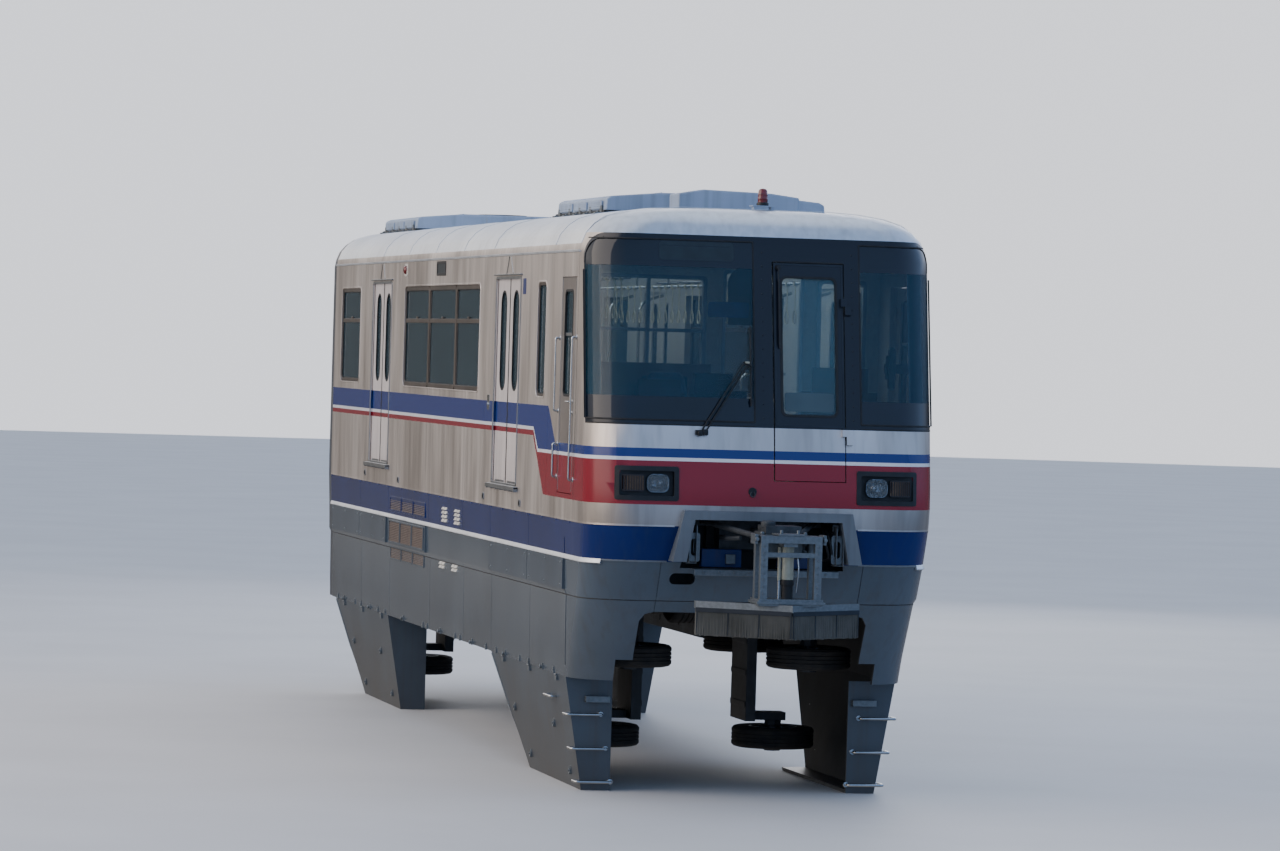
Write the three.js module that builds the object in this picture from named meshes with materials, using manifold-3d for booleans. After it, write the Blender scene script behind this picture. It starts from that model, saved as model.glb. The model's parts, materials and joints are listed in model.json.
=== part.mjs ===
// Straddle-beam monorail cab car, millimetres, +Z up, front of the car towards -Y.
// Lengths along Y count from the front face. The finished group is moved so that the
// origin is the middle of the footprint, with z = 0 at the flat bottoms of the bogie covers.
import * as THREE from "three";
import Module from "manifold-3d";
import { mergeVertices } from "three/addons/utils/BufferGeometryUtils.js";

const wasm = await Module();
wasm.setup();

// Driving dimensions of the body
const BODY_LENGTH = 14430;
const CORNER_RADIUS = 430;
const WALL = 100;
const ROOF_THICKNESS = 80;
const SKIRT_THICKNESS = 45;
const SEAM = 0.3;
const FLOOR_TOP = 2507;
const FLOOR_BOTTOM = 2447;
const SIDE_WALL_BOTTOM = 2000;
const SKIRT_BOTTOM = 960;
const ROOF_LINE = 4620;
const MASK_TOP = 4710;
const CAB_REAR = 800;
const SKIRT_FRONT = 1150;
const BULKHEAD_FRONT = 1880;
const BULKHEAD_THICKNESS = 40;
const END_WALL_THICKNESS = 90;
const FAIRING_LENGTH = 220;
const BRUSH_FRONT = -1000;

// Half width of the body and setback of its front face at each height
const LEVELS = [
  { z: 900, half: 1438, front: 730 },
  { z: 1190, half: 1446, front: 600 },
  { z: 1660, half: 1452, front: 300 },
  { z: 1700, half: 1468, front: 270 },
  { z: 1990, half: 1476, front: 120 },
  { z: 2290, half: 1488, front: 20 },
  { z: 2470, half: 1490, front: 0 },
  { z: 2640, half: 1490, front: 5 },
  { z: 3120, half: 1490, front: 70 },
  { z: 4540, half: 1490, front: 335 },
  { z: 4620, half: 1476, front: 350 },
  { z: 4710, half: 1440, front: 372 },
  { z: 4790, half: 1372, front: 410 },
  { z: 4850, half: 1285, front: 460 },
  { z: 4900, half: 1125, front: 540 },
  { z: 4932, half: 900, front: 670 },
  { z: 4948, half: 620, front: 860 },
];
const SHOULDER = 4540;

// Running gear
const BEAM_TOP = 1377;
const BOGIE_CENTRES = [
  { name: "front", y: 2910 },
  { name: "rear", y: 12510 },
];
const AXLE_OFFSET = 750;
const TYRE_RADIUS = 503;
const GUIDE_RADIUS = 365;
const GUIDE_X = 790;
const GUIDE_OFFSET = 1250;
const GUIDE_Z = 1127;
const STABILISER_Z = 350;
const GUIDE_HALF_WIDTH = 95;
const PIN_RADIUS = 36;
const WHEEL_BORE = (PIN_RADIUS + SEAM) / Math.cos(Math.PI / 18);
const AXLE_RADIUS = 70;
const AXLE_BORE = (AXLE_RADIUS + SEAM) / Math.cos(Math.PI / 16);

// Colour, roughness and metalness of each finish
const STEEL = [0xb9b4aa, 0.38, 0.85];
const ROOF_STEEL = [0xc9c8c4, 0.45, 0.7];
const MASK = [0x14171c, 0.3, 0.3];
const GLASS = [0x2b3638, 0.12, 0.2];
const SKIRT_GREY = [0x6b7178, 0.5, 0.2];
const DARK_GREY = [0x3f4449, 0.7, 0.1];
const EQUIPMENT = [0x55595c, 0.6, 0.4];
const DOOR_WHITE = [0xc9c9c4, 0.45, 0.4];
const RUBBER = [0x1d1d1e, 0.85, 0];
const PALE_METAL = [0xa7abab, 0.5, 0.6];
const BRISTLE = [0xb9b6ac, 0.85, 0];
const INTERIOR = [0xc9c6bb, 0.7, 0];
const SEAT_CLOTH = [0x4a5568, 0.9, 0];
const COUPLER_GREY = [0x4b4f52, 0.6, 0.6];

// Turns a closed geometry into a solid that can be joined and cut
function solid(geometry) {
  const bare = geometry.clone();
  bare.deleteAttribute("normal");
  bare.deleteAttribute("uv");
  const merged = mergeVertices(bare, 1e-4);
  const vertProperties = new Float32Array(merged.attributes.position.array);
  const triVerts = new Uint32Array(merged.index.array);
  return new wasm.Manifold(new wasm.Mesh({ numProp: 3, vertProperties, triVerts }));
}

// Box between two corners
function box(x0, x1, y0, y1, z0, z1) {
  const geometry = new THREE.BoxGeometry(x1 - x0, y1 - y0, z1 - z0);
  geometry.translate((x0 + x1) / 2, (y0 + y1) / 2, (z0 + z1) / 2);
  return solid(geometry);
}

// Flat outline pushed from 0 to depth along the third axis
function extruded(points, depth) {
  const shape = new THREE.Shape(points.map(([a, b]) => new THREE.Vector2(a, b)));
  return new THREE.ExtrudeGeometry(shape, { depth, bevelEnabled: false, curveSegments: 6 });
}

// Prism along X from an outline in (y, z)
function prismX(points, x0, x1) {
  const geometry = extruded(points, x1 - x0);
  geometry.applyMatrix4(new THREE.Matrix4().set(0, 0, 1, x0, 1, 0, 0, 0, 0, 1, 0, 0, 0, 0, 0, 1));
  return solid(geometry);
}

// Prism along Y from an outline in (x, z)
function prismY(points, y0, y1) {
  const geometry = extruded(points, y1 - y0);
  geometry.applyMatrix4(new THREE.Matrix4().set(1, 0, 0, 0, 0, 0, -1, y1, 0, 1, 0, 0, 0, 0, 0, 1));
  return solid(geometry);
}

// Prism along Z from an outline in (x, y)
function prismZ(points, z0, z1) {
  const geometry = extruded(points, z1 - z0);
  geometry.translate(0, 0, z0);
  return solid(geometry);
}

// Round bar along one axis
function rod(axis, centre, radius, length, segments = 20) {
  const geometry = new THREE.CylinderGeometry(radius, radius, length, segments);
  if (axis === "x") {
    geometry.rotateZ(Math.PI / 2);
  }
  if (axis === "z") {
    geometry.rotateX(Math.PI / 2);
  }
  geometry.translate(...centre);
  return solid(geometry);
}

// Round bar between two points
function strut(from, to, radius, segments = 10) {
  const start = new THREE.Vector3(...from);
  const end = new THREE.Vector3(...to);
  const direction = end.clone().sub(start);
  const geometry = new THREE.CylinderGeometry(radius, radius, direction.length(), segments);
  const turn = new THREE.Quaternion();
  turn.setFromUnitVectors(new THREE.Vector3(0, 1, 0), direction.clone().normalize());
  geometry.applyQuaternion(turn);
  geometry.translate(...start.add(end).multiplyScalar(0.5).toArray());
  return solid(geometry);
}

// Turned shape from (radius, height) points about a vertical axis
function turnedZ(profile, centre, segments = 18) {
  const points = profile.map(([radius, height]) => new THREE.Vector2(radius, height));
  const geometry = new THREE.LatheGeometry(points, segments);
  geometry.rotateX(Math.PI / 2);
  geometry.translate(...centre);
  return solid(geometry);
}

// Turned shape from (radius, distance) points about an axle along X
function turnedX(profile, centre, segments = 24) {
  const points = profile.map(([radius, distance]) => new THREE.Vector2(radius, distance));
  const geometry = new THREE.LatheGeometry(points, segments);
  geometry.rotateZ(-Math.PI / 2);
  geometry.translate(...centre);
  return solid(geometry);
}

function joined(parts) {
  return parts.reduce((whole, part) => whole.add(part));
}

function cut(whole, parts) {
  return parts.reduce((rest, part) => rest.subtract(part), whole);
}

// Outline in (a, b) of a rectangle with rounded corners
function roundedRectangle(a0, a1, b0, b1, radius, steps = 4) {
  const corners = [
    [a1 - radius, b0 + radius, -90],
    [a1 - radius, b1 - radius, 0],
    [a0 + radius, b1 - radius, 90],
    [a0 + radius, b0 + radius, 180],
  ];
  return corners.flatMap(([a, b, start]) =>
    Array.from({ length: steps + 1 }, (_, index) => {
      const angle = THREE.MathUtils.degToRad(start + (90 * index) / steps);
      return [a + radius * Math.cos(angle), b + radius * Math.sin(angle)];
    }),
  );
}

// Value of a column of LEVELS at a height
function levelValue(z, column) {
  const upper = LEVELS.findIndex((level) => level.z >= z);
  if (upper <= 0) {
    return LEVELS[upper === 0 ? 0 : LEVELS.length - 1][column];
  }
  const low = LEVELS[upper - 1];
  const high = LEVELS[upper];
  return low[column] + ((high[column] - low[column]) * (z - low.z)) / (high.z - low.z);
}

// Body volume inset by a thickness at its sides and front, and lowered at the roof
function bodyVolume(inset, roofInset, rear) {
  const radius = CORNER_RADIUS - inset;
  const steps = 6;
  const rings = LEVELS.map(({ z, half, front }) => {
    const share = THREE.MathUtils.clamp((z - SHOULDER) / (4850 - SHOULDER), 0, 1);
    const height = z - roofInset * share;
    const side = half - inset;
    const face = front + inset;
    const ring = [
      [side, rear, height],
      [-side, rear, height],
    ];
    for (let index = 0; index <= steps; index += 1) {
      const angle = (Math.PI / 2) * (index / steps);
      const x = -side + radius - radius * Math.cos(angle);
      ring.push([x, face + radius - radius * Math.sin(angle), height]);
    }
    for (let index = 0; index <= steps; index += 1) {
      const angle = (Math.PI / 2) * (index / steps);
      const x = side - radius + radius * Math.sin(angle);
      ring.push([x, face + radius - radius * Math.cos(angle), height]);
    }
    return ring;
  });
  const count = rings[0].length;
  const index = [];
  for (let level = 0; level < rings.length - 1; level += 1) {
    for (let point = 0; point < count; point += 1) {
      const next = (point + 1) % count;
      const a = level * count + point;
      const b = level * count + next;
      const c = (level + 1) * count + next;
      const d = (level + 1) * count + point;
      index.push(a, b, c, a, c, d);
    }
  }
  const top = (rings.length - 1) * count;
  for (let point = 1; point < count - 1; point += 1) {
    index.push(0, point + 1, point);
    index.push(top, top + point, top + point + 1);
  }
  const geometry = new THREE.BufferGeometry();
  const position = new THREE.Float32BufferAttribute(rings.flat(2), 3);
  geometry.setAttribute("position", position);
  geometry.setIndex(index);
  return solid(geometry);
}

// Shell of the body between two insets
function shell(outerInset, innerInset, roofInset, rear = BODY_LENGTH) {
  const outer = bodyVolume(outerInset, outerInset, rear);
  return outer.subtract(bodyVolume(innerInset, roofInset, rear + 50));
}

const car = new THREE.Group();

// Adds a solid to the car, its own origin at the given point
function addPiece(name, form, finish, origin = [0, 0, 0]) {
  const mesh = form.getMesh();
  const geometry = new THREE.BufferGeometry();
  geometry.setAttribute("position", new THREE.Float32BufferAttribute(mesh.vertProperties, 3));
  geometry.setIndex(new THREE.Uint32BufferAttribute(mesh.triVerts, 1));
  geometry.translate(-origin[0], -origin[1], -origin[2]);
  geometry.computeVertexNormals();
  const [color, roughness, metalness] = finish;
  const material = new THREE.MeshStandardMaterial({ color, roughness, metalness });
  const piece = new THREE.Mesh(geometry, material);
  piece.name = name;
  piece.position.set(...origin);
  car.add(piece);
}

const SIDES = [
  { name: "right", sign: -1 },
  { name: "left", sign: 1 },
];

// Box on one side of the car, x measured outwards from the centre line
function sideBox(sign, inner, outer, y0, y1, z0, z1) {
  return sign < 0 ? box(-outer, -inner, y0, y1, z0, z1) : box(inner, outer, y0, y1, z0, z1);
}

// Doorways of the passenger doors and of the cab doors
const DOOR_TOP = 4340;
const DOOR_INNER = 1442;
const DOOR_THICKNESS = 30;
const POCKET_CLEAR = 6;
const POCKET_TOP = DOOR_TOP + 30;
const LEAF_OVERLAP = 20;
const LEAF_TRAVEL = 560;
const DOORWAYS = [
  { name: "front", y0: 3452, y1: 4642 },
  { name: "rear", y0: 10617, y1: 11807 },
];
const CAB_DOOR = { y0: 887, y1: 1520, inner: 1448, thickness: 40, free: 8, hinged: 6 };
const CAB_HINGE = { x: 1440, y: CAB_DOOR.y1 - CAB_DOOR.hinged, radius: 13, clear: 18.5 };
const CAB_KNUCKLES = [
  { leaf: [2800, 2880], wall: [2720, 2800] },
  { leaf: [4080, 4160], wall: [4000, 4080] },
];

// Window openings in each side wall
const WINDOW_BOTTOM = 3310;
const WINDOW_TOP = 4300;
const WINDOWS = [
  { name: "narrow", y0: 2224, y1: 2611, unit: false },
  { name: "middle", y0: 5488, y1: 9782, unit: true },
  { name: "rear", y0: 12648, y1: 13943, unit: false },
];
const MULLIONS = [
  { y0: 6712, y1: 6936 },
  { y0: 8242, y1: 8476 },
];

// Prism through a side wall with a rounded outline in (y, z)
function sideOpening(sign, y0, y1, z0, z1, radius) {
  const outline = roundedRectangle(y0, y1, z0, z1, radius, 3);
  return sign < 0 ? prismX(outline, -1600, -1300) : prismX(outline, 1300, 1600);
}

// Barrel about the hinge line of a cab door
function hingeBarrel(sign, radius, z0, z1) {
  return rod("z", [sign * CAB_HINGE.x, CAB_HINGE.y, (z0 + z1) / 2], radius, z1 - z0, 12);
}

const wallShell = shell(0, WALL, ROOF_THICKNESS);
const skirtShell = shell(0, SKIRT_THICKNESS, ROOF_THICKNESS);

// Side walls with doorways, door pockets and window openings
SIDES.forEach(({ name, sign }) => {
  const region = sideBox(sign, 0, 1700, CAB_REAR + SEAM, BODY_LENGTH, SIDE_WALL_BOTTOM, ROOF_LINE - SEAM);
  const cuts = WINDOWS.map(({ y0, y1 }) => sideOpening(sign, y0, y1, WINDOW_BOTTOM, WINDOW_TOP, 60));
  DOORWAYS.forEach(({ y0, y1 }) => {
    cuts.push(sideBox(sign, 1300, 1600, y0, y1, FLOOR_TOP, DOOR_TOP));
    const reach = LEAF_OVERLAP + LEAF_TRAVEL + 10;
    const inner = DOOR_INNER - POCKET_CLEAR;
    const outer = DOOR_INNER + DOOR_THICKNESS + POCKET_CLEAR;
    cuts.push(sideBox(sign, inner, outer, y0 - reach, y1 + reach, FLOOR_TOP - 8, POCKET_TOP));
  });
  cuts.push(sideBox(sign, 1300, 1600, CAB_DOOR.y0, CAB_DOOR.y1, FLOOR_TOP, DOOR_TOP));
  CAB_KNUCKLES.forEach(({ leaf }) => {
    cuts.push(hingeBarrel(sign, CAB_HINGE.clear, leaf[0] - SEAM, leaf[1] + 3));
  });
  const knuckles = CAB_KNUCKLES.map(({ wall }) =>
    hingeBarrel(sign, CAB_HINGE.radius, wall[0], wall[1] - SEAM),
  );
  const wall = cut(wallShell.intersect(region), cuts);
  addPiece(`side_wall_${name}`, joined([wall, ...knuckles]), STEEL);
});

// Roof over the whole length, stepped up over the windscreen mask
const roofRegion = prismX(
  [
    [-200, MASK_TOP],
    [CAB_REAR, MASK_TOP],
    [CAB_REAR, ROOF_LINE],
    [BODY_LENGTH + 10, ROOF_LINE],
    [BODY_LENGTH + 10, 5100],
    [-200, 5100],
  ],
  -1700,
  1700,
);
addPiece("roof", wallShell.intersect(roofRegion), ROOF_STEEL);

// Emergency door in the front face, turning on a line that follows the leaning face
const DOOR_LEAN = Math.atan2(323, 1810);
const FRONT_DOOR = { x0: 60, x1: 660, z0: 2690, height: 1838, free: 11, thickness: 40 };
const FRONT_HINGE = [675, -28, 2690];

// Box in the leaning frame of the front door
function leaningBox(x0, x1, s0, s1) {
  const geometry = new THREE.BoxGeometry(x1 - x0, 700, s1 - s0);
  geometry.translate((x0 + x1) / 2, 100, (s0 + s1) / 2);
  geometry.rotateX(-DOOR_LEAN);
  geometry.translate(0, 0, FRONT_DOOR.z0);
  return solid(geometry);
}

// Box beside the front door's hinge line, in the leaning frame
function hingeBox(x0, x1, n0, n1, s0, s1) {
  const geometry = new THREE.BoxGeometry(x1 - x0, n1 - n0, s1 - s0);
  geometry.translate((x0 + x1) / 2, (n0 + n1) / 2, (s0 + s1) / 2);
  geometry.rotateX(-DOOR_LEAN);
  geometry.translate(...FRONT_HINGE);
  return solid(geometry);
}

const FRONT_KNUCKLES = [
  { leaf: [380, 450], frame: [310, 380] },
  { leaf: [1480, 1550], frame: [1410, 1480] },
];
const leafHinges = FRONT_KNUCKLES.flatMap(({ leaf }) => [
  hingeBox(-45, 9, -9, 9, leaf[0], leaf[1]),
  hingeBox(-45, -17, -9, 50, leaf[0], leaf[1]),
]);
const frameHinges = FRONT_KNUCKLES.flatMap(({ frame }) => [
  hingeBox(-9, 45, -9, 9, frame[0], frame[1] - SEAM),
  hingeBox(12, 45, -9, 70, frame[0], frame[1] - SEAM),
]);

// Windscreen opening in the front face, wrapping round the corner
const SCREEN_BOTTOM = 3165;
const SCREEN_TOP = 4665;
const SCREENS = [
  { name: "right", x0: -1600, x1: -110 },
  { name: "left", x0: 800, x1: 1600 },
];

function screenOpening(x0, x1, margin) {
  const outline = [
    [x0, SCREEN_BOTTOM + margin],
    [x1 + (x1 < 1600 ? -margin : 0), SCREEN_BOTTOM + margin],
    [x1 + (x1 < 1600 ? -margin : 0), SCREEN_TOP - margin],
    [x0, SCREEN_TOP - margin],
  ];
  if (x1 === 1600) {
    outline[0][0] += margin;
    outline[3][0] += margin;
  }
  const lean = levelValue(SCREEN_TOP, "front") - levelValue(SCREEN_BOTTOM, "front");
  const base = levelValue(SCREEN_BOTTOM, "front") + 330 - margin;
  const side = [
    [-300, SCREEN_BOTTOM - 50],
    [base, SCREEN_BOTTOM - 50],
    [base + lean, SCREEN_TOP + 50],
    [-300, SCREEN_TOP + 50],
  ];
  return prismY(outline, -300, 1200).intersect(prismX(side, -1700, 1700));
}

// Front of the cab: mask, red band and lamp recesses
const cabRegion = prismX(
  [
    [-200, 2465],
    [CAB_REAR, 2465],
    [CAB_REAR, MASK_TOP - SEAM],
    [-200, MASK_TOP - SEAM],
  ],
  -1700,
  1700,
);
const cabCuts = SCREENS.map(({ x0, x1 }) => screenOpening(x0, x1, 0));
cabCuts.push(leaningBox(FRONT_DOOR.x0 - FRONT_DOOR.free, FRONT_DOOR.x1 + 8, -7, FRONT_DOOR.height + 7));
[-1, 1].forEach((sign) => {
  cabCuts.push(sideBox(sign, 776, 1318, -50, 62, 2508, 2772));
});
const cabShell = cut(wallShell.intersect(cabRegion), cabCuts);
addPiece("cab_front", joined([cabShell, ...frameHinges]), MASK);

const paneShell = shell(4, 26, 26);
SCREENS.forEach(({ name, x0, x1 }) => {
  addPiece(`windscreen_${name}`, paneShell.intersect(screenOpening(x0, x1, SEAM)), GLASS);
});

const doorShell = shell(0, FRONT_DOOR.thickness, FRONT_DOOR.thickness);
const doorLeaf = doorShell.intersect(leaningBox(FRONT_DOOR.x0, FRONT_DOOR.x1, 0, FRONT_DOOR.height));
const doorPane = shell(18, 200, 200).intersect(leaningBox(115, 605, 540, 1740));
const doorForm = joined([doorLeaf.subtract(doorPane), ...leafHinges]);
addPiece("emergency_door", doorForm, MASK, FRONT_HINGE);

// Rear end wall with the gangway doorway and its frame
const GANGWAY = { half: 420, top: 4450 };
const cabinVolume = bodyVolume(WALL + SEAM, ROOF_THICKNESS + SEAM, BODY_LENGTH);
const endFront = BODY_LENGTH - END_WALL_THICKNESS;
const endWall = cabinVolume.intersect(
  box(-1700, 1700, endFront, BODY_LENGTH, FLOOR_TOP + SEAM, 5000),
);
const gangwayFrame = box(-500, 500, endFront, BODY_LENGTH + 150, FLOOR_TOP + SEAM, 4530);
const gangwayHole = box(-GANGWAY.half, GANGWAY.half, 14000, 15000, 2560, GANGWAY.top);
addPiece("rear_end_wall", endWall.add(gangwayFrame).subtract(gangwayHole), PALE_METAL);

// Gangway fairing: a ring of the body's own section behind the end wall
const fairingOuter = bodyVolume(8, 8, BODY_LENGTH + FAIRING_LENGTH);
const fairingInner = bodyVolume(75, 75, BODY_LENGTH + FAIRING_LENGTH + 50);
const fairingRegion = box(-1700, 1700, BODY_LENGTH + SEAM, 15000, SKIRT_BOTTOM, 5000);
addPiece("gangway_fairing", fairingOuter.subtract(fairingInner).intersect(fairingRegion), DARK_GREY);

// Front skirt with the coupler opening and the beam cut-out
const frontSkirtRegion = prismX(
  [
    [-200, SKIRT_BOTTOM],
    [SKIRT_FRONT, SKIRT_BOTTOM],
    [SKIRT_FRONT, SIDE_WALL_BOTTOM - SEAM],
    [CAB_REAR, SIDE_WALL_BOTTOM - SEAM],
    [CAB_REAR, 2465 - SEAM],
    [-200, 2465 - SEAM],
  ],
  -1700,
  1700,
);
const hoodOuter = prismY(
  [
    [-805, 2000],
    [805, 2000],
    [715, 2425],
    [-715, 2425],
  ],
  -70,
  260,
);
const couplerOpening = prismY(
  [
    [-700, 1940],
    [700, 1940],
    [625, 2350],
    [-625, 2350],
  ],
  -200,
  900,
);
const beamCutout = prismY(
  [
    [-1120, 800],
    [1120, 800],
    [1120, 1140],
    [975, 1140],
    [975, 1480],
    [935, 1540],
    [860, 1560],
    [-860, 1560],
    [-935, 1540],
    [-975, 1480],
    [-975, 1140],
    [-1120, 1140],
  ],
  -200,
  1400,
);
const skirtFace = skirtShell.intersect(frontSkirtRegion);
const hood = hoodOuter.subtract(bodyVolume(SKIRT_THICKNESS, 0, BODY_LENGTH));
addPiece("front_skirt", cut(skirtFace.add(hood), [couplerOpening, beamCutout]), SKIRT_GREY);

// Side skirts with the raised cover boxes along their upper row
const RAISED_BOXES = [
  { y0: 1180, y1: 2800 },
  { y0: 2815, y1: 4690 },
  { y0: 8200, y1: 10400 },
  { y0: 10620, y1: 12350 },
  { y0: 12365, y1: 14330 },
];
SIDES.forEach(({ name, sign }) => {
  const region = sideBox(
    sign,
    0,
    1700,
    SKIRT_FRONT + SEAM,
    BODY_LENGTH,
    SKIRT_BOTTOM,
    SIDE_WALL_BOTTOM - SEAM,
  );
  const boxes = RAISED_BOXES.map(({ y0, y1 }) => {
    const outline = [
      [1430, 1700],
      [1489, 1700],
      [1489, 1955],
      [1472, 1985],
      [1430, 1985],
    ];
    return prismY(outline.map(([x, z]) => [x * sign, z]), y0, y1);
  });
  addPiece(`side_skirt_${name}`, joined([skirtShell.intersect(region), ...boxes]), SKIRT_GREY);
});

// Bogie covers below the skirts, open towards the beam and at the back
const COVER_FRONTS = [
  { name: "front", y: 1155 },
  { name: "rear", y: 10620 },
];
const COVER_TOP_LENGTH = 3540;
const COVER_FOOT_LENGTH = 2440;
const COVER_TOP = SKIRT_BOTTOM - SEAM;
COVER_FRONTS.forEach((cover) => {
  SIDES.forEach(({ name, sign }) => {
    const outline = [
      [cover.y, 0],
      [cover.y + COVER_FOOT_LENGTH - 110, 0],
      [cover.y + COVER_FOOT_LENGTH, 90],
      [cover.y + COVER_TOP_LENGTH, COVER_TOP],
      [cover.y, COVER_TOP],
    ];
    const block = prismX(outline, sign < 0 ? -1500 : 1030, sign < 0 ? -1030 : 1500);
    const section = [
      [1030, 0],
      [1278, 0],
      [1438, COVER_TOP],
      [1030, COVER_TOP],
    ];
    const inside = [
      [1000, 30],
      [1248, 30],
      [1408, COVER_TOP + 10],
      [1000, COVER_TOP + 10],
    ];
    const outer = prismY(section.map(([x, z]) => [x * sign, z]), cover.y, cover.y + 3600);
    const inner = prismY(inside.map(([x, z]) => [x * sign, z]), cover.y + 30, cover.y + 3700);
    addPiece(`bogie_cover_${cover.name}_${name}`, block.intersect(outer).subtract(inner), SKIRT_GREY);
  });
});

// Floor plate over the whole length
const frameVolume = bodyVolume(WALL + SEAM, ROOF_THICKNESS, endFront - SEAM);
addPiece("floor", box(-1700, 1700, 0, 15000, FLOOR_BOTTOM, FLOOR_TOP).intersect(frameVolume), DARK_GREY);

// Bolsters under the floor, each with the pin that its bogie turns on
BOGIE_CENTRES.forEach(({ name, y }) => {
  const seat = box(-300, 300, y - 190, y + 190, 2290, FLOOR_BOTTOM - SEAM);
  const pin = rod("z", [0, y, 2110], 88, 400, 16);
  addPiece(`bolster_${name}`, seat.add(pin), DARK_GREY);
});

// Equipment cases hung between the bogies, either side of the beam
SIDES.forEach(({ name, sign }) => {
  const parts = [
    sideBox(sign, 560, 1370, 4955, 7540, 1100, 2440),
    sideBox(sign, 560, 1370, 7660, 10290, 1100, 2440),
    sideBox(sign, 620, 1170, 7500, 7700, 1300, 2140),
    sideBox(sign, 620, 1170, 5200, 5400, 2300, FLOOR_BOTTOM - SEAM),
    sideBox(sign, 620, 1170, 9800, 10000, 2300, FLOOR_BOTTOM - SEAM),
  ];
  addPiece(`equipment_case_${name}`, joined(parts), EQUIPMENT);
});

// Side window units: pane with frame and mullions
SIDES.forEach(({ name, sign }) => {
  WINDOWS.filter(({ unit }) => unit).forEach((window) => {
    const outline = roundedRectangle(
      window.y0 + SEAM,
      window.y1 - SEAM,
      WINDOW_BOTTOM + SEAM,
      WINDOW_TOP - SEAM,
      60 - SEAM,
      3,
    );
    const x0 = sign < 0 ? -1484 : 1448;
    const frame = prismX(outline, x0, x0 + 36);
    const rooms = [];
    const breaks = window.name === "middle" ? MULLIONS : [];
    const starts = [window.y0 + 45, ...breaks.map(({ y1 }) => y1 - 60)];
    const ends = [...breaks.map(({ y0 }) => y0 + 60), window.y1 - 45];
    starts.forEach((y0, index) => {
      rooms.push(sideBox(sign, 1478, 1500, y0, ends[index], WINDOW_BOTTOM + 45, WINDOW_TOP - 45));
      rooms.push(sideBox(sign, 1440, 1466, y0, ends[index], WINDOW_BOTTOM + 45, WINDOW_TOP - 45));
    });
    addPiece(`window_${window.name}_${name}`, cut(frame, rooms), GLASS);
  });
});

// Sliding door leaves, two to a doorway, each with a sunk pane
DOORWAYS.forEach((doorway) => {
  SIDES.forEach(({ name, sign }) => {
    const middle = (doorway.y0 + doorway.y1) / 2;
    const leaves = [
      { end: "fore", y0: doorway.y0 - LEAF_OVERLAP, y1: middle - 3 },
      { end: "aft", y0: middle + 3, y1: doorway.y1 + LEAF_OVERLAP },
    ];
    leaves.forEach(({ end, y0, y1 }) => {
      const outer = DOOR_INNER + DOOR_THICKNESS;
      const plate = sideBox(sign, DOOR_INNER, outer, y0, y1, FLOOR_TOP, POCKET_TOP - SEAM);
      const centre = end === "fore" ? (doorway.y0 + middle) / 2 : (doorway.y1 + middle) / 2;
      const pane = roundedRectangle(centre - 140, centre + 140, 3340, 4235, 130, 4);
      const sunk = sign < 0 ? prismX(pane, -1490, -1464) : prismX(pane, 1464, 1490);
      const origin = [sign * (DOOR_INNER + 15), (y0 + y1) / 2, FLOOR_TOP];
      const label = `door_${doorway.name}_${name}_${end}`;
      addPiece(label, plate.subtract(sunk), DOOR_WHITE, origin);
    });
  });
});

// Cab side doors, hinged at their rear edge and opening inwards
SIDES.forEach(({ name, sign }) => {
  const y0 = CAB_DOOR.y0 + CAB_DOOR.free;
  const y1 = CAB_DOOR.y1 - CAB_DOOR.hinged;
  const outer = CAB_DOOR.inner + CAB_DOOR.thickness;
  const plate = sideBox(sign, CAB_DOOR.inner, outer, y0, y1, FLOOR_TOP + 6, DOOR_TOP - 6);
  const pane = roundedRectangle(y0 + 130, y1 - 130, 3330, 4230, 60, 3);
  const sunk = sign < 0 ? prismX(pane, -1500, -1478) : prismX(pane, 1478, 1500);
  const notches = CAB_KNUCKLES.map(({ wall }) =>
    hingeBarrel(sign, CAB_HINGE.clear, wall[0] - 3, wall[1]),
  );
  const knuckles = CAB_KNUCKLES.map(({ leaf }) =>
    hingeBarrel(sign, CAB_HINGE.radius, leaf[0], leaf[1]),
  );
  const leafForm = joined([cut(plate, [sunk, ...notches]), ...knuckles]);
  addPiece(`cab_door_${name}`, leafForm, DOOR_WHITE, [sign * CAB_HINGE.x, y1, FLOOR_TOP + 6]);
});

// Roof units with chamfered tops
const roofCut = bodyVolume(-SEAM, -SEAM, BODY_LENGTH);
const unitOutline = [
  [-990, 4850],
  [990, 4850],
  [970, 5045],
  [925, 5068],
  [520, 5105],
  [-520, 5105],
  [-925, 5068],
  [-970, 5045],
];
const smallOutline = [
  [-545, 4880],
  [510, 4880],
  [510, 5075],
  [260, 5105],
  [-330, 5120],
  [-545, 5080],
];
const frontUnit = prismY(unitOutline, 2295, 4490);
const frontBox = prismY(smallOutline, 1320, 1700);
const frontDuct = box(-300, 260, 1650, 2320, 4900, 5050);
addPiece("air_unit_front", joined([frontUnit, frontBox, frontDuct]).subtract(roofCut), PALE_METAL);
addPiece("air_unit_rear", prismY(unitOutline, 12290, 14400).subtract(roofCut), PALE_METAL);

// Drawbar with its mounting block and head, and the beam brush on its lifting frame
const couplerParts = [
  box(-330, 330, 330, 525, 2100, 2330),
  box(-400, 400, 520, 1150, 2080, FLOOR_BOTTOM - SEAM),
  box(-70, 70, -330, 340, 2150, 2280),
  box(-150, 150, -600, -300, 2060, 2330),
  strut([-480, 330, 2330], [-150, -420, 2230], 24),
  strut([480, 330, 2330], [150, -420, 2230], 24),
  box(-560, 560, 330, 400, 2290, 2345),
];
addPiece("coupler", joined(couplerParts), COUPLER_GREY);

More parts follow.
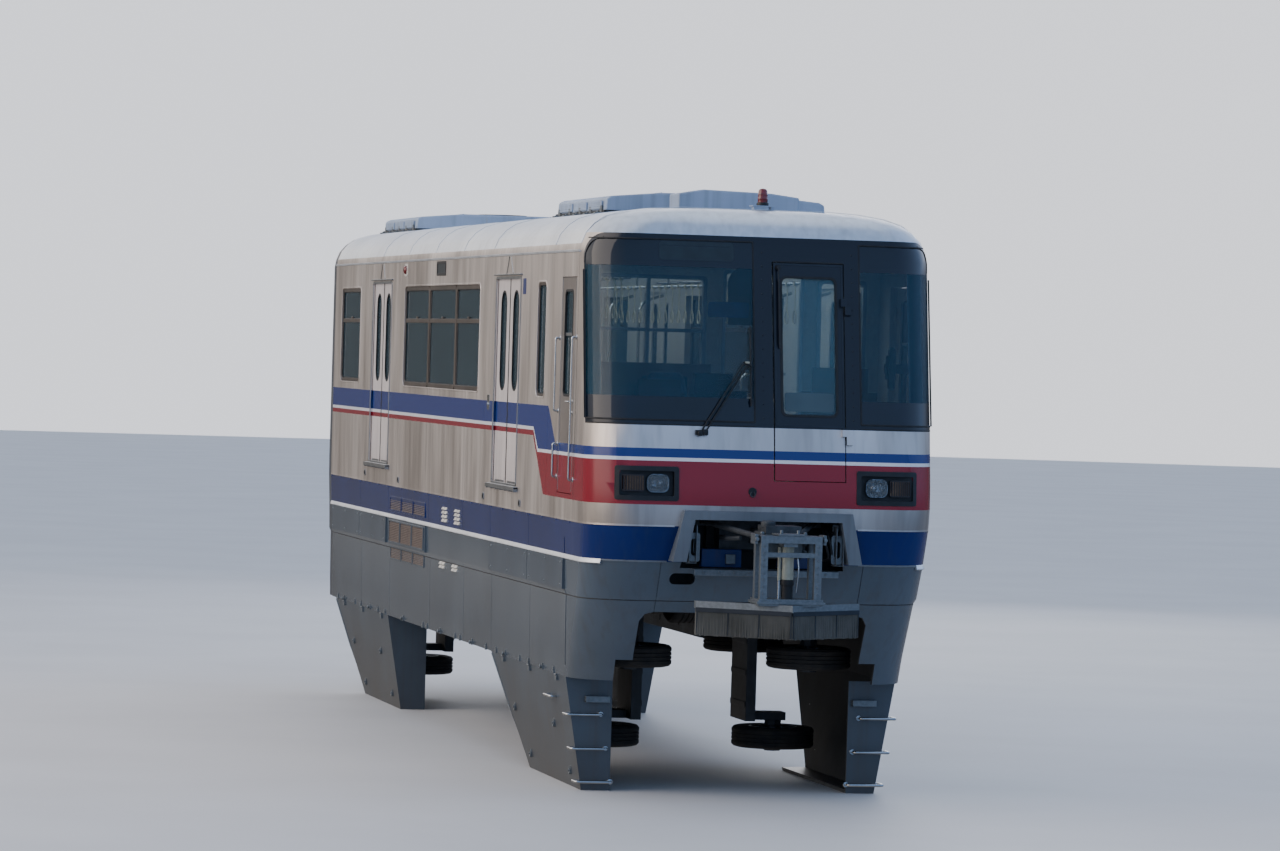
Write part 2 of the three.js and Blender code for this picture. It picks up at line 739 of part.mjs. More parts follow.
const brushParts = [
  box(-256, -196, -700, -640, 1740, 2260),
  box(196, 256, -700, -640, 1740, 2260),
  box(-256, -196, -900, -840, 1740, 2260),
  box(196, 256, -900, -840, 1740, 2260),
  box(-256, 256, -700, -640, 2200, 2260),
  box(-256, 256, -900, -840, 2200, 2260),
  box(-256, -196, -900, -640, 2200, 2260),
  box(196, 256, -900, -640, 2200, 2260),
  box(-270, 270, -920, -620, 1690, 1745),
  box(-150, 150, -642, -600 - SEAM, 2100, 2255),
  rod("z", [0, -770, 1960], 48, 440, 16),
  box(-60, 60, -870, -670, 2170, 2230),
  prismZ(
    [
      [-690, -470],
      [-690, -400],
      [0, -880],
      [690, -400],
      [690, -470],
      [0, BRUSH_FRONT],
    ].reverse(),
    1640,
    1700,
  ),
  prismZ(
    [
      [-685, -462],
      [-685, -425],
      [0, -910],
      [685, -425],
      [685, -462],
      [0, -985],
    ].reverse(),
    1420,
    1650,
  ),
];
addPiece("beam_brush", joined(brushParts), BRISTLE);

// Cab interior: bulkhead with its openings, console and seat
const bulkheadRear = BULKHEAD_FRONT + BULKHEAD_THICKNESS;
const bulkheadSheet = box(-1700, 1700, BULKHEAD_FRONT, bulkheadRear, FLOOR_TOP + SEAM, 5000);
const bulkhead = cut(cabinVolume.intersect(bulkheadSheet), [
  box(20, 680, 1800, 2000, 2400, 4420),
  box(-1150, -180, 1800, 2000, 3450, 4360),
  box(860, 1240, 1800, 2000, 3450, 4360),
]);
addPiece("cab_bulkhead", bulkhead, INTERIOR);

const consoleOutline = [
  [330, FLOOR_TOP + SEAM],
  [700, FLOOR_TOP + SEAM],
  [820, 3180],
  [790, 3250],
  [560, 3330],
  [330, 3290],
];
const consoleVolume = bodyVolume(WALL + 25, ROOF_THICKNESS, BODY_LENGTH);
const consoleMain = prismX(consoleOutline, -1290, -60);
addPiece("driver_console", consoleMain.intersect(consoleVolume), DARK_GREY);

const seatParts = [
  box(-690, -430, 1180, 1440, FLOOR_TOP + SEAM, 2550),
  rod("z", [-560, 1310, 2720], 50, 400, 16),
  box(-780, -340, 1080, 1530, 2880, 2980),
  prismX(
    [
      [1470, 2940],
      [1560, 2940],
      [1640, 3560],
      [1560, 3580],
    ],
    -770,
    -350,
  ),
];
addPiece("driver_seat", joined(seatParts), SEAT_CLOTH);

// Long benches along the side walls between the doorways
SIDES.forEach(({ name, sign }) => {
  const outline = [
    [1060, FLOOR_TOP + SEAM],
    [1390 - SEAM, FLOOR_TOP + SEAM],
    [1390 - SEAM, 3290],
    [1330, 3290],
    [1290, 2960],
    [950, 2940],
    [950, 2860],
    [1060, 2800],
  ];
  const bench = prismY(outline.map(([x, z]) => [x * sign, z]), 5330, 9940);
  addPiece(`bench_${name}`, bench, SEAT_CLOTH);
});

// Bogies: frame with axle bores, legs and wheel pins, then their wheels
const axleZ = BEAM_TOP + TYRE_RADIUS;

function bogieFrame(centre) {
  const parts = [];
  [-1, 1].forEach((sign) => {
    parts.push(sideBox(sign, 480, 640, centre - 1420, centre + 1420, 1560, 2010));
    parts.push(sideBox(sign, 470, 560, centre - 300, centre + 300, 500, 1600));
    parts.push(sideBox(sign, 470, 880, centre - 110, centre + 110, 500, 570));
    parts.push(turnedZ(wheelPin(), [sign * GUIDE_X, centre, STABILISER_Z], 8));
    const springTop = FLOOR_BOTTOM - SEAM;
    parts.push(rod("z", [sign * 560, centre, (2005 + springTop) / 2], 170, springTop - 2005, 16));
    [-1, 1].forEach((end) => {
      const y = centre + end * GUIDE_OFFSET;
      parts.push(sideBox(sign, 500, 890, y - 100, y + 100, 1560, 1640));
      parts.push(rod("z", [sign * GUIDE_X, y, 1430], 60, 280, 8));
      parts.push(turnedZ(wheelPin(), [sign * GUIDE_X, y, GUIDE_Z], 8));
    });
  });
  parts.push(box(-490, 490, centre - 190, centre + 190, 1600, 2240));
  parts.push(box(-490, 490, centre - 1420, centre - 1290, 1580, 1800));
  parts.push(box(-490, 490, centre + 1290, centre + 1420, 1580, 1800));
  const cuts = [
    rod("z", [0, centre, 2100], 98, 700, 16),
    rod("x", [0, centre - AXLE_OFFSET, axleZ], AXLE_BORE, 1130, 16),
    rod("x", [0, centre + AXLE_OFFSET, axleZ], AXLE_BORE, 1130, 16),
  ];
  return cut(joined(parts), cuts);
}

// Pin that a guide wheel turns on, with a cap under the wheel
function wheelPin() {
  const half = GUIDE_HALF_WIDTH;
  return [
    [0, -half - 30],
    [75, -half - 30],
    [75, -half - 7],
    [PIN_RADIUS, -half - 7],
    [PIN_RADIUS, half + 7],
    [75, half + 7],
    [75, half + 70],
    [0, half + 70],
  ];
}

const AXLE_PROFILE = [
  [0, -560],
  [AXLE_RADIUS, -560],
  [AXLE_RADIUS, -400],
  [478, -355],
  [TYRE_RADIUS, -320],
  [TYRE_RADIUS, -90],
  [478, -55],
  [210, -55],
  [210, 55],
  [478, 55],
  [TYRE_RADIUS, 90],
  [TYRE_RADIUS, 320],
  [478, 355],
  [AXLE_RADIUS, 400],
  [AXLE_RADIUS, 560],
  [0, 560],
];

const GUIDE_PROFILE = [
  [WHEEL_BORE, -GUIDE_HALF_WIDTH],
  [GUIDE_RADIUS - 20, -GUIDE_HALF_WIDTH],
  [GUIDE_RADIUS, -GUIDE_HALF_WIDTH + 25],
  [GUIDE_RADIUS, GUIDE_HALF_WIDTH - 25],
  [GUIDE_RADIUS - 20, GUIDE_HALF_WIDTH],
  [WHEEL_BORE, GUIDE_HALF_WIDTH],
  [WHEEL_BORE, -GUIDE_HALF_WIDTH],
];

BOGIE_CENTRES.forEach((bogie) => {
  addPiece(`bogie_${bogie.name}`, bogieFrame(bogie.y), EQUIPMENT, [0, bogie.y, 2100]);
  [
    { end: "fore", offset: -1 },
    { end: "aft", offset: 1 },
  ].forEach(({ end, offset }) => {
    const centre = [0, bogie.y + offset * AXLE_OFFSET, axleZ];
    addPiece(`axle_${bogie.name}_${end}`, turnedX(AXLE_PROFILE, centre), RUBBER, centre);
  });
  SIDES.forEach(({ name, sign }) => {
    [
      { kind: "guide_wheel", end: "_fore", offset: -GUIDE_OFFSET, z: GUIDE_Z },
      { kind: "guide_wheel", end: "_aft", offset: GUIDE_OFFSET, z: GUIDE_Z },
      { kind: "stabiliser", end: "", offset: 0, z: STABILISER_Z },
    ].forEach(({ kind, end, offset, z }) => {
      const centre = [sign * GUIDE_X, bogie.y + offset, z];
      const label = `${kind}_${bogie.name}_${name}${end}`;
      addPiece(label, turnedZ(GUIDE_PROFILE, centre), RUBBER, centre);
    });
  });
});

car.position.y = -(BRUSH_FRONT + BODY_LENGTH + FAIRING_LENGTH) / 2;

export default car;
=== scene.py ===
"""Looks of a straddle monorail cab car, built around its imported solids.

Lengths are in metres. Lengths along Y count from the front face of the car while a mesh is
made, and CENTRE then moves it into the row frame, whose origin is the middle of the footprint.
"""

from __future__ import annotations

import json
import logging
import math
from dataclasses import dataclass, field
from enum import Enum
from typing import Any, Callable, Iterable, Mapping, Sequence

import bmesh
import bpy
from mathutils import Matrix, Vector, noise

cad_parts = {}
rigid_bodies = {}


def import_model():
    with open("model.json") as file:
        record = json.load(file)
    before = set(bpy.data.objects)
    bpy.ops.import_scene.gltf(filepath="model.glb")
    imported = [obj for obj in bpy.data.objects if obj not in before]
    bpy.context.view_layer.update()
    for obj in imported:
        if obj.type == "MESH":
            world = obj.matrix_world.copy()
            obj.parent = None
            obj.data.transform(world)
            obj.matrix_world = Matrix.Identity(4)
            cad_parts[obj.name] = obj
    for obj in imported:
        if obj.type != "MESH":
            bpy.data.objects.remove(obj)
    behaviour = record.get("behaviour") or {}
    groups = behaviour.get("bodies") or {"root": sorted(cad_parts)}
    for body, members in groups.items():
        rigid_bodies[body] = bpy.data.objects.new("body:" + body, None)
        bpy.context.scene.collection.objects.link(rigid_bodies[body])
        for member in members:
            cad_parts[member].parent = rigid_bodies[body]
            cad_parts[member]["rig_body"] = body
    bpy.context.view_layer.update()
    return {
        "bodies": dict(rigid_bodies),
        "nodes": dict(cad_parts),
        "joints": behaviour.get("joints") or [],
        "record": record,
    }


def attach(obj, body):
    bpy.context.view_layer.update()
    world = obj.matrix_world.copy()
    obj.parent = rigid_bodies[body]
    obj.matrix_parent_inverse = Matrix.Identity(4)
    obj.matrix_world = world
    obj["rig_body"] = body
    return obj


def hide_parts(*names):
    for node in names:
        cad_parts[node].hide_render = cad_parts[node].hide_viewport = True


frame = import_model()

CENTRE = 6.825
CAR_BODY = "car_body"
LOG = logging.getLogger("cab_car")

Pair = tuple[float, float]
Point = tuple[float, float, float]

# Height, half width and setback of the front face, as in the CAD solids
LEVELS: tuple[Point, ...] = (
    (0.900, 1.438, 0.730),
    (1.190, 1.446, 0.600),
    (1.660, 1.452, 0.300),
    (1.700, 1.468, 0.270),
    (1.990, 1.476, 0.120),
    (2.290, 1.488, 0.020),
    (2.470, 1.490, 0.000),
    (2.640, 1.490, 0.005),
    (3.120, 1.490, 0.070),
    (4.540, 1.490, 0.335),
    (4.620, 1.476, 0.350),
    (4.710, 1.440, 0.372),
    (4.790, 1.372, 0.410),
    (4.850, 1.285, 0.460),
    (4.900, 1.125, 0.540),
    (4.932, 0.900, 0.670),
    (4.948, 0.620, 0.860),
)
CORNER = 0.43
REAR = 14.43
RAISED_BOXES: tuple[Pair, ...] = (
    (1.18, 2.80),
    (2.815, 4.69),
    (8.20, 10.40),
    (10.62, 12.35),
    (12.365, 14.33),
)
SKIRT_JOINTS = (2.8075, 4.69, 6.16, 8.06, 10.51, 12.3575)
DOORWAYS: tuple[tuple[str, float, float], ...] = (("front", 3.452, 4.642), ("rear", 10.617, 11.807))
BOGIES: tuple[tuple[str, float], ...] = (("front", 2.91), ("rear", 12.51))


class Side(Enum):
    """A side of the car, with the sign of its X."""

    RIGHT = -1
    LEFT = 1

    @property
    def label(self) -> str:
        """The side's word in node and piece names."""
        return self.name.lower()


class Axis(Enum):
    """The direction that a flat outline is pushed along, or a profile is turned about."""

    X = 0
    Y = 1
    Z = 2

    def lift(self, a: float, b: float, along: float) -> Point:
        """Place a flat point at a distance along this axis.

        Args:
            a: First coordinate of the flat point, the lower of the two other axes.
            b: Second coordinate of the flat point.
            along: Coordinate along this axis.

        Returns:
            The point in space.
        """
        flat = [a, b]
        flat.insert(self.value, along)
        return (flat[0], flat[1], flat[2])


def level(z: float, column: int) -> float:
    """Read one column of LEVELS at a height, with straight lines between its rows.

    Args:
        z: Height above the feet of the bogie covers.
        column: 1 for the half width, 2 for the setback of the front face.

    Returns:
        The value at that height.
    """
    if z <= LEVELS[0][0]:
        return LEVELS[0][column]
    for low, high in zip(LEVELS, LEVELS[1:]):
        if z <= high[0]:
            share = (z - low[0]) / (high[0] - low[0])
            return low[column] + share * (high[column] - low[column])
    return LEVELS[-1][column]


def face(x: float, z: float) -> float:
    """Distance of the body's front skin behind the front face at a place.

    Args:
        x: Place across the car.
        z: Height.

    Returns:
        The Y of the outer skin, also round the two vertical corners.
    """
    reach = abs(x) - (level(z, 1) - CORNER)
    if reach <= 0:
        return level(z, 2)
    return level(z, 2) + CORNER - math.sqrt(max(CORNER**2 - min(reach, CORNER) ** 2, 0.0))


def skyline(x: float) -> float:
    """Height of the roof skin at a place across the car."""
    for low, high in zip(LEVELS, LEVELS[1:]):
        if low[0] >= 4.54 and low[1] >= abs(x) >= high[1]:
            share = (low[1] - abs(x)) / (low[1] - high[1])
            return low[0] + share * (high[0] - low[0])
    return LEVELS[-1][0]


# Finishes


def linear(code: str) -> tuple[float, float, float, float]:
    """Turn an sRGB hex colour into Blender's linear values.

    Args:
        code: Colour such as "b3202e".

    Returns:
        Linear red, green, blue and an alpha of 1.
    """
    parts = [int(code[start : start + 2], 16) / 255 for start in (0, 2, 4)]
    red, green, blue = (p / 12.92 if p <= 0.04045 else ((p + 0.055) / 1.055) ** 2.4 for p in parts)
    return (red, green, blue, 1.0)


class Zone(Enum):
    """Which parts of the livery a finish carries."""

    NONE = "none"
    STRIPES = "stripes"
    BODY = "body"


@dataclass(frozen=True)
class Finish:
    """One real material and how its surface was made.

    Lengths of patterns are in millimetres.
    """

    name: str
    slot: str
    tone: str
    shade: str
    metallic: float = 0.0
    roughness: float = 0.5
    spread: float = 0.1
    grain: Point = (3.0, 3.0, 3.0)
    relief: float = 0.0
    mottle: float = 400.0
    # How far the mottle is stretched upwards; on stainless the stretched mottle paints light and dark
    # reflection columns.
    tall: float = 1.0
    wave: float = 0.0
    wave_size: Point = (300.0, 300.0, 300.0)
    streaks: float = 0.0
    soot: str = "3a3733"
    grime: float = 0.0
    grime_top: float = 2.0
    coat: float = 0.0
    ior: float = 1.5
    opacity: float = 1.0
    anisotropy: float = 0.0
    sheen: float = 0.0
    glow: float = 0.0
    zone: Zone = Zone.NONE


# Stainless sheet with a lengthwise brush: grey with a warm cast, and soft long highlights painted as upright
# bands of mottle.
STAINLESS = Finish("brushed_stainless_steel", "brushed_body_steel", "ece4de", "c3bab3", metallic=1.0,
                   roughness=0.42, spread=0.08, grain=(260, 150, 900), mottle=620, tall=5.0, wave=4.0,
                   wave_size=(900, 420, 700), streaks=0.28, soot="83776e", zone=Zone.BODY)
# The same sheet under a pale clear film on the roof: cooler and more even.
ROOF_SHEET = Finish("filmed_roof_stainless", "pale_roof_steel", "e6eaee", "d3d8de", metallic=0.85,
                    roughness=0.42, spread=0.12, grain=(60, 500, 60), relief=0.02, mottle=1100, wave=1.0,
                    wave_size=(700, 900, 700), streaks=0.16, soot="6a665f")
# Two-pack enamel on the lower panels: smooth grey with slow waves in the sheet that bend reflections.
SKIRT_ENAMEL = Finish("grey_two_pack_enamel", "skirt_grey", "525d68", "48535e", roughness=0.18,
                      spread=0.12, grain=(2, 2, 2), relief=0.01, mottle=900, wave=2.4,
                      wave_size=(260, 330, 230), streaks=0.3, soot="4a4641", grime=0.35, grime_top=1.7)
# The same enamel in blue along the foot of the body.
BLUE_BAND = Finish("blue_two_pack_enamel", "brushed_body_steel", "152a66", "11235a", roughness=0.14,
                   spread=0.1, grain=(2, 2, 2), relief=0.01, mottle=1100, wave=2.6,
                   wave_size=(230, 260, 200), streaks=0.2, soot="3c3f4c", ior=1.38)
# Sprayed enamel on the bogie covers: the same grey, dulled by road film near the foot.
COVER_ENAMEL = Finish("grey_cover_enamel", "skirt_grey", "49535d", "404953", roughness=0.36,
                      spread=0.14, grain=(2, 2, 2), relief=0.02, mottle=700, wave=1.6,
                      wave_size=(400, 400, 300), streaks=0.5, soot="47423c", grime=0.5, grime_top=1.0)
# Powder coated hood round the drawbar: satin grey, lighter than the skirt; on the bead over it a painted
# highlight.
HOOD_COAT_AND_EDGE_HIGHLIGHT = Finish("satin_hood_coat", "skirt_grey", "70777e", "636a72", roughness=0.45,
                   grain=(2, 2, 2), relief=0.02, mottle=500, streaks=0.3)
# Door leaves in filmed steel: an off-white with a faint warm cast, satin.
DOOR_FILM = Finish("filmed_door_steel", "door_steel", "d9cfca", "cbc2bd", metallic=0.1, roughness=0.4,
                   spread=0.08, grain=(30, 30, 400), relief=0.01, mottle=900, wave=0.6,
                   wave_size=(700, 400, 900), streaks=0.25, soot="8a7f75", zone=Zone.STRIPES)
# Cab doors in the same sheet as the walls, filmed: warm grey.
CAB_DOOR_STEEL = Finish("filmed_cab_door_steel", "door_steel", "b3aaa4", "a39b95", metallic=0.85,
                        roughness=0.34, spread=0.12, grain=(30, 30, 400), relief=0.01, mottle=900, wave=1.2,
                        wave_size=(700, 400, 900), streaks=0.3, soot="6f665e", zone=Zone.STRIPES)
# Bare aluminium extrusions of sills, jambs and rails: light grey, drawn along their length.
ALUMINIUM = Finish("drawn_aluminium", "pale_metal", "a8abad", "94989b", metallic=1.0, roughness=0.36,
                   grain=(4, 120, 4), relief=0.03, mottle=300, streaks=0.2)
# Bronze anodised window frames: brown grey with a soft gleam.
BRONZE_ANODISED = Finish("bronze_anodised_aluminium", "pale_metal", "6f655e", "5c544e", metallic=0.8,
                         roughness=0.4, grain=(5, 200, 5), relief=0.02, mottle=500, streaks=0.2)
# Stainless rod and tube: bright, polished by hands and boots.
POLISHED_ROD = Finish("polished_stainless_rod", "pale_metal", "c9cbcc", "b2b5b7", metallic=1.0,
                      roughness=0.2, grain=(3, 3, 3), relief=0.01, mottle=120)
# Epoxy paint on the roof units: cool pale grey, chalky from the weather.
UNIT_PAINT = Finish("chalky_epoxy_paint", "pale_metal", "a6b7cd", "98a8be", metallic=0.0, roughness=0.55,
                    grain=(4, 4, 4), relief=0.03, mottle=600, wave=0.8, streaks=0.35, soot="5c5a58")
# Chassis paint on bogies and cases: dark grey, thick, with dust in its pores.
CHASSIS_PAINT = Finish("chassis_paint", "frame_paint", "4b4f53", "3c3f42", roughness=0.62, spread=0.18,
                       grain=(6, 6, 6), relief=0.12, mottle=260, streaks=0.5, soot="2c2622", grime=0.5,
                       grime_top=1.4)
# Bitumen underseal below the floor: near black and matt.
UNDERSEAL = Finish("bitumen_underseal", "dark_grey_paint", "35393d", "292c2f", roughness=0.72,
                   grain=(9, 9, 9), relief=0.25, mottle=500, streaks=0.3)
# Moulded black fittings: a faint leather grain and a dull shine.
BLACK_ABS = Finish("grained_black_abs", "dark_mask", "15171a", "1d2024", roughness=0.48, spread=0.12,
                   grain=(1.6, 1.6, 1.6), relief=0.05, mottle=60)
# Extruded gaskets: soft black rubber, slightly bloomed.
EPDM = Finish("epdm_gasket_rubber", "tyre_rubber", "17181a", "242527", roughness=0.62, spread=0.15,
              grain=(5, 5, 5), relief=0.05, mottle=90)
# Tyre compound: matt black with brown dust where it rolls.
TYRE = Finish("tyre_compound", "tyre_rubber", "222222", "34302b", roughness=0.85, spread=0.1,
              grain=(7, 7, 7), relief=0.3, mottle=110, streaks=0.2)
# Gangway bellows: coated cloth, dark grey with fine folds.
BELLOWS = Finish("coated_bellows_cloth", "dark_grey_paint", "2f3236", "3a3d41", roughness=0.75,
                 grain=(2, 2, 2), relief=0.1, mottle=200, sheen=0.2)
# Fairing in dark enamel, smooth and slightly dusty.
FAIRING_ENAMEL = Finish("dark_fairing_enamel", "dark_grey_paint", "4a4f57", "3f444b", roughness=0.45,
                        grain=(3, 3, 3), relief=0.02, mottle=800, wave=1.0, streaks=0.4)
# Cast steel of the drawbar: rough skin, worn brighter on corners.
CAST_STEEL = Finish("cast_steel_skin", "coupler_steel", "44484c", "55595c", metallic=0.55,
                    roughness=0.6, spread=0.2, grain=(4, 4, 4), relief=0.25, mottle=70, streaks=0.3)
# Galvanised brackets: blotchy spangle in pale grey.
ZINC = Finish("galvanised_bracket_steel", "brush_metal", "7f8589", "71787c", metallic=0.7,
              roughness=0.48, spread=0.2, grain=(14, 14, 14), relief=0.05, mottle=26, streaks=0.2)
# Bristle bundles, drawn coarser than the real 1 mm so that the strands show.
BRISTLE = Finish("plastic_bristle_bundle", "brush_metal", "5a5a55", "454540", roughness=0.8,
                 spread=0.1, grain=(7, 7, 220), relief=1.2, mottle=300)
# Aged zinc primer on the brush jack and the wiper's mount: a dull cream with a green cast.
CREAM_PAINT = Finish("cream_jack_paint", "brush_metal", "a3a493", "929383", roughness=0.5,
                     grain=(3, 3, 3), relief=0.03, mottle=90, streaks=0.4, soot="554a38")
# Melamine lining of the saloon: warm ivory, printed with a faint fleck.
LINING = Finish("ivory_melamine", "interior_panel", "cac7bd", "c0bcb1", roughness=0.42,
                grain=(6, 6, 6), relief=0.01, mottle=30)
# Wood-look laminate of the lower partition: reddish brown.
LAMINATE = Finish("brown_laminate", "interior_panel", "7b5f50", "6a5043", roughness=0.45,
                  grain=(9, 9, 260), relief=0.02, mottle=120)
# Vinyl floor with chips pressed in.
VINYL = Finish("chipped_vinyl_floor", "interior_panel", "6c6f70", "7b7d7c", roughness=0.55,
               grain=(9, 9, 9), relief=0.02, mottle=14)
# Desk top in soft-touch moulding, near black.
DESK = Finish("soft_touch_desk", "dark_grey_paint", "24272b", "2c3034", roughness=0.6,
              grain=(1.5, 1.5, 1.5), relief=0.06, mottle=80)
# Moquette with a 4 mm pile, drawn at 5 mm: blue grey with a velvety edge.
MOQUETTE = Finish("blue_moquette", "seat_cloth", "33456b", "24365a", roughness=0.95, spread=0.03,
                  grain=(5, 5, 5), relief=1.0, mottle=45, sheen=0.5)
# Strap webbing and rings: warm white plastic.
RING_PLASTIC = Finish("ivory_acetal", "interior_panel", "d8cfae", "cbc2a0", roughness=0.35,
                      grain=(2, 2, 2), relief=0.02, mottle=60)
# Toughened tinted panes of the saloon: grey green.
TINTED = Finish("grey_green_float_glass", "tinted_glass", "3c525c", "374b55", roughness=0.05,
                spread=0.02, grain=(60, 60, 60), mottle=900, ior=1.52, opacity=0.36)
# Laminated screen: clearer, a trace of blue.
SCREEN = Finish("laminated_screen_glass", "tinted_glass", "1d4d63", "1a4558", roughness=0.04,
                spread=0.02, grain=(60, 60, 60), mottle=1200, ior=1.52, opacity=0.34)
# Clear pane of the front door: lighter than the screens beside it.
CLEAR_PANE = Finish("clear_safety_glass", "tinted_glass", "4f8296", "48778b", roughness=0.05, spread=0.02,
                    grain=(60, 60, 60), mottle=900, ior=1.52, opacity=0.3)
# Ceramic print along the edges of the screens: glassy blue black.
FRIT = Finish("ceramic_screen_print", "tinted_glass", "0c1a2a", "0a1521", roughness=0.07, spread=0.03,
              grain=(50, 50, 50), relief=0.005, mottle=700, ior=1.52)
# Etched glass along the foot of the front door's pane.
FROSTED = Finish("etched_glass", "tinted_glass", "4b626c", "435a64", roughness=0.35, spread=0.05,
                 grain=(8, 8, 8), relief=0.01, mottle=200, ior=1.52, opacity=0.75)
# Satin dark aluminium of the front door's frame, the mask's bolts and the brush clamps.
DARK_FRAME = Finish("dark_anodised_frame", "dark_mask", "343a42", "2a3037", metallic=0.6, roughness=0.38,
                    grain=(5, 120, 5), relief=0.01, mottle=300)
# Moulded lamp lenses.
CLEAR_LENS = Finish("clear_polycarbonate_lens", "tinted_glass", "b9c2c8", "adb6bc", roughness=0.06,
                    spread=0.02, grain=(9, 9, 9), relief=0.05, mottle=60, ior=1.58, opacity=0.08)
RED_LENS = Finish("red_polycarbonate_lens", "tinted_glass", "7a0f14", "5e0a10", roughness=0.16,
                  spread=0.05, grain=(8, 8, 8), relief=0.4, mottle=40, ior=1.58, coat=0.6)
DARK_RED_LENS = Finish("smoked_red_lens", "tinted_glass", "1c0b0b", "160909", roughness=0.24,
                       spread=0.05, grain=(10, 10, 10), relief=0.4, mottle=30, ior=1.5)
# Vacuum plated reflector bowls.
CHROME = Finish("plated_reflector", "pale_metal", "8b949c", "6f7880", metallic=1.0, roughness=0.1,
                spread=0.05, grain=(22, 22, 22), relief=1.5, mottle=40)
# Rusty louvres behind the cooling grilles: brown with road dust.
LOUVRE = Finish("dusty_louvre_steel", "skirt_grey", "6b5d55", "58493f", metallic=0.2, roughness=0.7,
                spread=0.15, grain=(8, 30, 8), relief=0.1, mottle=45, streaks=0.4)
# Cream enamel of the small vent hoods.
VENT_ENAMEL = Finish("white_vent_enamel", "skirt_grey", "d6d3c8", "c5c1b5", roughness=0.45,
                     grain=(3, 3, 3), relief=0.02, mottle=70, streaks=0.3)
# Blue enamel of clips, small boxes and blank plates.
BLUE_ENAMEL = Finish("blue_enamel", "skirt_grey", "1c3270", "182b62", roughness=0.4,
                     grain=(3, 3, 3), relief=0.02, mottle=200, streaks=0.3)
# Unlit display face behind the screen: matt green black.
DISPLAY = Finish("blank_display_film", "dark_mask", "1d2c33", "18252c", roughness=0.35,
                 grain=(3, 3, 3), relief=0.03, mottle=90)
# Opal ceiling diffusers, softly lit.
DIFFUSER = Finish("opal_diffuser", "interior_panel", "d8ecf6", "cfe4f0", roughness=0.5,
                  grain=(6, 6, 6), relief=0.02, mottle=200, glow=5.0)
# Window film of the cab's sun visor.
VISOR_FILM = Finish("blue_visor_film", "tinted_glass", "23408f", "1c3579", roughness=0.25,
                    grain=(4, 4, 4), relief=0.02, mottle=60, opacity=0.85)
# Painted studio floor.
STAGE_FLOOR = Finish("pale_studio_paint", "", "e0deda", "dad8d4", roughness=0.6, spread=0.05,
                     grain=(9, 9, 9), relief=0.05, mottle=2500)
# Lit paper round the studio.
STAGE_WALL = Finish("lit_studio_paper", "", "e6e4e3", "e3e1e0", roughness=0.9, grain=(9, 9, 9), mottle=9000,
                    glow=1.25)


@dataclass(frozen=True)
class Stripe:
    """One colour of the livery, below an edge that runs along the side.

    The edge is a line through (Y, Z) points between FILM_SPAN's ends and level beyond them.
    """

    name: str
    tone: str
    edge: tuple[Pair, ...]


FILM_SPAN: Pair = (1.4, 2.9)
FILM_BASE: Pair = (2.4, 3.4)
STRIPES: tuple[Stripe, ...] = (
    Stripe("blue film", "1b3276", ((1.4, 2.931), (1.66, 2.931), (2.0, 3.234), (2.9, 3.234))),
    Stripe("white film", "e9e9ea", ((1.4, 2.857), (2.44, 2.857), (2.67, 3.043), (2.9, 3.043))),
    Stripe("red film", "8a1729", ((1.4, 2.828), (2.46, 2.828), (2.66, 3.012), (2.9, 3.012))),
    Stripe("bare steel", "", ((1.4, 2.466), (2.14, 2.468), (2.48, 2.79), (2.68, 2.968), (2.9, 2.968))),
)
FILM_ROUGHNESS = 0.22
MASK_TONE = "0a1320"
MASK_FOOT = 3.121
# Centre and half axes of the ellipse, in (setback, height), that rounds the mask's upper corners
MASK_ARC: tuple[float, float, float, float] = (0.153, 4.455, 0.199, 0.255)


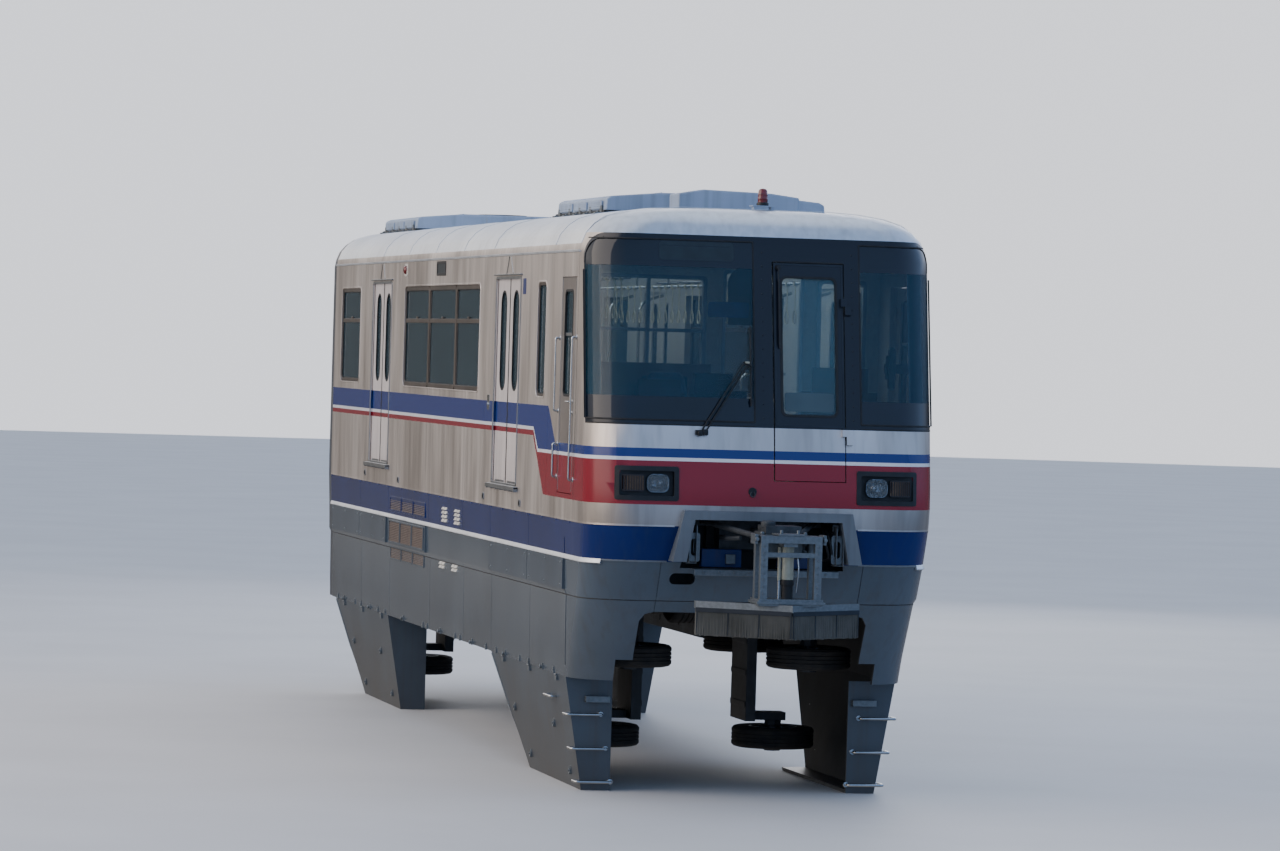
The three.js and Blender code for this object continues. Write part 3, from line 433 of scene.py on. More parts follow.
@dataclass
class Painter:
    """Makes each finish's node material once and hands it out again."""

    made: dict[str, bpy.types.Material] = field(default_factory=dict)
    tree: Any = None

    def add(self, kind: str, inputs: Mapping[Any, Any] | None = None, out: int = 0, **settings: Any) -> Any:
        """Add a node with its settings and links.

        Args:
            kind: Blender's name for the node.
            inputs: Value or socket for each input, by name or place.
            out: Place of the output to hand back.
            settings: Attributes to set on the node first.

        Returns:
            The chosen output socket, or the node where it has none.
        """
        node = self.tree.nodes.new(kind)
        for key, value in settings.items():
            setattr(node, key, value)
        for key, value in (inputs or {}).items():
            if isinstance(value, bpy.types.NodeSocket):
                self.tree.links.new(value, node.inputs[key])
            else:
                node.inputs[key].default_value = value
        return node.outputs[out] if len(node.outputs) else node

    def pattern(self, place: Any, size: Point, detail: float = 3.0) -> Any:
        """Lay out noise of a real size.

        Args:
            place: Socket of positions in metres.
            size: Length of the pattern along X, Y and Z in millimetres.
            detail: Number of finer layers.

        Returns:
            Socket of values from 0 to 1.
        """
        scaled = self.add("ShaderNodeMapping", {0: place, 3: tuple(1000 / s for s in size)})
        return self.add("ShaderNodeTexNoise", {0: scaled, "Scale": 1.0, "Detail": detail})

    def below(self, stripe: Stripe, y: Any, z: Any) -> Any:
        """Mark what lies below one edge of the livery.

        Args:
            stripe: The colour whose upper edge is meant.
            y: Socket of the distance behind the front face.
            z: Socket of the height.

        Returns:
            Socket that is 1 below the edge and 0 above it.
        """
        along = self.add("ShaderNodeMapRange", {0: y, 1: FILM_SPAN[0], 2: FILM_SPAN[1]})
        curve = self.add("ShaderNodeFloatCurve", {"Factor": 1.0, "Value": along})
        mapping = curve.node.mapping
        points = mapping.curves[0].points
        width, height = FILM_SPAN[1] - FILM_SPAN[0], FILM_BASE[1] - FILM_BASE[0]
        flat = [((at - FILM_SPAN[0]) / width, (up - FILM_BASE[0]) / height) for at, up in stripe.edge]
        points[0].location, points[-1].location = flat[0], flat[-1]
        for spot in flat[1:-1]:
            points.new(*spot)
        for point in points:
            point.handle_type = "VECTOR"
        mapping.update()
        edge = self.add("ShaderNodeMapRange", {0: curve, 3: FILM_BASE[0], 4: FILM_BASE[1]})
        return self.add("ShaderNodeMath", {0: z, 1: edge}, operation="LESS_THAN")

    def mask(self, y: Any, z: Any) -> Any:
        """Mark the dark mask round the screens by its place on the leaning front.

        Args:
            y: Socket of the distance behind the front face.
            z: Socket of the height.

        Returns:
            Socket that is 1 inside the mask.
        """
        back, high, half_back, half_high = MASK_ARC
        lean = self.add("ShaderNodeMapRange", {0: z, 1: 3.12, 2: 4.71, 3: 0.07, 4: 0.3667})
        setback = self.add("ShaderNodeMath", {0: y, 1: lean}, operation="SUBTRACT")
        squares = []
        for value, middle, half in ((setback, back, half_back), (z, high, half_high)):
            away = self.add("ShaderNodeMath", {0: value, 1: middle}, operation="SUBTRACT")
            past = self.add("ShaderNodeMath", {0: away, 1: 0.0}, operation="MAXIMUM")
            share = self.add("ShaderNodeMath", {0: past, 1: half}, operation="DIVIDE")
            squares.append(self.add("ShaderNodeMath", {0: share, 1: 2.0}, operation="POWER"))
        total = self.add("ShaderNodeMath", {0: squares[0], 1: squares[1]}, operation="ADD")
        inside = self.add("ShaderNodeMath", {0: total, 1: 1.0}, operation="LESS_THAN")
        above = self.add("ShaderNodeMath", {0: z, 1: MASK_FOOT}, operation="GREATER_THAN")
        return self.add("ShaderNodeMath", {0: inside, 1: above}, operation="MULTIPLY")

    def livery(self, finish: Finish, place: Any, colour: Any, rough: Any) -> tuple[Any, Any, Any]:
        """Lay the striped film, and the mask where the zone has it, over a base colour.

        Args:
            finish: The finish below.
            place: Socket of positions in metres, from the front face.
            colour: Socket of the base colour.
            rough: Socket of the base roughness.

        Returns:
            Sockets of colour, metallic and roughness.
        """
        axes = self.add("ShaderNodeSeparateXYZ", {0: place})
        y, z = axes.node.outputs[1], axes.node.outputs[2]
        masks = [self.below(stripe, y, z) for stripe in STRIPES]
        bare = colour
        for stripe, mask in zip(STRIPES, masks):
            tone = linear(stripe.tone) if stripe.tone else bare
            colour = self.add("ShaderNodeMix", {0: mask, 6: colour, 7: tone}, out=2, data_type="RGBA")
        film = self.add("ShaderNodeMath", {0: masks[0], 1: masks[-1]}, operation="SUBTRACT")
        if finish.zone is Zone.BODY:
            dark = self.mask(y, z)
            tone = linear(MASK_TONE)
            colour = self.add("ShaderNodeMix", {0: dark, 6: colour, 7: tone}, out=2, data_type="RGBA")
            film = self.add("ShaderNodeMath", {0: film, 1: dark}, operation="MAXIMUM")
        metal = self.add("ShaderNodeMapRange", {0: film, 3: finish.metallic, 4: 0.0})
        rough = self.add("ShaderNodeMix", {0: film, 2: rough, 3: FILM_ROUGHNESS})
        return colour, metal, rough

    def material(self, finish: Finish) -> bpy.types.Material:
        """Make, or find, the node material of a finish.

        Args:
            finish: The finish to make.

        Returns:
            Its material.
        """
        if finish.name in self.made:
            return self.made[finish.name]
        made = bpy.data.materials.new(finish.name)
        made.use_nodes = True
        self.tree = made.node_tree
        self.tree.nodes.clear()
        here = self.add("ShaderNodeTexCoord", out=3)
        place = self.add("ShaderNodeMapping", {0: here, 1: (0.0, CENTRE, 0.0)})
        grain = self.pattern(place, finish.grain)
        # On stainless this mottle, stretched upwards, paints light and dark reflection columns; elsewhere it
        # is random tone.
        mottle = self.pattern(place, (finish.mottle, finish.mottle, finish.mottle * finish.tall), 4.0)
        tone_patches_and_painted_sheen = self.add("ShaderNodeMapRange", {0: mottle, 1: 0.35, 2: 0.65})
        tones = {0: tone_patches_and_painted_sheen, 6: linear(finish.tone), 7: linear(finish.shade)}
        colour = self.add("ShaderNodeMix", tones, out=2, data_type="RGBA")
        flecks = self.add("ShaderNodeMapRange", {0: grain, 1: 0.3, 2: 0.7, 3: 0.94, 4: 1.06})
        colour = self.add("ShaderNodeVectorMath", {0: colour, 1: flecks}, operation="MULTIPLY")
        if finish.streaks:
            runs = self.pattern(place, (70.0, 70.0, 1900.0), 2.0)
            share = self.add("ShaderNodeMapRange", {0: runs, 1: 0.48, 2: 0.8, 3: 0.0, 4: finish.streaks})
            soiled = {0: share, 6: colour, 7: linear(finish.soot)}
            colour = self.add("ShaderNodeMix", soiled, out=2, data_type="RGBA")
        if finish.grime:
            height = self.add("ShaderNodeSeparateXYZ", {0: place}).node.outputs[2]
            low = self.add("ShaderNodeMapRange", {0: height, 1: 0.0, 2: finish.grime_top, 3: 1.0, 4: 0.0})
            dust = self.add("ShaderNodeMath", {0: low, 1: mottle}, operation="MULTIPLY")
            share = self.add("ShaderNodeMath", {0: dust, 1: 2 * finish.grime}, operation="MULTIPLY")
            soiled = {0: share, 6: colour, 7: linear(finish.soot)}
            colour = self.add("ShaderNodeMix", soiled, out=2, data_type="RGBA")
        low, high = finish.roughness - finish.spread / 2, finish.roughness + finish.spread / 2
        rough = self.add("ShaderNodeMapRange", {0: grain, 1: 0.3, 2: 0.7, 3: max(low, 0.02), 4: high})
        metal: Any = finish.metallic
        if finish.zone is not Zone.NONE:
            colour, metal, rough = self.livery(finish, place, colour, rough)
        sockets = {"Base Color": colour, "Metallic": metal, "Roughness": rough}
        if finish.metallic < 1:
            sockets["IOR"] = finish.ior
        if finish.relief:
            depth = {"Strength": 1.0, "Distance": finish.relief / 1000, "Height": grain}
            sockets["Normal"] = self.add("ShaderNodeBump", depth)
        if finish.wave:
            swell = self.pattern(place, finish.wave_size, 1.0)
            depth = {"Strength": 1.0, "Distance": finish.wave / 1000, "Height": swell}
            if "Normal" in sockets:
                depth["Normal"] = sockets["Normal"]
            sockets["Normal"] = self.add("ShaderNodeBump", depth)
        sockets["Coat Weight"] = finish.coat
        sockets["Sheen Weight"] = finish.sheen
        sockets["Anisotropic"] = finish.anisotropy
        if finish.opacity < 1:
            edge = self.add("ShaderNodeFresnel", {"IOR": finish.ior})
            opaque = {0: edge, 1: 0.0, 2: 1.0, 3: finish.opacity, 4: 1.0}
            sockets["Alpha"] = self.add("ShaderNodeMapRange", opaque)
        if finish.glow:
            sockets["Emission Color"] = linear(finish.tone)
            sockets["Emission Strength"] = finish.glow
        shader = self.add("ShaderNodeBsdfPrincipled", sockets)
        self.add("ShaderNodeOutputMaterial", {0: shader})
        self.made[finish.name] = made
        return made


PAINTER = Painter()


# Meshes


def arc(centre: Pair, radius: float, start: float, end: float, steps: int) -> list[Pair]:
    """List points of a flat arc.

    Args:
        centre: Middle of the circle.
        radius: Its radius.
        start: First angle in degrees, counted from the first axis to the second.
        end: Last angle in degrees.
        steps: Number of chords.

    Returns:
        The points, both ends included.
    """
    angles = [math.radians(start + (end - start) * step / steps) for step in range(steps + 1)]
    return [(centre[0] + radius * math.cos(a), centre[1] + radius * math.sin(a)) for a in angles]


def oblong(a: Pair, b: Pair, radius: float, steps: int = 5) -> list[Pair]:
    """Outline of a rectangle with rounded corners.

    Args:
        a: Lowest and highest first coordinate.
        b: Lowest and highest second coordinate.
        radius: Corner radius.
        steps: Chords to each corner.

    Returns:
        The outline, anticlockwise.
    """
    corners = ((a[1], b[0], -90), (a[1], b[1], 0), (a[0], b[1], 90), (a[0], b[0], 180))
    outline: list[Pair] = []
    for x, y, start in corners:
        middle = (x - math.copysign(radius, x - sum(a) / 2), y - math.copysign(radius, y - sum(b) / 2))
        outline += arc(middle, radius, start, start + 90, steps)
    return outline


def plan(z: float, proud: float = 0.0, gap: float = 0.0, rear: float = REAR, steps: int = 10) -> list[Pair]:
    """Outline of the right half of the body seen from above.

    Args:
        z: Height of the section.
        proud: Distance outside the skin.
        gap: Half width that is left out in the middle of the front.
        rear: Where the outline ends along Y.
        steps: Chords round the corner.

    Returns:
        Points from the front's middle, round the corner, to the rear.
    """
    half, front = level(z, 1) + proud, level(z, 2) - proud
    radius = CORNER + proud
    bend = arc((radius - half, front + radius), radius, 270, 180, steps)
    return [(-gap, front)] + bend + ([(-half, rear)] if rear > bend[-1][1] else [])


def corner(angle: float, z: float, side: Side, proud: float = 0.0) -> Point:
    """Find a point of the skin round a front corner.

    Args:
        angle: Degrees round the corner, 0 at the front and 90 at the side.
        z: Height.
        side: Side of the car.
        proud: Distance outside the skin.

    Returns:
        The point.
    """
    reach, turned = CORNER + proud, math.radians(angle)
    across = level(z, 1) - CORNER + reach * math.sin(turned)
    return (side.value * across, level(z, 2) + CORNER - reach * math.cos(turned), z)


def inset(span: Pair, by: float) -> Pair:
    """Shorten a span at both ends, or lengthen it where the value is negative."""
    return (span[0] + by, span[1] - by)


def between(value: float, span: Pair) -> bool:
    """Tell whether a value lies inside a span."""
    return span[0] < value < span[1]


def on_front(x: float, z: float, proud: float = 0.0) -> Point:
    """Find a point at a distance before the front skin."""
    return (x, face(x, z) - proud, z)


def bent(path: Sequence[Point], radius: float, steps: int = 5) -> list[Vector]:
    """Round the corners of a path.

    Args:
        path: Corner points.
        radius: Radius of each bend.
        steps: Chords to each bend.

    Returns:
        The rounded path.
    """
    spots = [Vector(p) for p in path]
    out = [spots[0]]
    for before, corner, after in zip(spots, spots[1:], spots[2:]):
        back, ahead = (before - corner), (after - corner)
        reach = min(radius, back.length * 0.45, ahead.length * 0.45)
        start, end = corner + back.normalized() * reach, corner + ahead.normalized() * reach
        for step in range(steps + 1):
            t = step / steps
            out.append(start * (1 - t) ** 2 + corner * 2 * t * (1 - t) + end * t**2)
    return out + [spots[-1]]


def whole(form: Any) -> list[Any]:
    """List every vertex, edge and face of a mesh in the making."""
    return form.verts[:] + form.edges[:] + form.faces[:]


@dataclass
class Blank:
    """A mesh in the making, in one or more finishes."""

    name: str
    finishes: list[Finish] = field(default_factory=list)
    form: Any = field(default_factory=bmesh.new)
    index: int = 0

    def use(self, finish: Finish) -> "Blank":
        """Give the faces that follow this finish.

        Args:
            finish: Their finish.

        Returns:
            This blank.
        """
        if finish not in self.finishes:
            self.finishes.append(finish)
        self.index = self.finishes.index(finish)
        return self

    def faces(self, points: Iterable[Sequence[float]], loops: Iterable[Sequence[int]]) -> "Blank":
        """Add faces over new points.

        Args:
            points: Corner points.
            loops: Point numbers of each face.

        Returns:
            This blank.
        """
        spots = [self.form.verts.new(p) for p in points]
        for loop in loops:
            self.form.faces.new([spots[i] for i in loop]).material_index = self.index
        return self

    def loft(self, rings: Sequence[Sequence[Sequence[float]]], closed: bool = False) -> "Blank":
        """Join rings of points one after the other.

        Args:
            rings: Rings with the same number of points.
            closed: Whether the last ring joins the first, with no caps.

        Returns:
            This blank.
        """
        count, total = len(rings[0]), len(rings)
        pairs = [(place, (place + 1) % total) for place in range(total if closed else total - 1)]
        loops = [
            [low * count + i, low * count + (i + 1) % count, high * count + (i + 1) % count, high * count + i]
            for low, high in pairs
            for i in range(count)
        ]
        if not closed:
            last = (total - 1) * count
            loops += [list(range(count))[::-1], list(range(last, last + count))]
        return self.faces([p for ring in rings for p in ring], loops)

    def prism(self, outline: Sequence[Pair], axis: Axis, span: Pair) -> "Blank":
        """Push a flat outline along an axis.

        Args:
            outline: Points in the two other axes.
            axis: Direction of the push.
            span: Start and end along it.

        Returns:
            This blank.
        """
        return self.loft([[axis.lift(a, b, along) for a, b in outline] for along in span])

    def border(self, outer: Sequence[Pair], inner: Sequence[Pair], axis: Axis, span: Pair) -> "Blank":
        """Push a flat ring along an axis.

        Args:
            outer: Outer outline in the two other axes.
            inner: Inner outline, with as many points.
            axis: Direction of the push.
            span: Start and end along it.

        Returns:
            This blank.
        """
        runs = ((outer, span[0]), (outer, span[1]), (inner, span[1]), (inner, span[0]))
        return self.loft([[axis.lift(a, b, along) for a, b in run] for run, along in runs], closed=True)

    def block(self, x: Pair, y: Pair, z: Pair) -> "Blank":
        """Add a box between pairs of coordinates."""
        return self.prism([(x[0], y[0]), (x[1], y[0]), (x[1], y[1]), (x[0], y[1])], Axis.Z, z)

    def turned(self, profile: Sequence[Pair], centre: Point, axis: Axis, sides: int = 32) -> "Blank":
        """Turn a profile about an axis.

        Args:
            profile: Radius and place along the axis of each point.
            centre: Where the axis passes.
            axis: Its direction.
            sides: Number of sides.

        Returns:
            This blank.
        """
        flat = [c for place, c in enumerate(centre) if place != axis.value]
        points: list[Point] = []
        rings: list[list[int]] = []
        for radius, along in profile:
            ring = []
            for side in range(sides if radius > 1e-6 else 1):
                angle = math.tau * side / sides
                a, b = flat[0] + radius * math.cos(angle), flat[1] + radius * math.sin(angle)
                ring.append(len(points))
                points.append(axis.lift(a, b, centre[axis.value] + along))
            rings.append(ring if len(ring) > 1 else ring * sides)
        loops = []
        for low, high in zip(rings, rings[1:]):
            for side in range(sides):
                after = (side + 1) % sides
                loop = [low[side], low[after], high[after], high[side]]
                loops.append(list(dict.fromkeys(loop)))
        for ring in (rings[0], rings[-1]):
            if len(set(ring)) > 1 and profile[0] != profile[-1]:
                loops.append(ring)
        return self.faces(points, loops)

    def pipe(self, path: Sequence[Any], radius: float, sides: int = 8) -> "Blank":
        """Lay a round bar along a path.

        Args:
            path: Points of its centre line.
            radius: Its radius.
            sides: Number of sides.

        Returns:
            This blank.
        """
        spots = [Vector(p) for p in path]
        heads = [(b - a).normalized() for a, b in zip(spots, spots[1:])]
        across = heads[0].orthogonal().normalized()
        rings: list[list[Vector]] = []
        for place, spot in enumerate(spots):
            ahead = heads[min(place, len(heads) - 1)]
            behind = heads[max(place - 1, 0)]
            along = (ahead + behind).normalized()
            across = (across - along * across.dot(along)).normalized()
            other = along.cross(across)
            angles = [math.tau * side / sides for side in range(sides)]
            rings.append([spot + radius * (across * math.cos(a) + other * math.sin(a)) for a in angles])
        return self.loft(rings)

    def belt(self, path: Sequence[Pair], section: Sequence[Pair]) -> "Blank":
        """Sweep a small section along a level path, closed at both ends.

        Args:
            path: Points in X and Y.
            section: Distance outwards, to the left of the path's run, and height of each corner.

        Returns:
            This blank.
        """
        spots = [Vector((*p, 0.0)) for p in path]
        rings: list[list[Vector]] = []
        for place, spot in enumerate(spots):
            heads = []
            if place:
                heads.append((spot - spots[place - 1]).normalized())
            if place < len(spots) - 1:
                heads.append((spots[place + 1] - spot).normalized())
            along = sum(heads, Vector()).normalized()
            out = Vector((-along.y, along.x, 0.0)) / max(along.dot(heads[0]), 0.5)
            rings.append([spot + out * reach + Vector((0.0, 0.0, height)) for reach, height in section])
        return self.loft(rings)

    def absorb(self, other: "Blank") -> "Blank":
        """Take over another blank's faces in the present finish.

        Args:
            other: The blank, which is used up.

        Returns:
            This blank.
        """
        spots = {v: self.form.verts.new(v.co) for v in other.form.verts[:]}
        for polygon in other.form.faces:
            self.form.faces.new([spots[v] for v in polygon.verts]).material_index = self.index
        other.form.free()
        return self

    def twin(self) -> "Blank":
        """Repeat everything so far on the other side of the car.

        Returns:
            This blank.
        """
        found = bmesh.ops.duplicate(self.form, geom=whole(self.form))
        verts = [g for g in found["geom"] if isinstance(g, bmesh.types.BMVert)]
        faces = [g for g in found["geom"] if isinstance(g, bmesh.types.BMFace)]
        bmesh.ops.scale(self.form, vec=(-1.0, 1.0, 1.0), verts=verts)
        bmesh.ops.reverse_faces(self.form, faces=faces)
        return self

    def turn(self, angle: float, axis: Axis, centre: Point) -> "Blank":
        """Turn everything so far about a line.

        Args:
            angle: Angle in degrees.
            axis: Direction of the line.
            centre: A point of the line.

        Returns:
            This blank.
        """
        spin = Matrix.Rotation(math.radians(angle), 3, axis.name)
        bmesh.ops.rotate(self.form, cent=centre, matrix=spin, verts=self.form.verts)
        return self

    def wrap(self, step: float = 0.06) -> "Blank":
        """Lay everything so far on the front skin, its Y counted from the skin.

        Args:
            step: Longest edge across the car that is left undivided.

        Returns:
            This blank.
        """
        cuts = bmesh.ops.bisect_plane
        low = min(v.co.x for v in self.form.verts)
        high = max(v.co.x for v in self.form.verts)
        at = math.ceil(low / step) * step
        while at < high:
            cuts(self.form, geom=whole(self.form), plane_co=(at, 0, 0), plane_no=(1, 0, 0))
            at += step
        for vert in self.form.verts:
            vert.co.y += face(vert.co.x, vert.co.z)
        return self

    def place(self, body: str = CAR_BODY, replaces: Sequence[str] = (), bevel: float = 0.0,
              sharp: float = 35.0) -> bpy.types.Object:
        """Turn the blank into a piece that rides on a body.

        Args:
            body: CAD body that carries it.
            replaces: CAD nodes that it stands for.
            bevel: Width of its broken edges.
            sharp: Angle in degrees above which an edge stays sharp.

        Returns:
            The new object.
        """
        bmesh.ops.recalc_face_normals(self.form, faces=self.form.faces)
        bmesh.ops.translate(self.form, vec=(0.0, -CENTRE, 0.0), verts=self.form.verts)
        mesh = bpy.data.meshes.new(self.name)
        self.form.to_mesh(mesh)
        self.form.free()
        for finish in self.finishes:
            mesh.materials.append(PAINTER.material(finish))
        return settle(mesh, self.name, body, replaces, bevel, sharp)


def settle(mesh: bpy.types.Mesh, name: str, body: str, replaces: Sequence[str] = (),
           bevel: float = 0.0, sharp: float = 35.0) -> bpy.types.Object:
    """Make a finished mesh a piece of the car.

    Args:
        mesh: The mesh, in the row frame.
        name: Name of the piece.
        body: CAD body that carries it.
        replaces: CAD nodes that it stands for.
        bevel: Width of its broken edges.
        sharp: Angle in degrees above which an edge stays sharp.

    Returns:
        The new object.
    """
    mesh.shade_smooth()
    mesh.set_sharp_from_angle(angle=math.radians(sharp))
    piece = bpy.data.objects.new(name, mesh)
    bpy.context.scene.collection.objects.link(piece)
    if bevel:
        edge = piece.modifiers.new("broken_edges", "BEVEL")
        edge.width = bevel
        edge.segments = 2
        edge.limit_method = "ANGLE"
        edge.angle_limit = math.radians(40)
        edge.use_clamp_overlap = True
    normals = piece.modifiers.new("flat_faces", "WEIGHTED_NORMAL")
    normals.keep_sharp = True
    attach(piece, body)
    if replaces:
        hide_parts(*replaces)
    LOG.info("%s: %d faces on %s", name, len(mesh.polygons), body)
    return piece


def inflate(piece: bpy.types.Object, cap: float = 0.012, voxel: float = 0.006, pressure: float = 4.0) -> None:
    """Swell a cushion with a short cloth simulation.

    Args:
        piece: The cushion.
        cap: How far a point may move.
        voxel: Edge of the cloth's squares.
        pressure: Air pressure inside the cover.
    """
    piece.modifiers.clear()
    grid = piece.modifiers.new("cloth_squares", "REMESH")
    grid.mode = "VOXEL"
    grid.voxel_size = voxel
    grid.use_smooth_shade = True
    flat = bpy.data.meshes.new_from_object(piece.evaluated_get(bpy.context.evaluated_depsgraph_get()))
    piece.modifiers.clear()
    piece.data = flat
    cloth = piece.modifiers.new("air", "CLOTH")
    cloth.settings.use_pressure = True
    cloth.settings.uniform_pressure_force = pressure
    cloth.settings.effector_weights.gravity = 0.0
    for frame in range(1, 21):
        bpy.context.scene.frame_set(frame)
    full = bpy.data.meshes.new_from_object(piece.evaluated_get(bpy.context.evaluated_depsgraph_get()))
    piece.modifiers.clear()
    for point, rest in zip(full.vertices, flat.vertices):
        move = point.co - rest.co
        if move.length > cap:
            point.co = rest.co + move.normalized() * cap
    piece.data = full
    bpy.context.scene.frame_set(1)
    piece.modifiers.new("soft_cover", "SUBSURF").levels = 1


Rule = Callable[[Vector, Vector], Finish]
EdgeTest = Callable[[Vector, Vector], bool]


@dataclass
class Skin:
    """A shown copy of a CAD node, with clean shading, grooves and finishes by face."""

    node: str
    rule: Rule
    cutter: bpy.types.Object | None = None
    rounds: tuple[tuple[EdgeTest, float], ...] = ()
    slices: tuple[float, ...] = ()
    bevel: float = 0.0
    sharp: float = 32.0

    def place(self) -> bpy.types.Object:
        """Copy, clean, cut and dress the node.

        Returns:
            The piece that stands for it.
        """
        source = frame["nodes"][self.node]
        form = bmesh.new()
        form.from_mesh(source.data)
        bmesh.ops.remove_doubles(form, verts=form.verts, dist=1e-5)
        flat = math.radians(0.3)
        bmesh.ops.dissolve_limit(form, angle_limit=flat, verts=form.verts, edges=form.edges)
        shift = Vector((0.0, CENTRE, 0.0))
        for test, radius in self.rounds:
            edges = [e for e in form.edges if test(e.verts[0].co + shift, e.verts[1].co + shift)]
            if edges:
                bmesh.ops.bevel(form, geom=edges, offset=radius, segments=5, profile=0.5,
                                affect="EDGES", clamp_overlap=True)
        for height in self.slices:
            bmesh.ops.bisect_plane(form, geom=whole(form), plane_co=(0, 0, height), plane_no=(0, 0, 1))
        name = self.node + "_skin"
        mesh = bpy.data.meshes.new(name)
        form.to_mesh(mesh)
        form.free()
        for layer in [a for a in mesh.attributes if a.name == "custom_normal"]:
            mesh.attributes.remove(layer)
        if self.cutter:
            mesh = self.carved(mesh)
        mesh.materials.clear()
        finishes: list[Finish] = []
        for polygon in mesh.polygons:
            finish = self.rule(polygon.center + shift, polygon.normal)
            if finish not in finishes:
                finishes.append(finish)
                mesh.materials.append(PAINTER.material(finish))
            polygon.material_index = finishes.index(finish)
        return settle(mesh, name, source["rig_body"], (self.node,), self.bevel, self.sharp)

    def carved(self, mesh: bpy.types.Mesh) -> bpy.types.Mesh:
        """Cut the grooves into a mesh.

        Args:
            mesh: The plain mesh.

        Returns:
            A new mesh with the grooves.
        """
        blank = bpy.data.objects.new("blank", mesh)
        bpy.context.scene.collection.objects.link(blank)
        groove = blank.modifiers.new("grooves", "BOOLEAN")
        groove.object = self.cutter
        groove.operation = "DIFFERENCE"
        groove.solver = "EXACT"
        bpy.context.view_layer.update()
        graph = bpy.context.evaluated_depsgraph_get()
        cut = bpy.data.meshes.new_from_object(blank.evaluated_get(graph))
        bpy.data.objects.remove(blank)
        return cut


def knife(blank: Blank) -> bpy.types.Object:
    """Turn a blank into a cutter.

    Args:
        blank: The cutter's form, which is used up.

    Returns:
        The cutter, which the caller removes again.
    """
    bmesh.ops.recalc_face_normals(blank.form, faces=blank.form.faces)
    bmesh.ops.translate(blank.form, vec=(0.0, -CENTRE, 0.0), verts=blank.form.verts)
    mesh = bpy.data.meshes.new(blank.name)
    blank.form.to_mesh(mesh)
    blank.form.free()
    tool = bpy.data.objects.new(blank.name, mesh)
    bpy.context.scene.collection.objects.link(tool)
    return tool


def remove(tool: bpy.types.Object) -> None:
    """Take a cutter out of the scene."""
    bpy.data.objects.remove(tool)


# The car's sub-assemblies


def inward(centre: Vector, normal: Vector) -> bool:
    """Tell whether a face of a shell looks into the car.

    Args:
        centre: Middle of the face.
        normal: Direction of the face.

    Returns:
        True for a face of the inside.
    """
    half = level(min(max(centre.z, LEVELS[0][0]), 4.9), 1)
    inside_side = abs(centre.x) < half - 0.03 and normal.x * centre.x < -0.2 * abs(centre.x)
    inside_front = centre.y < 1.2 and normal.y > 0.3 and abs(centre.x) < half - 0.02
    inside_top = normal.z < -0.3 and centre.z > 4.4
    return inside_side or inside_front or inside_top


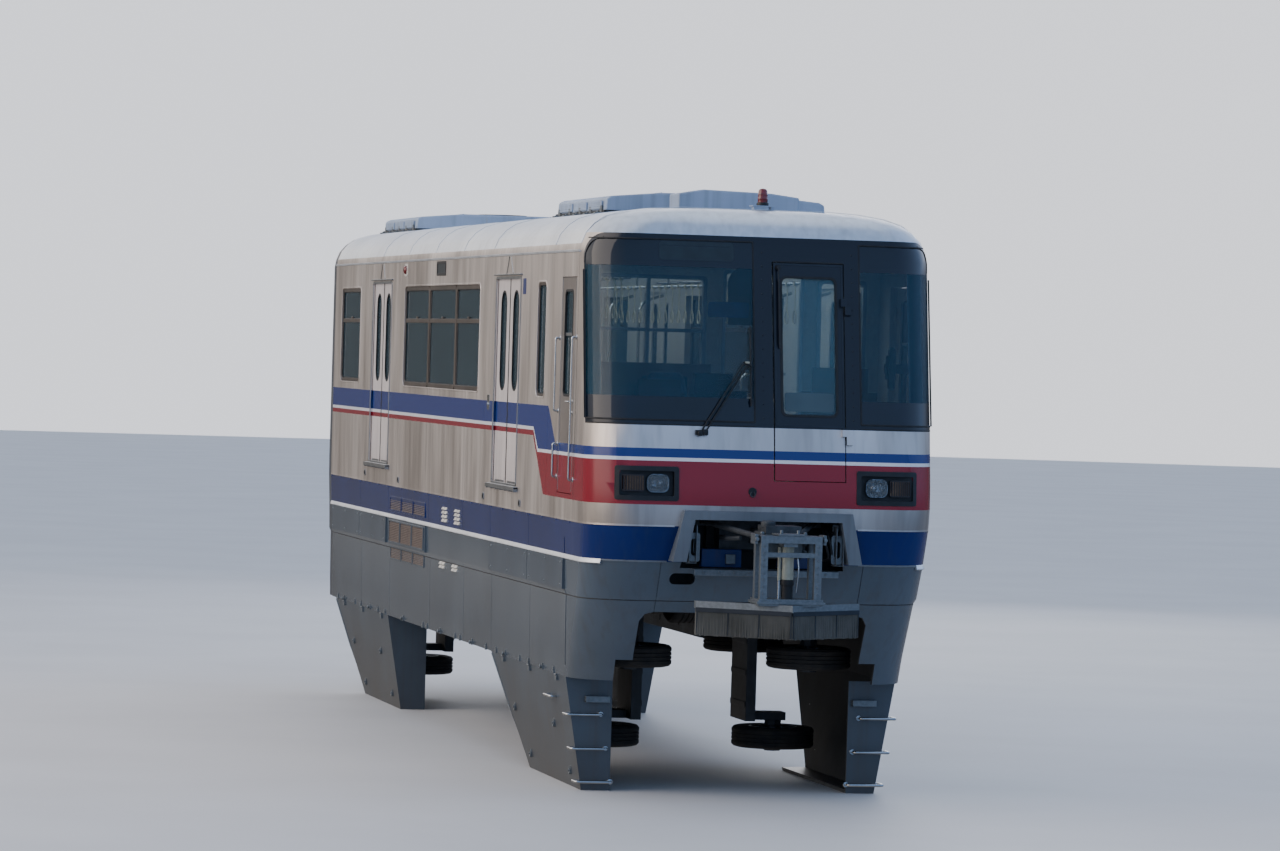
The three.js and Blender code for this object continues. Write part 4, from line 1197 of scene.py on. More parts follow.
@dataclass
class BodyShell:
    """Side walls, roof, cab front, skirts, covers and the rear end."""

    groove: float = 0.008
    groove_depth: float = 0.010
    cover_round: float = 0.05
    seams: tuple[float, ...] = (2.02, 5.16, 10.12, 12.28, 14.22)
    floor_under: float = 2.44
    band_top: float = 2.29
    lamp_x: Pair = (0.77, 1.325)
    lamp_z: Pair = (2.50, 2.78)
    lamp_depth: float = 0.0625
    bay_half: float = 0.706
    bay_z: Pair = (1.93, 2.36)

    def wall_rule(self, centre: Vector, normal: Vector) -> Finish:
        """Choose the finish of a face of the walls, cab front and roof.

        Args:
            centre: Middle of the face.
            normal: Direction of the face.

        Returns:
            The finish.
        """
        if centre.z < self.floor_under and inward(centre, normal):
            return UNDERSEAL
        if between(abs(centre.x), self.lamp_x) and between(centre.z, self.lamp_z):
            if between(centre.y, (face(centre.x, centre.z) + 0.001, self.lamp_depth)):
                return BLACK_ABS
        if inward(centre, normal):
            return LINING if centre.y > 0.8 else DESK
        return BLUE_BAND if centre.z < self.band_top else STAINLESS

    def front_skirt_rule(self, centre: Vector, normal: Vector) -> Finish:
        """Choose the finish of a face of the front skirt with its hood.

        Args:
            centre: Middle of the face.
            normal: Direction of the face.

        Returns:
            The finish.
        """
        wide = 0.81 - 0.2118 * (centre.z - 2.0)
        before = min(0.3, level(centre.z, 2) - 0.001)
        if centre.z > 1.96 and centre.y < before and abs(centre.x) < wide:
            return HOOD_COAT_AND_EDGE_HIGHLIGHT
        if inward(centre, normal) or abs(normal.z) > 0.9 and centre.z < 1.9:
            return UNDERSEAL
        if abs(centre.x) < self.bay_half and between(centre.z, self.bay_z) and centre.y > 0.0:
            return UNDERSEAL
        if centre.z > 2.288:
            return STAINLESS
        return BLUE_BAND if centre.z > 1.989 else SKIRT_ENAMEL

    def side_grooves(self) -> bpy.types.Object:
        """Make the cutter for the panel joints of the skirts and walls.

        Returns:
            The cutter.
        """
        blank = Blank("joint_cutter")
        depth = self.groove_depth
        for y in SKIRT_JOINTS:
            for low, high in ((0.94, 1.698), (2.0, 2.284)):
                heights = [low] + [row[0] for row in LEVELS if low < row[0] < high] + [high]
                inner = [(-level(z, 1) + depth, z) for z in heights]
                outer = [(-level(z, 1) - 0.06, z) for z in reversed(heights)]
                blank.prism(inner + outer, Axis.Y, (y - self.groove / 2, y + self.groove / 2))
        for y in self.seams:
            blank.block((-1.55, -1.487), (y - 0.002, y + 0.002), (2.3, 4.53))
        blank.block((-1.55, -1.476), (0.75, REAR + 0.1), (2.2845, 2.2905))
        blank.block((-1.55, -1.461), (1.149, 1.178), (1.9995, 2.135))
        blank.prism([(-1.55, 1.06), (-1.425, 1.06), (-1.432, 1.6), (-1.45, 1.7), (-1.452, 1.99),
                     (-1.55, 1.995)], Axis.Y, (1.149, 1.178))
        return knife(blank.twin())

    def front_grooves(self) -> bpy.types.Object:
        """Make the cutter for the joints of the front skirt.

        Returns:
            The cutter.
        """
        blank = Blank("front_joint_cutter")
        heights = (1.54, 1.66, 1.70, 1.99)
        deep = [(level(z, 2) + self.groove_depth, z) for z in heights]
        clear = [(level(z, 2) - 0.06, z) for z in reversed(heights)]
        blank.prism(deep + clear, Axis.X, (-0.866, -0.860)).twin()
        blank.prism(oblong((-0.774, -0.554), (1.80, 1.895), 0.045), Axis.Y, (-0.1, 0.6))
        return knife(blank)

    def cover_edges(self, first: Vector, second: Vector) -> bool:
        """Tell whether an edge is an outer upright corner of a bogie cover."""
        outer = all(abs(p.x) > 1.2 for p in (first, second))
        return outer and abs(first.z - second.z) > 0.3

    def place(self) -> None:
        """Build every shell of the car."""
        cutter = self.side_grooves()
        for side in Side:
            Skin(f"side_wall_{side.label}", self.wall_rule, cutter).place()
            Skin(f"side_skirt_{side.label}", self.skirt_rule, cutter).place()
            for bogie, _ in BOGIES:
                rounds = ((self.cover_edges, self.cover_round),)
                Skin(f"bogie_cover_{bogie}_{side.label}", self.cover_rule, rounds=rounds, bevel=0.006).place()
        remove(cutter)
        cutter = self.front_grooves()
        Skin("front_skirt", self.front_skirt_rule, cutter).place()
        remove(cutter)
        Skin("cab_front", self.wall_rule).place()
        Skin("roof", self.roof_rule).place()
        Skin("rear_end_wall", lambda centre, normal: UNIT_PAINT).place()
        Skin("gangway_fairing", lambda centre, normal: FAIRING_ENAMEL, bevel=0.006).place()

    def roof_rule(self, centre: Vector, normal: Vector) -> Finish:
        """Finish of a face of the roof."""
        return LINING if normal.z < -0.2 else ROOF_SHEET

    def skirt_rule(self, centre: Vector, normal: Vector) -> Finish:
        """Finish of a face of a side skirt."""
        return UNDERSEAL if inward(centre, normal) else SKIRT_ENAMEL

    def cover_rule(self, centre: Vector, normal: Vector) -> Finish:
        """Finish of a face of a bogie cover."""
        hidden = normal.x * centre.x < 0 and abs(normal.x) > 0.5
        return UNDERSEAL if hidden else COVER_ENAMEL


@dataclass
class Studio:
    """Floor, lights and the camera at the photograph's viewpoint."""

    azimuth: float = 0.20715055
    elevation: float = -0.01448947
    roll: float = 0.02938969
    focal: float = 149.735
    spot: Point = (-10.13313, -49.79757, 3.75139)
    wall: float = 150.0

    def camera(self) -> None:
        """Set the camera."""
        ahead = Vector((math.sin(self.azimuth) * math.cos(self.elevation),
                        math.cos(self.azimuth) * math.cos(self.elevation), math.sin(self.elevation)))
        level_right = Vector((math.cos(self.azimuth), -math.sin(self.azimuth), 0.0))
        level_up = level_right.cross(ahead)
        right = math.cos(self.roll) * level_right + math.sin(self.roll) * level_up
        up = math.cos(self.roll) * level_up - math.sin(self.roll) * level_right
        data = bpy.data.cameras.new("photo_view")
        data.lens = self.focal
        data.sensor_width = 36.0
        data.clip_end = 400.0
        view = bpy.data.objects.new("photo_view", data)
        bpy.context.scene.collection.objects.link(view)
        turn = Matrix((right, up, -ahead)).transposed().to_4x4()
        view.matrix_world = Matrix.Translation(self.spot) @ turn
        bpy.context.scene.camera = view

    def lamp(self, name: str, spot: Point, aim: Point, size: float, power: float, tint: str) -> None:
        """Hang a soft lamp.

        Args:
            name: Name of the lamp.
            spot: Its place.
            aim: Point that it faces.
            size: Side of its square face.
            power: Power in watts.
            tint: Colour of its light.
        """
        data = bpy.data.lights.new(name, "AREA")
        data.shape = "SQUARE"
        data.size = size
        data.energy = power
        data.color = linear(tint)[:3]
        lamp = bpy.data.objects.new(name, data)
        bpy.context.scene.collection.objects.link(lamp)
        lamp.location = spot
        lamp.rotation_euler = (Vector(aim) - Vector(spot)).to_track_quat("-Z", "Y").to_euler()

    def backdrop(self) -> None:
        """Stand a pale round wall far outside the car, which throws no light on it."""
        wall = Blank("studio_wall").use(STAGE_WALL)
        wall.turned([(self.wall, -2.0), (self.wall, 120.0), (0.0, 170.0)], (0.0, CENTRE, 0.0), Axis.Z, 96)
        bmesh.ops.translate(wall.form, vec=(0.0, -CENTRE, 0.0), verts=wall.form.verts)
        mesh = bpy.data.meshes.new(wall.name)
        wall.form.to_mesh(mesh)
        wall.form.free()
        mesh.materials.append(PAINTER.material(STAGE_WALL))
        mesh.shade_smooth()
        piece = bpy.data.objects.new(wall.name, mesh)
        piece.visible_diffuse = piece.visible_glossy = piece.visible_shadow = False
        bpy.context.scene.collection.objects.link(piece)

    def place(self) -> None:
        """Build the stage."""
        self.camera()
        form = bmesh.new()
        bmesh.ops.create_grid(form, x_segments=8, y_segments=8, size=160.0)
        mesh = bpy.data.meshes.new("studio_floor")
        form.to_mesh(mesh)
        form.free()
        mesh.materials.append(PAINTER.material(STAGE_FLOOR))
        floor = bpy.data.objects.new("studio_floor", mesh)
        floor.location.z = -0.001
        floor.visible_glossy = False
        bpy.context.scene.collection.objects.link(floor)
        self.backdrop()
        world = bpy.data.worlds.new("pale_studio")
        bpy.context.scene.world = world
        world.use_nodes = True
        PAINTER.tree = world.node_tree
        PAINTER.tree.nodes.clear()
        place = PAINTER.add("ShaderNodeTexCoord")
        axes = PAINTER.add("ShaderNodeSeparateXYZ", {0: place}).node
        across, along, height = axes.outputs
        ahead = PAINTER.add("ShaderNodeMath", {0: across, 1: along}, operation="SUBTRACT")
        aloft = PAINTER.add("ShaderNodeMath", {0: ahead, 1: height}, operation="ADD")
        share = PAINTER.add("ShaderNodeMapRange", {0: aloft, 1: -1.0, 2: 0.9})
        tones = {0: share, 6: linear("ede7e3"), 7: linear("a6c6f7")}
        tint = PAINTER.add("ShaderNodeMix", tones, out=2, data_type="RGBA")
        skyline = PAINTER.add("ShaderNodeMapRange", {0: along, 1: -0.6, 2: 0.6, 3: 0.75, 4: 0.17})
        haze = PAINTER.add("ShaderNodeMapRange", {0: along, 1: -0.7, 2: 0.6, 3: 1.0, 4: 1.85})
        rise = PAINTER.add("ShaderNodeMapRange", {0: height, 1: 0.04, 2: 0.14})
        fade = PAINTER.add("ShaderNodeMapRange", {0: height, 1: 0.3, 2: 0.85})
        sunk = PAINTER.add("ShaderNodeMapRange", {0: height, 1: -0.03, 2: -0.12})
        power = PAINTER.add("ShaderNodeMix", {0: rise, 2: skyline, 3: haze})
        power = PAINTER.add("ShaderNodeMix", {0: fade, 2: power, 3: 0.65})
        power = PAINTER.add("ShaderNodeMix", {0: sunk, 2: power, 3: 0.32})
        light = PAINTER.add("ShaderNodeBackground", {0: tint, 1: power})
        PAINTER.add("ShaderNodeOutputWorld", {0: light})
        self.lamp("key_left", (-26.0, -6.0, 15.0), (0.0, 0.0, 3.0), 26.0, 4300.0, "ffeedd")
        self.lamp("top_soft", (0.0, 0.0, 20.0), (0.0, 0.0, 2.0), 18.0, 600.0, "ffffff")
        self.lamp("back_soft", (10.0, 26.0, 12.0), (0.0, 4.0, 3.0), 12.0, 900.0, "ffffff")


@dataclass
class CabFront:
    """Screens, gaskets, emergency door, wipers and small fittings of the cab's front face."""

    screen: Pair = (3.165, 4.665)
    clear: Pair = (3.36, 4.44)
    side_limit: float = 0.33
    pillar: float = -0.11
    far_pillar: float = 0.80
    pane_x: Pair = (0.13, 0.59)
    pane_z: Pair = (3.235, 4.375)
    door_x: Pair = (0.06, 0.66)
    door_z: Pair = (3.13, 4.50)

    def screen_rule(self, centre: Vector, normal: Vector) -> Finish:
        """Finish of a face of a windscreen, printed dark along its head and foot."""
        return SCREEN if self.clear[0] < centre.z < self.clear[1] else FRIT

    def edge(self, z: float, start: float) -> list[Pair]:
        """Follow the right half of the skin from a place on the front to the screen's side limit.

        Args:
            z: Height of the line.
            start: Distance from the middle at which it starts.

        Returns:
            Points in X and Y.
        """
        front = level(z, 2)
        inner = [(x, y) for x, y in plan(z, steps=24) if x < -start - 0.02 and y < front + self.side_limit]
        return [(-start, front)] + inner

    def gaskets(self) -> None:
        """Lay the rubber along the edges of both screens."""
        rubber = Blank("screen_gaskets").use(EPDM)
        for start in (-self.pillar, self.far_pillar):
            strip = Blank("strip").use(EPDM)
            for z, half in ((self.screen[0], 0.007), (self.screen[1], 0.006), (3.128, 0.004)):
                strip.belt(self.edge(z, start), [(-0.006, z - half), (0.004, z - half), (0.004, z + half),
                                                 (-0.006, z + half)])
            if start == self.far_pillar:
                bmesh.ops.scale(strip.form, vec=(-1.0, 1.0, 1.0), verts=strip.form.verts)
            rubber.absorb(strip)
        rubber.place(bevel=0.002)
        posts = Blank("screen_post_rubber").use(EPDM)
        for x in (self.pillar, self.far_pillar):
            posts.block((x - 0.006, x + 0.006), (-0.004, 0.006), self.screen)
        posts.block(self.door_x, (-0.003, 0.006), (self.door_z[1] + 0.004, self.door_z[1] + 0.014))
        posts.wrap().place()
        sides = Blank("screen_side_rubber").use(EPDM)
        for z, after in zip((3.165, 3.6, 4.0), (3.6, 4.0, 4.4)):
            low, high = level(z, 2) + self.side_limit, level(after, 2) + self.side_limit
            outline = [(low - 0.006, z), (low + 0.006, z), (high + 0.006, after), (high - 0.006, after)]
            sides.prism(outline, Axis.X, (-1.494, -1.482))
        sides.twin().place()

    def spandrels(self) -> None:
        """Fill the upper outer corners of the screens, which are rounded."""
        for side in Side:
            patch = Blank(f"screen_corner_{side.label}").use(STAINLESS)
            rows = []
            for proud in (0.0015, -0.004):
                for share in range(6):
                    row = []
                    for step in range(15):
                        angle = 49.9 + step * 2.05
                        setback = CORNER * (1 - math.cos(math.radians(angle)))
                        reach = min((setback - 0.153) / 0.177, 1.0)
                        foot = 4.455 + 0.21 * math.sqrt(max(1 - max(reach, 0.0) ** 2, 0.0))
                        z = foot + (4.682 - foot) * share / 5
                        row.append(corner(angle, z, side, proud))
                    rows.append(row)
            count = 15
            points = [p for row in rows for p in row]
            loops = []
            for sheet in (0, 6):
                for share in range(5):
                    for step in range(count - 1):
                        at = (sheet + share) * count + step
                        loops.append([at, at + 1, at + count + 1, at + count])
            for step in range(count - 1):
                loops.append([step, step + 1, 6 * count + step + 1, 6 * count + step])
            patch.faces(points, loops).place()

    def emergency_door(self) -> None:
        """Dress the emergency door, with its pane, its rubber and its wiper."""
        hole = Blank("hole").prism(oblong(self.pane_x, self.pane_z, 0.045), Axis.Y, (-0.3, 0.9))
        cutter = knife(hole)
        rule: Rule = lambda centre, normal: STAINLESS
        Skin("emergency_door", rule, cutter, slices=(3.121,)).place()
        remove(cutter)
        pane = Blank("emergency_door_pane").use(CLEAR_PANE)
        pane.prism(oblong(inset(self.pane_x, 0.001), inset(self.pane_z, 0.001), 0.044), Axis.Y,
                   (0.012, 0.018))
        pane.use(FROSTED).prism(oblong((0.15, 0.57), (3.262, 3.42), 0.02), Axis.Y, (0.0108, 0.0118))
        pane.wrap().place("emergency_door")
        trim = Blank("emergency_door_rubber").use(EPDM)
        outer, inner = inset(self.pane_x, -0.016), inset(self.pane_x, 0.004)
        up, low = inset(self.pane_z, -0.016), inset(self.pane_z, 0.004)
        trim.border(oblong(outer, up, 0.055), oblong(inner, low, 0.042), Axis.Y, (-0.005, 0.02))
        trim.use(DARK_FRAME)
        door_x, door_z = inset(self.door_x, 0.004), (3.135, self.door_z[1] - 0.006)
        trim.border(oblong(door_x, door_z, 0.02), oblong(inset(door_x, 0.014), inset(door_z, 0.014), 0.012),
                    Axis.Y, (-0.003, 0.004))
        trim.wrap().place("emergency_door")
        wiper = Blank("emergency_door_wiper").use(BLACK_ABS)
        wiper.turned([(0.0, -0.052), (0.018, -0.05), (0.02, 0.0)], on_front(0.098, 4.46), Axis.Y, 16)
        wiper.pipe([on_front(0.098, z, 0.042) for z in (4.47, 4.2, 3.9, 3.82)], 0.006)
        blade = [on_front(0.104, z, 0.026) for z in (4.36, 4.0, 3.79)]
        wiper.pipe(blade, 0.007).pipe([on_front(0.098, 4.05, 0.042), on_front(0.104, 4.05, 0.026)], 0.006)
        wiper.place("emergency_door")

    def wiper(self) -> None:
        """Set the wiper of the larger screen, with twin arms and an upright blade."""
        arm = Blank("driver_wiper").use(BLACK_ABS)
        for x, z in ((-0.585, 3.066), (-0.545, 3.072)):
            profile = [(0.0, -0.06), (0.02, -0.056), (0.026, -0.03), (0.026, 0.002)]
            arm.turned(profile, on_front(x, z), Axis.Y, 18)
        arm.block((-0.62, -0.515), (face(-0.57, 3.07) - 0.03, face(-0.57, 3.07)), (3.05, 3.09))
        for start, end in (((-0.585, 3.07), (-0.205, 3.655)), ((-0.545, 3.072), (-0.178, 3.64))):
            steps = [t / 4 for t in range(5)]
            path = [(start[0] + (end[0] - start[0]) * t, start[1] + (end[1] - start[1]) * t) for t in steps]
            arm.pipe([on_front(x, z, 0.048) for x, z in path], 0.0075)
        arm.pipe([on_front(-0.215, 3.665, 0.05), on_front(-0.145, 3.63, 0.044)], 0.010)
        arm.pipe([on_front(-0.146, z, 0.03) for z in (3.30, 3.5, 3.7, 3.96)], 0.0075)
        for z in (3.34, 3.48, 3.62, 3.76, 3.92):
            arm.block((-0.156, -0.136), (face(-0.146, z) - 0.044, face(-0.146, z) - 0.028),
                      (z - 0.012, z + 0.012))
        arm.use(EPDM)
        for z, after in ((3.30, 3.63), (3.63, 3.96)):
            points = [on_front(x, at, out) for at in (z, after) for x, out in
                      ((-0.149, 0.026), (-0.143, 0.026), (-0.1445, 0.0), (-0.1475, 0.0))]
            arm.loft([points[:4], points[4:]])
        arm.use(CREAM_PAINT).block((-0.20, -0.165), (face(-0.18, 3.66) - 0.064, face(-0.18, 3.66) - 0.052),
                                   (3.652, 3.668))
        arm.place(bevel=0.001)

    def fittings(self) -> None:
        """Set the blank display, the bolts of the mask, the socket and the towing hook."""
        screen = Blank("front_display").use(DISPLAY)
        screen.prism(oblong((-0.91, -0.275), (4.497, 4.652), 0.03), Axis.Y, (0.0028, 0.006))
        screen.use(FRIT).border(oblong((-0.917, -0.268), (4.49, 4.659), 0.036),
                                oblong((-0.91, -0.275), (4.497, 4.652), 0.03), Axis.Y, (0.0022, 0.006))
        screen.wrap().place()
        bolts = Blank("mask_bolts").use(DARK_FRAME)
        for x in (-0.035, 0.735):
            for step in range(13):
                z = 3.2 + 0.115 * step
                profile = [(0.0, -0.0045), (0.004, -0.004), (0.0065, -0.001), (0.0065, 0.002)]
                bolts.turned(profile, on_front(x, z), Axis.Y, 8)
        bolts.place()
        hook = Blank("towing_socket").use(BLACK_ABS)
        rim = [(0.018, -0.006), (0.034, -0.006), (0.036, 0.003), (0.018, 0.003), (0.018, -0.006)]
        hook.turned(rim, (-0.132, level(2.59, 2), 2.59), Axis.Y, 24)
        hook.block((-0.152, -0.112), (0.0, 0.006), (2.572, 2.608))
        hook.use(CAST_STEEL)
        ring = [(-0.132 + 0.02 * math.sin(a), -0.012, 2.568 + 0.022 * math.cos(a))
                for a in (math.tau * step / 12 for step in range(1, 12))]
        hook.pipe(ring, 0.005).place()

    def place(self) -> None:
        """Build the front face's fittings."""
        for side in Side:
            Skin(f"windscreen_{side.label}", self.screen_rule, slices=self.clear).place()
        self.gaskets()
        self.spandrels()
        self.emergency_door()
        self.wiper()
        self.fittings()


@dataclass
class Lamps:
    """Headlamps and tail lamps in their dark housings, and the red beacon on the roof."""

    outer: tuple[Pair, Pair] = ((0.757, 1.288), (2.498, 2.782))
    inner: tuple[Pair, Pair] = ((0.797, 1.252), (2.538, 2.742))
    head: tuple[Pair, Pair] = ((0.845, 1.02), (2.572, 2.712))
    tail: tuple[Pair, Pair] = ((1.045, 1.235), (2.572, 2.712))

    def bowl(self, side: Side) -> None:
        """Build the plated reflector with its bulb and lens.

        Args:
            side: Side of the car.
        """
        x, z = self.head
        centre = ((x[0] + x[1]) / 2, (z[0] + z[1]) / 2)
        rings = []
        for by, at in ((-0.006, 0.056), (-0.006, 0.012), (0.0, 0.012), (0.006, 0.02), (0.018, 0.032),
                       (0.036, 0.044), (0.052, 0.05)):
            outline = oblong(inset(x, by), inset(z, by), 0.05 - by * 0.5 if by < 0.03 else 0.017, 6)
            rings.append([(side.value * a, at, b) for a, b in outline])
        lamp = Blank(f"headlamp_{side.label}").use(CHROME).loft(rings)
        lamp.use(POLISHED_ROD)
        for offset, radius in ((-0.02, 0.026), (0.042, 0.014)):
            profile = [(0.0, 0.014), (radius * 0.6, 0.016), (radius, 0.026), (radius * 0.8, 0.046)]
            spot = (side.value * (centre[0] + offset), 0.0, centre[1])
            lamp.turned(profile, spot, Axis.Y, 16)
        lamp.use(CLEAR_LENS)
        cover = oblong(inset(x, -0.002), inset(z, -0.002), 0.05, 6)
        lamp.prism([(side.value * a, b) for a, b in cover], Axis.Y, (0.006, 0.010))
        lamp.place(sharp=50)

    def tail_lamp(self, side: Side) -> None:
        """Build the smoked red lens with its upright ribs.

        Args:
            side: Side of the car.
        """
        lens = Blank(f"tail_lamp_{side.label}").use(DARK_RED_LENS)
        x, z = self.tail
        lens.prism([(side.value * a, b) for a, b in oblong(x, z, 0.02)], Axis.Y, (0.012, 0.03))
        ribs = 9
        for rib in range(ribs):
            middle = x[0] + 0.012 + (x[1] - x[0] - 0.024) * rib / (ribs - 1)
            outline = [(middle - 0.006, 0.013), (middle, 0.007), (middle + 0.006, 0.013)]
            lens.prism([(side.value * a, b) for a, b in outline], Axis.Z, inset(z, 0.012))
        lens.wrap(0.03).place()

    def beacon(self) -> None:
        """Stand the red beacon on its bracket over the cab."""
        base = skyline(0.0)
        stand = Blank("roof_beacon").use(UNIT_PAINT)
        stand.block((-0.01, 0.19), (0.83, 0.97), (base + 0.03, base + 0.038))
        for x in (0.005, 0.155):
            stand.block((x, x + 0.02), (0.85, 0.95), (base - 0.004, base + 0.031))
        stand.use(BLACK_ABS)
        stand.turned([(0.0, 0.038), (0.052, 0.038), (0.052, 0.06), (0.046, 0.066), (0.0, 0.066)],
                                    (0.09, 0.9, base), Axis.Z, 28)
        stand.use(RED_LENS)
        dome = [(0.0, 0.066), (0.043, 0.066), (0.043, 0.094), (0.046, 0.097), (0.043, 0.10), (0.041, 0.13),
                (0.044, 0.133), (0.041, 0.136), (0.038, 0.165), (0.03, 0.178), (0.014, 0.184), (0.0, 0.185)]
        stand.turned(dome, (0.09, 0.9, base), Axis.Z, 28)
        stand.place(sharp=50)

    def place(self) -> None:
        """Build the lamps of both sides and the beacon."""
        frames = Blank("lamp_housings").use(BLACK_ABS)
        outer, inner = oblong(*self.outer, 0.02), oblong(*self.inner, 0.014)
        frames.border(outer, inner, Axis.Y, (-0.010, 0.008))
        frames.border(oblong(inset(self.inner[0], -0.006), inset(self.inner[1], -0.006), 0.016), inner,
                      Axis.Y, (0.006, 0.05))
        frames.prism(oblong(inset(self.inner[0], -0.005), inset(self.inner[1], -0.005), 0.016), Axis.Y,
                     (0.046, 0.05))
        frames.wrap(0.03).twin().place(bevel=0.002)
        for side in Side:
            self.bowl(side)
            self.tail_lamp(side)
        self.beacon()


@dataclass
class Coupler:
    """Drawbar, its bay behind the hood, and the beam brush on its lifting frame."""

    apex: Pair = (0.0, -0.985)
    tip: Pair = (-0.685, -0.462)
    bristles: Pair = (1.42, 1.645)
    strands: int = 104
    clamp_top: float = 1.64
    jack_foot: Point = (0.0, -0.77, 1.745)
    rod_foot: Point = (-0.07, -0.77, 1.745)
    column_radius: float = 0.05
    column_z: Pair = (1.75, 2.16)

    def steel_rule(self, centre: Vector, normal: Vector) -> Finish:
        """Finish of a face of the drawbar assembly."""
        return UNDERSEAL if centre.y > 0.5 else CAST_STEEL

    def brush_rule(self, centre: Vector, normal: Vector) -> Finish:
        """Choose the finish of a face of the lifting frame and its brush.

        Args:
            centre: Middle of the face.
            normal: Direction of the face.

        Returns:
            The finish.
        """
        off = math.hypot(centre.x - self.jack_foot[0], centre.y - self.jack_foot[1])
        if off < self.column_radius and between(centre.z, self.column_z):
            return EPDM
        return BRISTLE if centre.z < self.clamp_top else ZINC

    def bay(self) -> None:
        """Fill the bay round the drawbar."""
        plates = Blank("coupler_bay_brackets").use(ZINC)
        outer, inner = oblong((-0.02, 0.16), (1.99, 2.31), 0.02), oblong((0.035, 0.105), (2.06, 2.24), 0.034)
        for x in (-0.66, -0.60):
            plates.border(outer, inner, Axis.X, (x, x + 0.008))
        plates.block((-0.67, -0.585), (0.10, 0.112), (2.27, 2.33))
        plates.block((-0.67, -0.585), (0.02, 0.15), (1.985, 1.993))
        plates.twin()
        for x in ((-0.66, -0.56), (0.56, 0.66)):
            inner = oblong(inset(x, 0.025), (2.05, 2.19), 0.024)
            plates.border(oblong(x, (2.0, 2.24), 0.02), inner, Axis.Y, (0.02, 0.028))
        plates.place(bevel=0.0015)
        bar = Blank("coupler_bay_sill").use(ZINC)
        bar.block((-0.60, 0.63), (0.03, 0.17), (1.935, 1.942))
        bar.block((-0.60, 0.63), (0.03, 0.037), (1.885, 1.942))
        bolt = [(0.0, -0.010), (0.008, -0.009), (0.010, -0.006), (0.010, 0.001)]
        for step in range(9):
            bar.turned(bolt, (-0.52 + 0.13 * step, 0.03, 1.915), Axis.Y, 8)
        bar.place(bevel=0.0015)
        boxes = Blank("coupler_bay_boxes").use(BLUE_ENAMEL)
        boxes.block((-0.50, -0.16), (0.22, 0.32), (1.95, 2.10))
        boxes.block((0.16, 0.44), (0.22, 0.32), (1.95, 2.08))
        # The black sheet across the back of the bay is painted shade: it stands in for the dark depth of the
        # bay.
        boxes.use(BLACK_ABS).block((-0.96, 0.96), (0.62, 0.63), (1.62, 2.44))
        boxes.use(ZINC).block((-0.30, -0.22), (0.18, 0.22), (1.98, 2.06))
        boxes.block((-0.62, 0.62), (0.28, 0.30), (2.35, 2.39))
        boxes.place(bevel=0.004)
        hoses = Blank("coupler_bay_pipes").use(EPDM)
        for offset in (0.0, 0.045, 0.09):
            loop = bent([(0.52 + offset * 0.3, 0.25, 2.36), (0.50 + offset, 0.02, 2.2),
                         (0.55 + offset * 0.6, 0.03, 2.04), (0.48, 0.26, 2.02)], 0.06)
            hoses.pipe(loop, 0.011)
        hoses.use(CAST_STEEL).pipe([(0.30, 0.30, 2.18), (0.30, 0.02, 2.2), (0.42, -0.05, 2.22)], 0.018)
        hoses.pipe(bent([(-0.32, 0.30, 2.2), (-0.34, 0.0, 2.2), (-0.25, -0.12, 2.21)], 0.05), 0.02).place()

    def head(self) -> None:
        """Put the working parts on the drawbar's head."""
        parts = Blank("coupler_head_parts").use(CAST_STEEL)
        parts.turned([(0.0, -0.02), (0.055, -0.02), (0.06, 0.0), (0.06, 0.03), (0.045, 0.04), (0.0, 0.04)],
                     (-0.105, -0.48, 2.33), Axis.Z, 24)
        for x in (-0.19, 0.15):
            parts.block((x, x + 0.04), (-0.56, -0.34), (2.10, 2.28))
            knob = [(0.0, -0.03), (0.03, -0.028), (0.034, 0.0), (0.0, 0.0)]
            parts.turned(knob, (x + 0.02, -0.56, 2.19), Axis.Y, 18)
        parts.use(ZINC)
        bolt = [(0.0, -0.022), (0.014, -0.02), (0.016, 0.0), (0.016, 0.02)]
        for z in (2.12, 2.27):
            for x in (-0.18, 0.18):
                parts.turned(bolt, (x, -0.60, z), Axis.Y, 12)
        parts.place(bevel=0.003)

    def line(self) -> tuple[Vector, Vector, Vector, float]:
        """Work out the line of the brush on the car's right side.

        Returns:
            Its start, its direction, the direction out from it and its length.
        """
        start, end = Vector((*self.apex, 0.0)), Vector((*self.tip, 0.0))
        along = (end - start).normalized()
        out = Vector((along.y, -along.x, 0.0))
        return start, along, -out if out.y > 0 else out, (end - start).length

    def section(self, spot: Vector, z: float, corners: Iterable[Pair]) -> list[Sequence[float]]:
        """Lay a section of the brush round a spot.

        Args:
            spot: Point of the brush's line.
            z: Height.
            corners: Its corners, as distances along the line and out from it.

        Returns:
            The corner points.
        """
        _, along, out, _ = self.line()
        return [tuple(spot + along * a + out * b + Vector((0.0, 0.0, z))) for a, b in corners]

    def tufts(self) -> None:
        """Build the bristle bundles."""
        start, along, out, length = self.line()
        corners = ((-0.0032, -0.004), (0.0032, -0.004), (0.0026, 0.0045), (-0.0026, 0.0045))
        tufts = Blank("brush_bristles").use(BRISTLE)
        for strand in range(self.strands):
            at = 0.004 + (length - 0.008) * (strand + 0.5) / self.strands
            wobble = noise.noise(Vector((strand * 1.7, 0.3, 0.0)))
            droop = 0.012 * noise.noise(Vector((strand * 0.37, 4.0, 0.0)))
            foot = start + along * (at + 0.003 * wobble) + out * (0.003 + 0.004 * wobble)
            low = self.section(foot, self.bristles[0] + droop, corners)
            tufts.loft([low, self.section(start + along * at, self.bristles[1] - 0.02, corners)])
        tufts.twin().place()

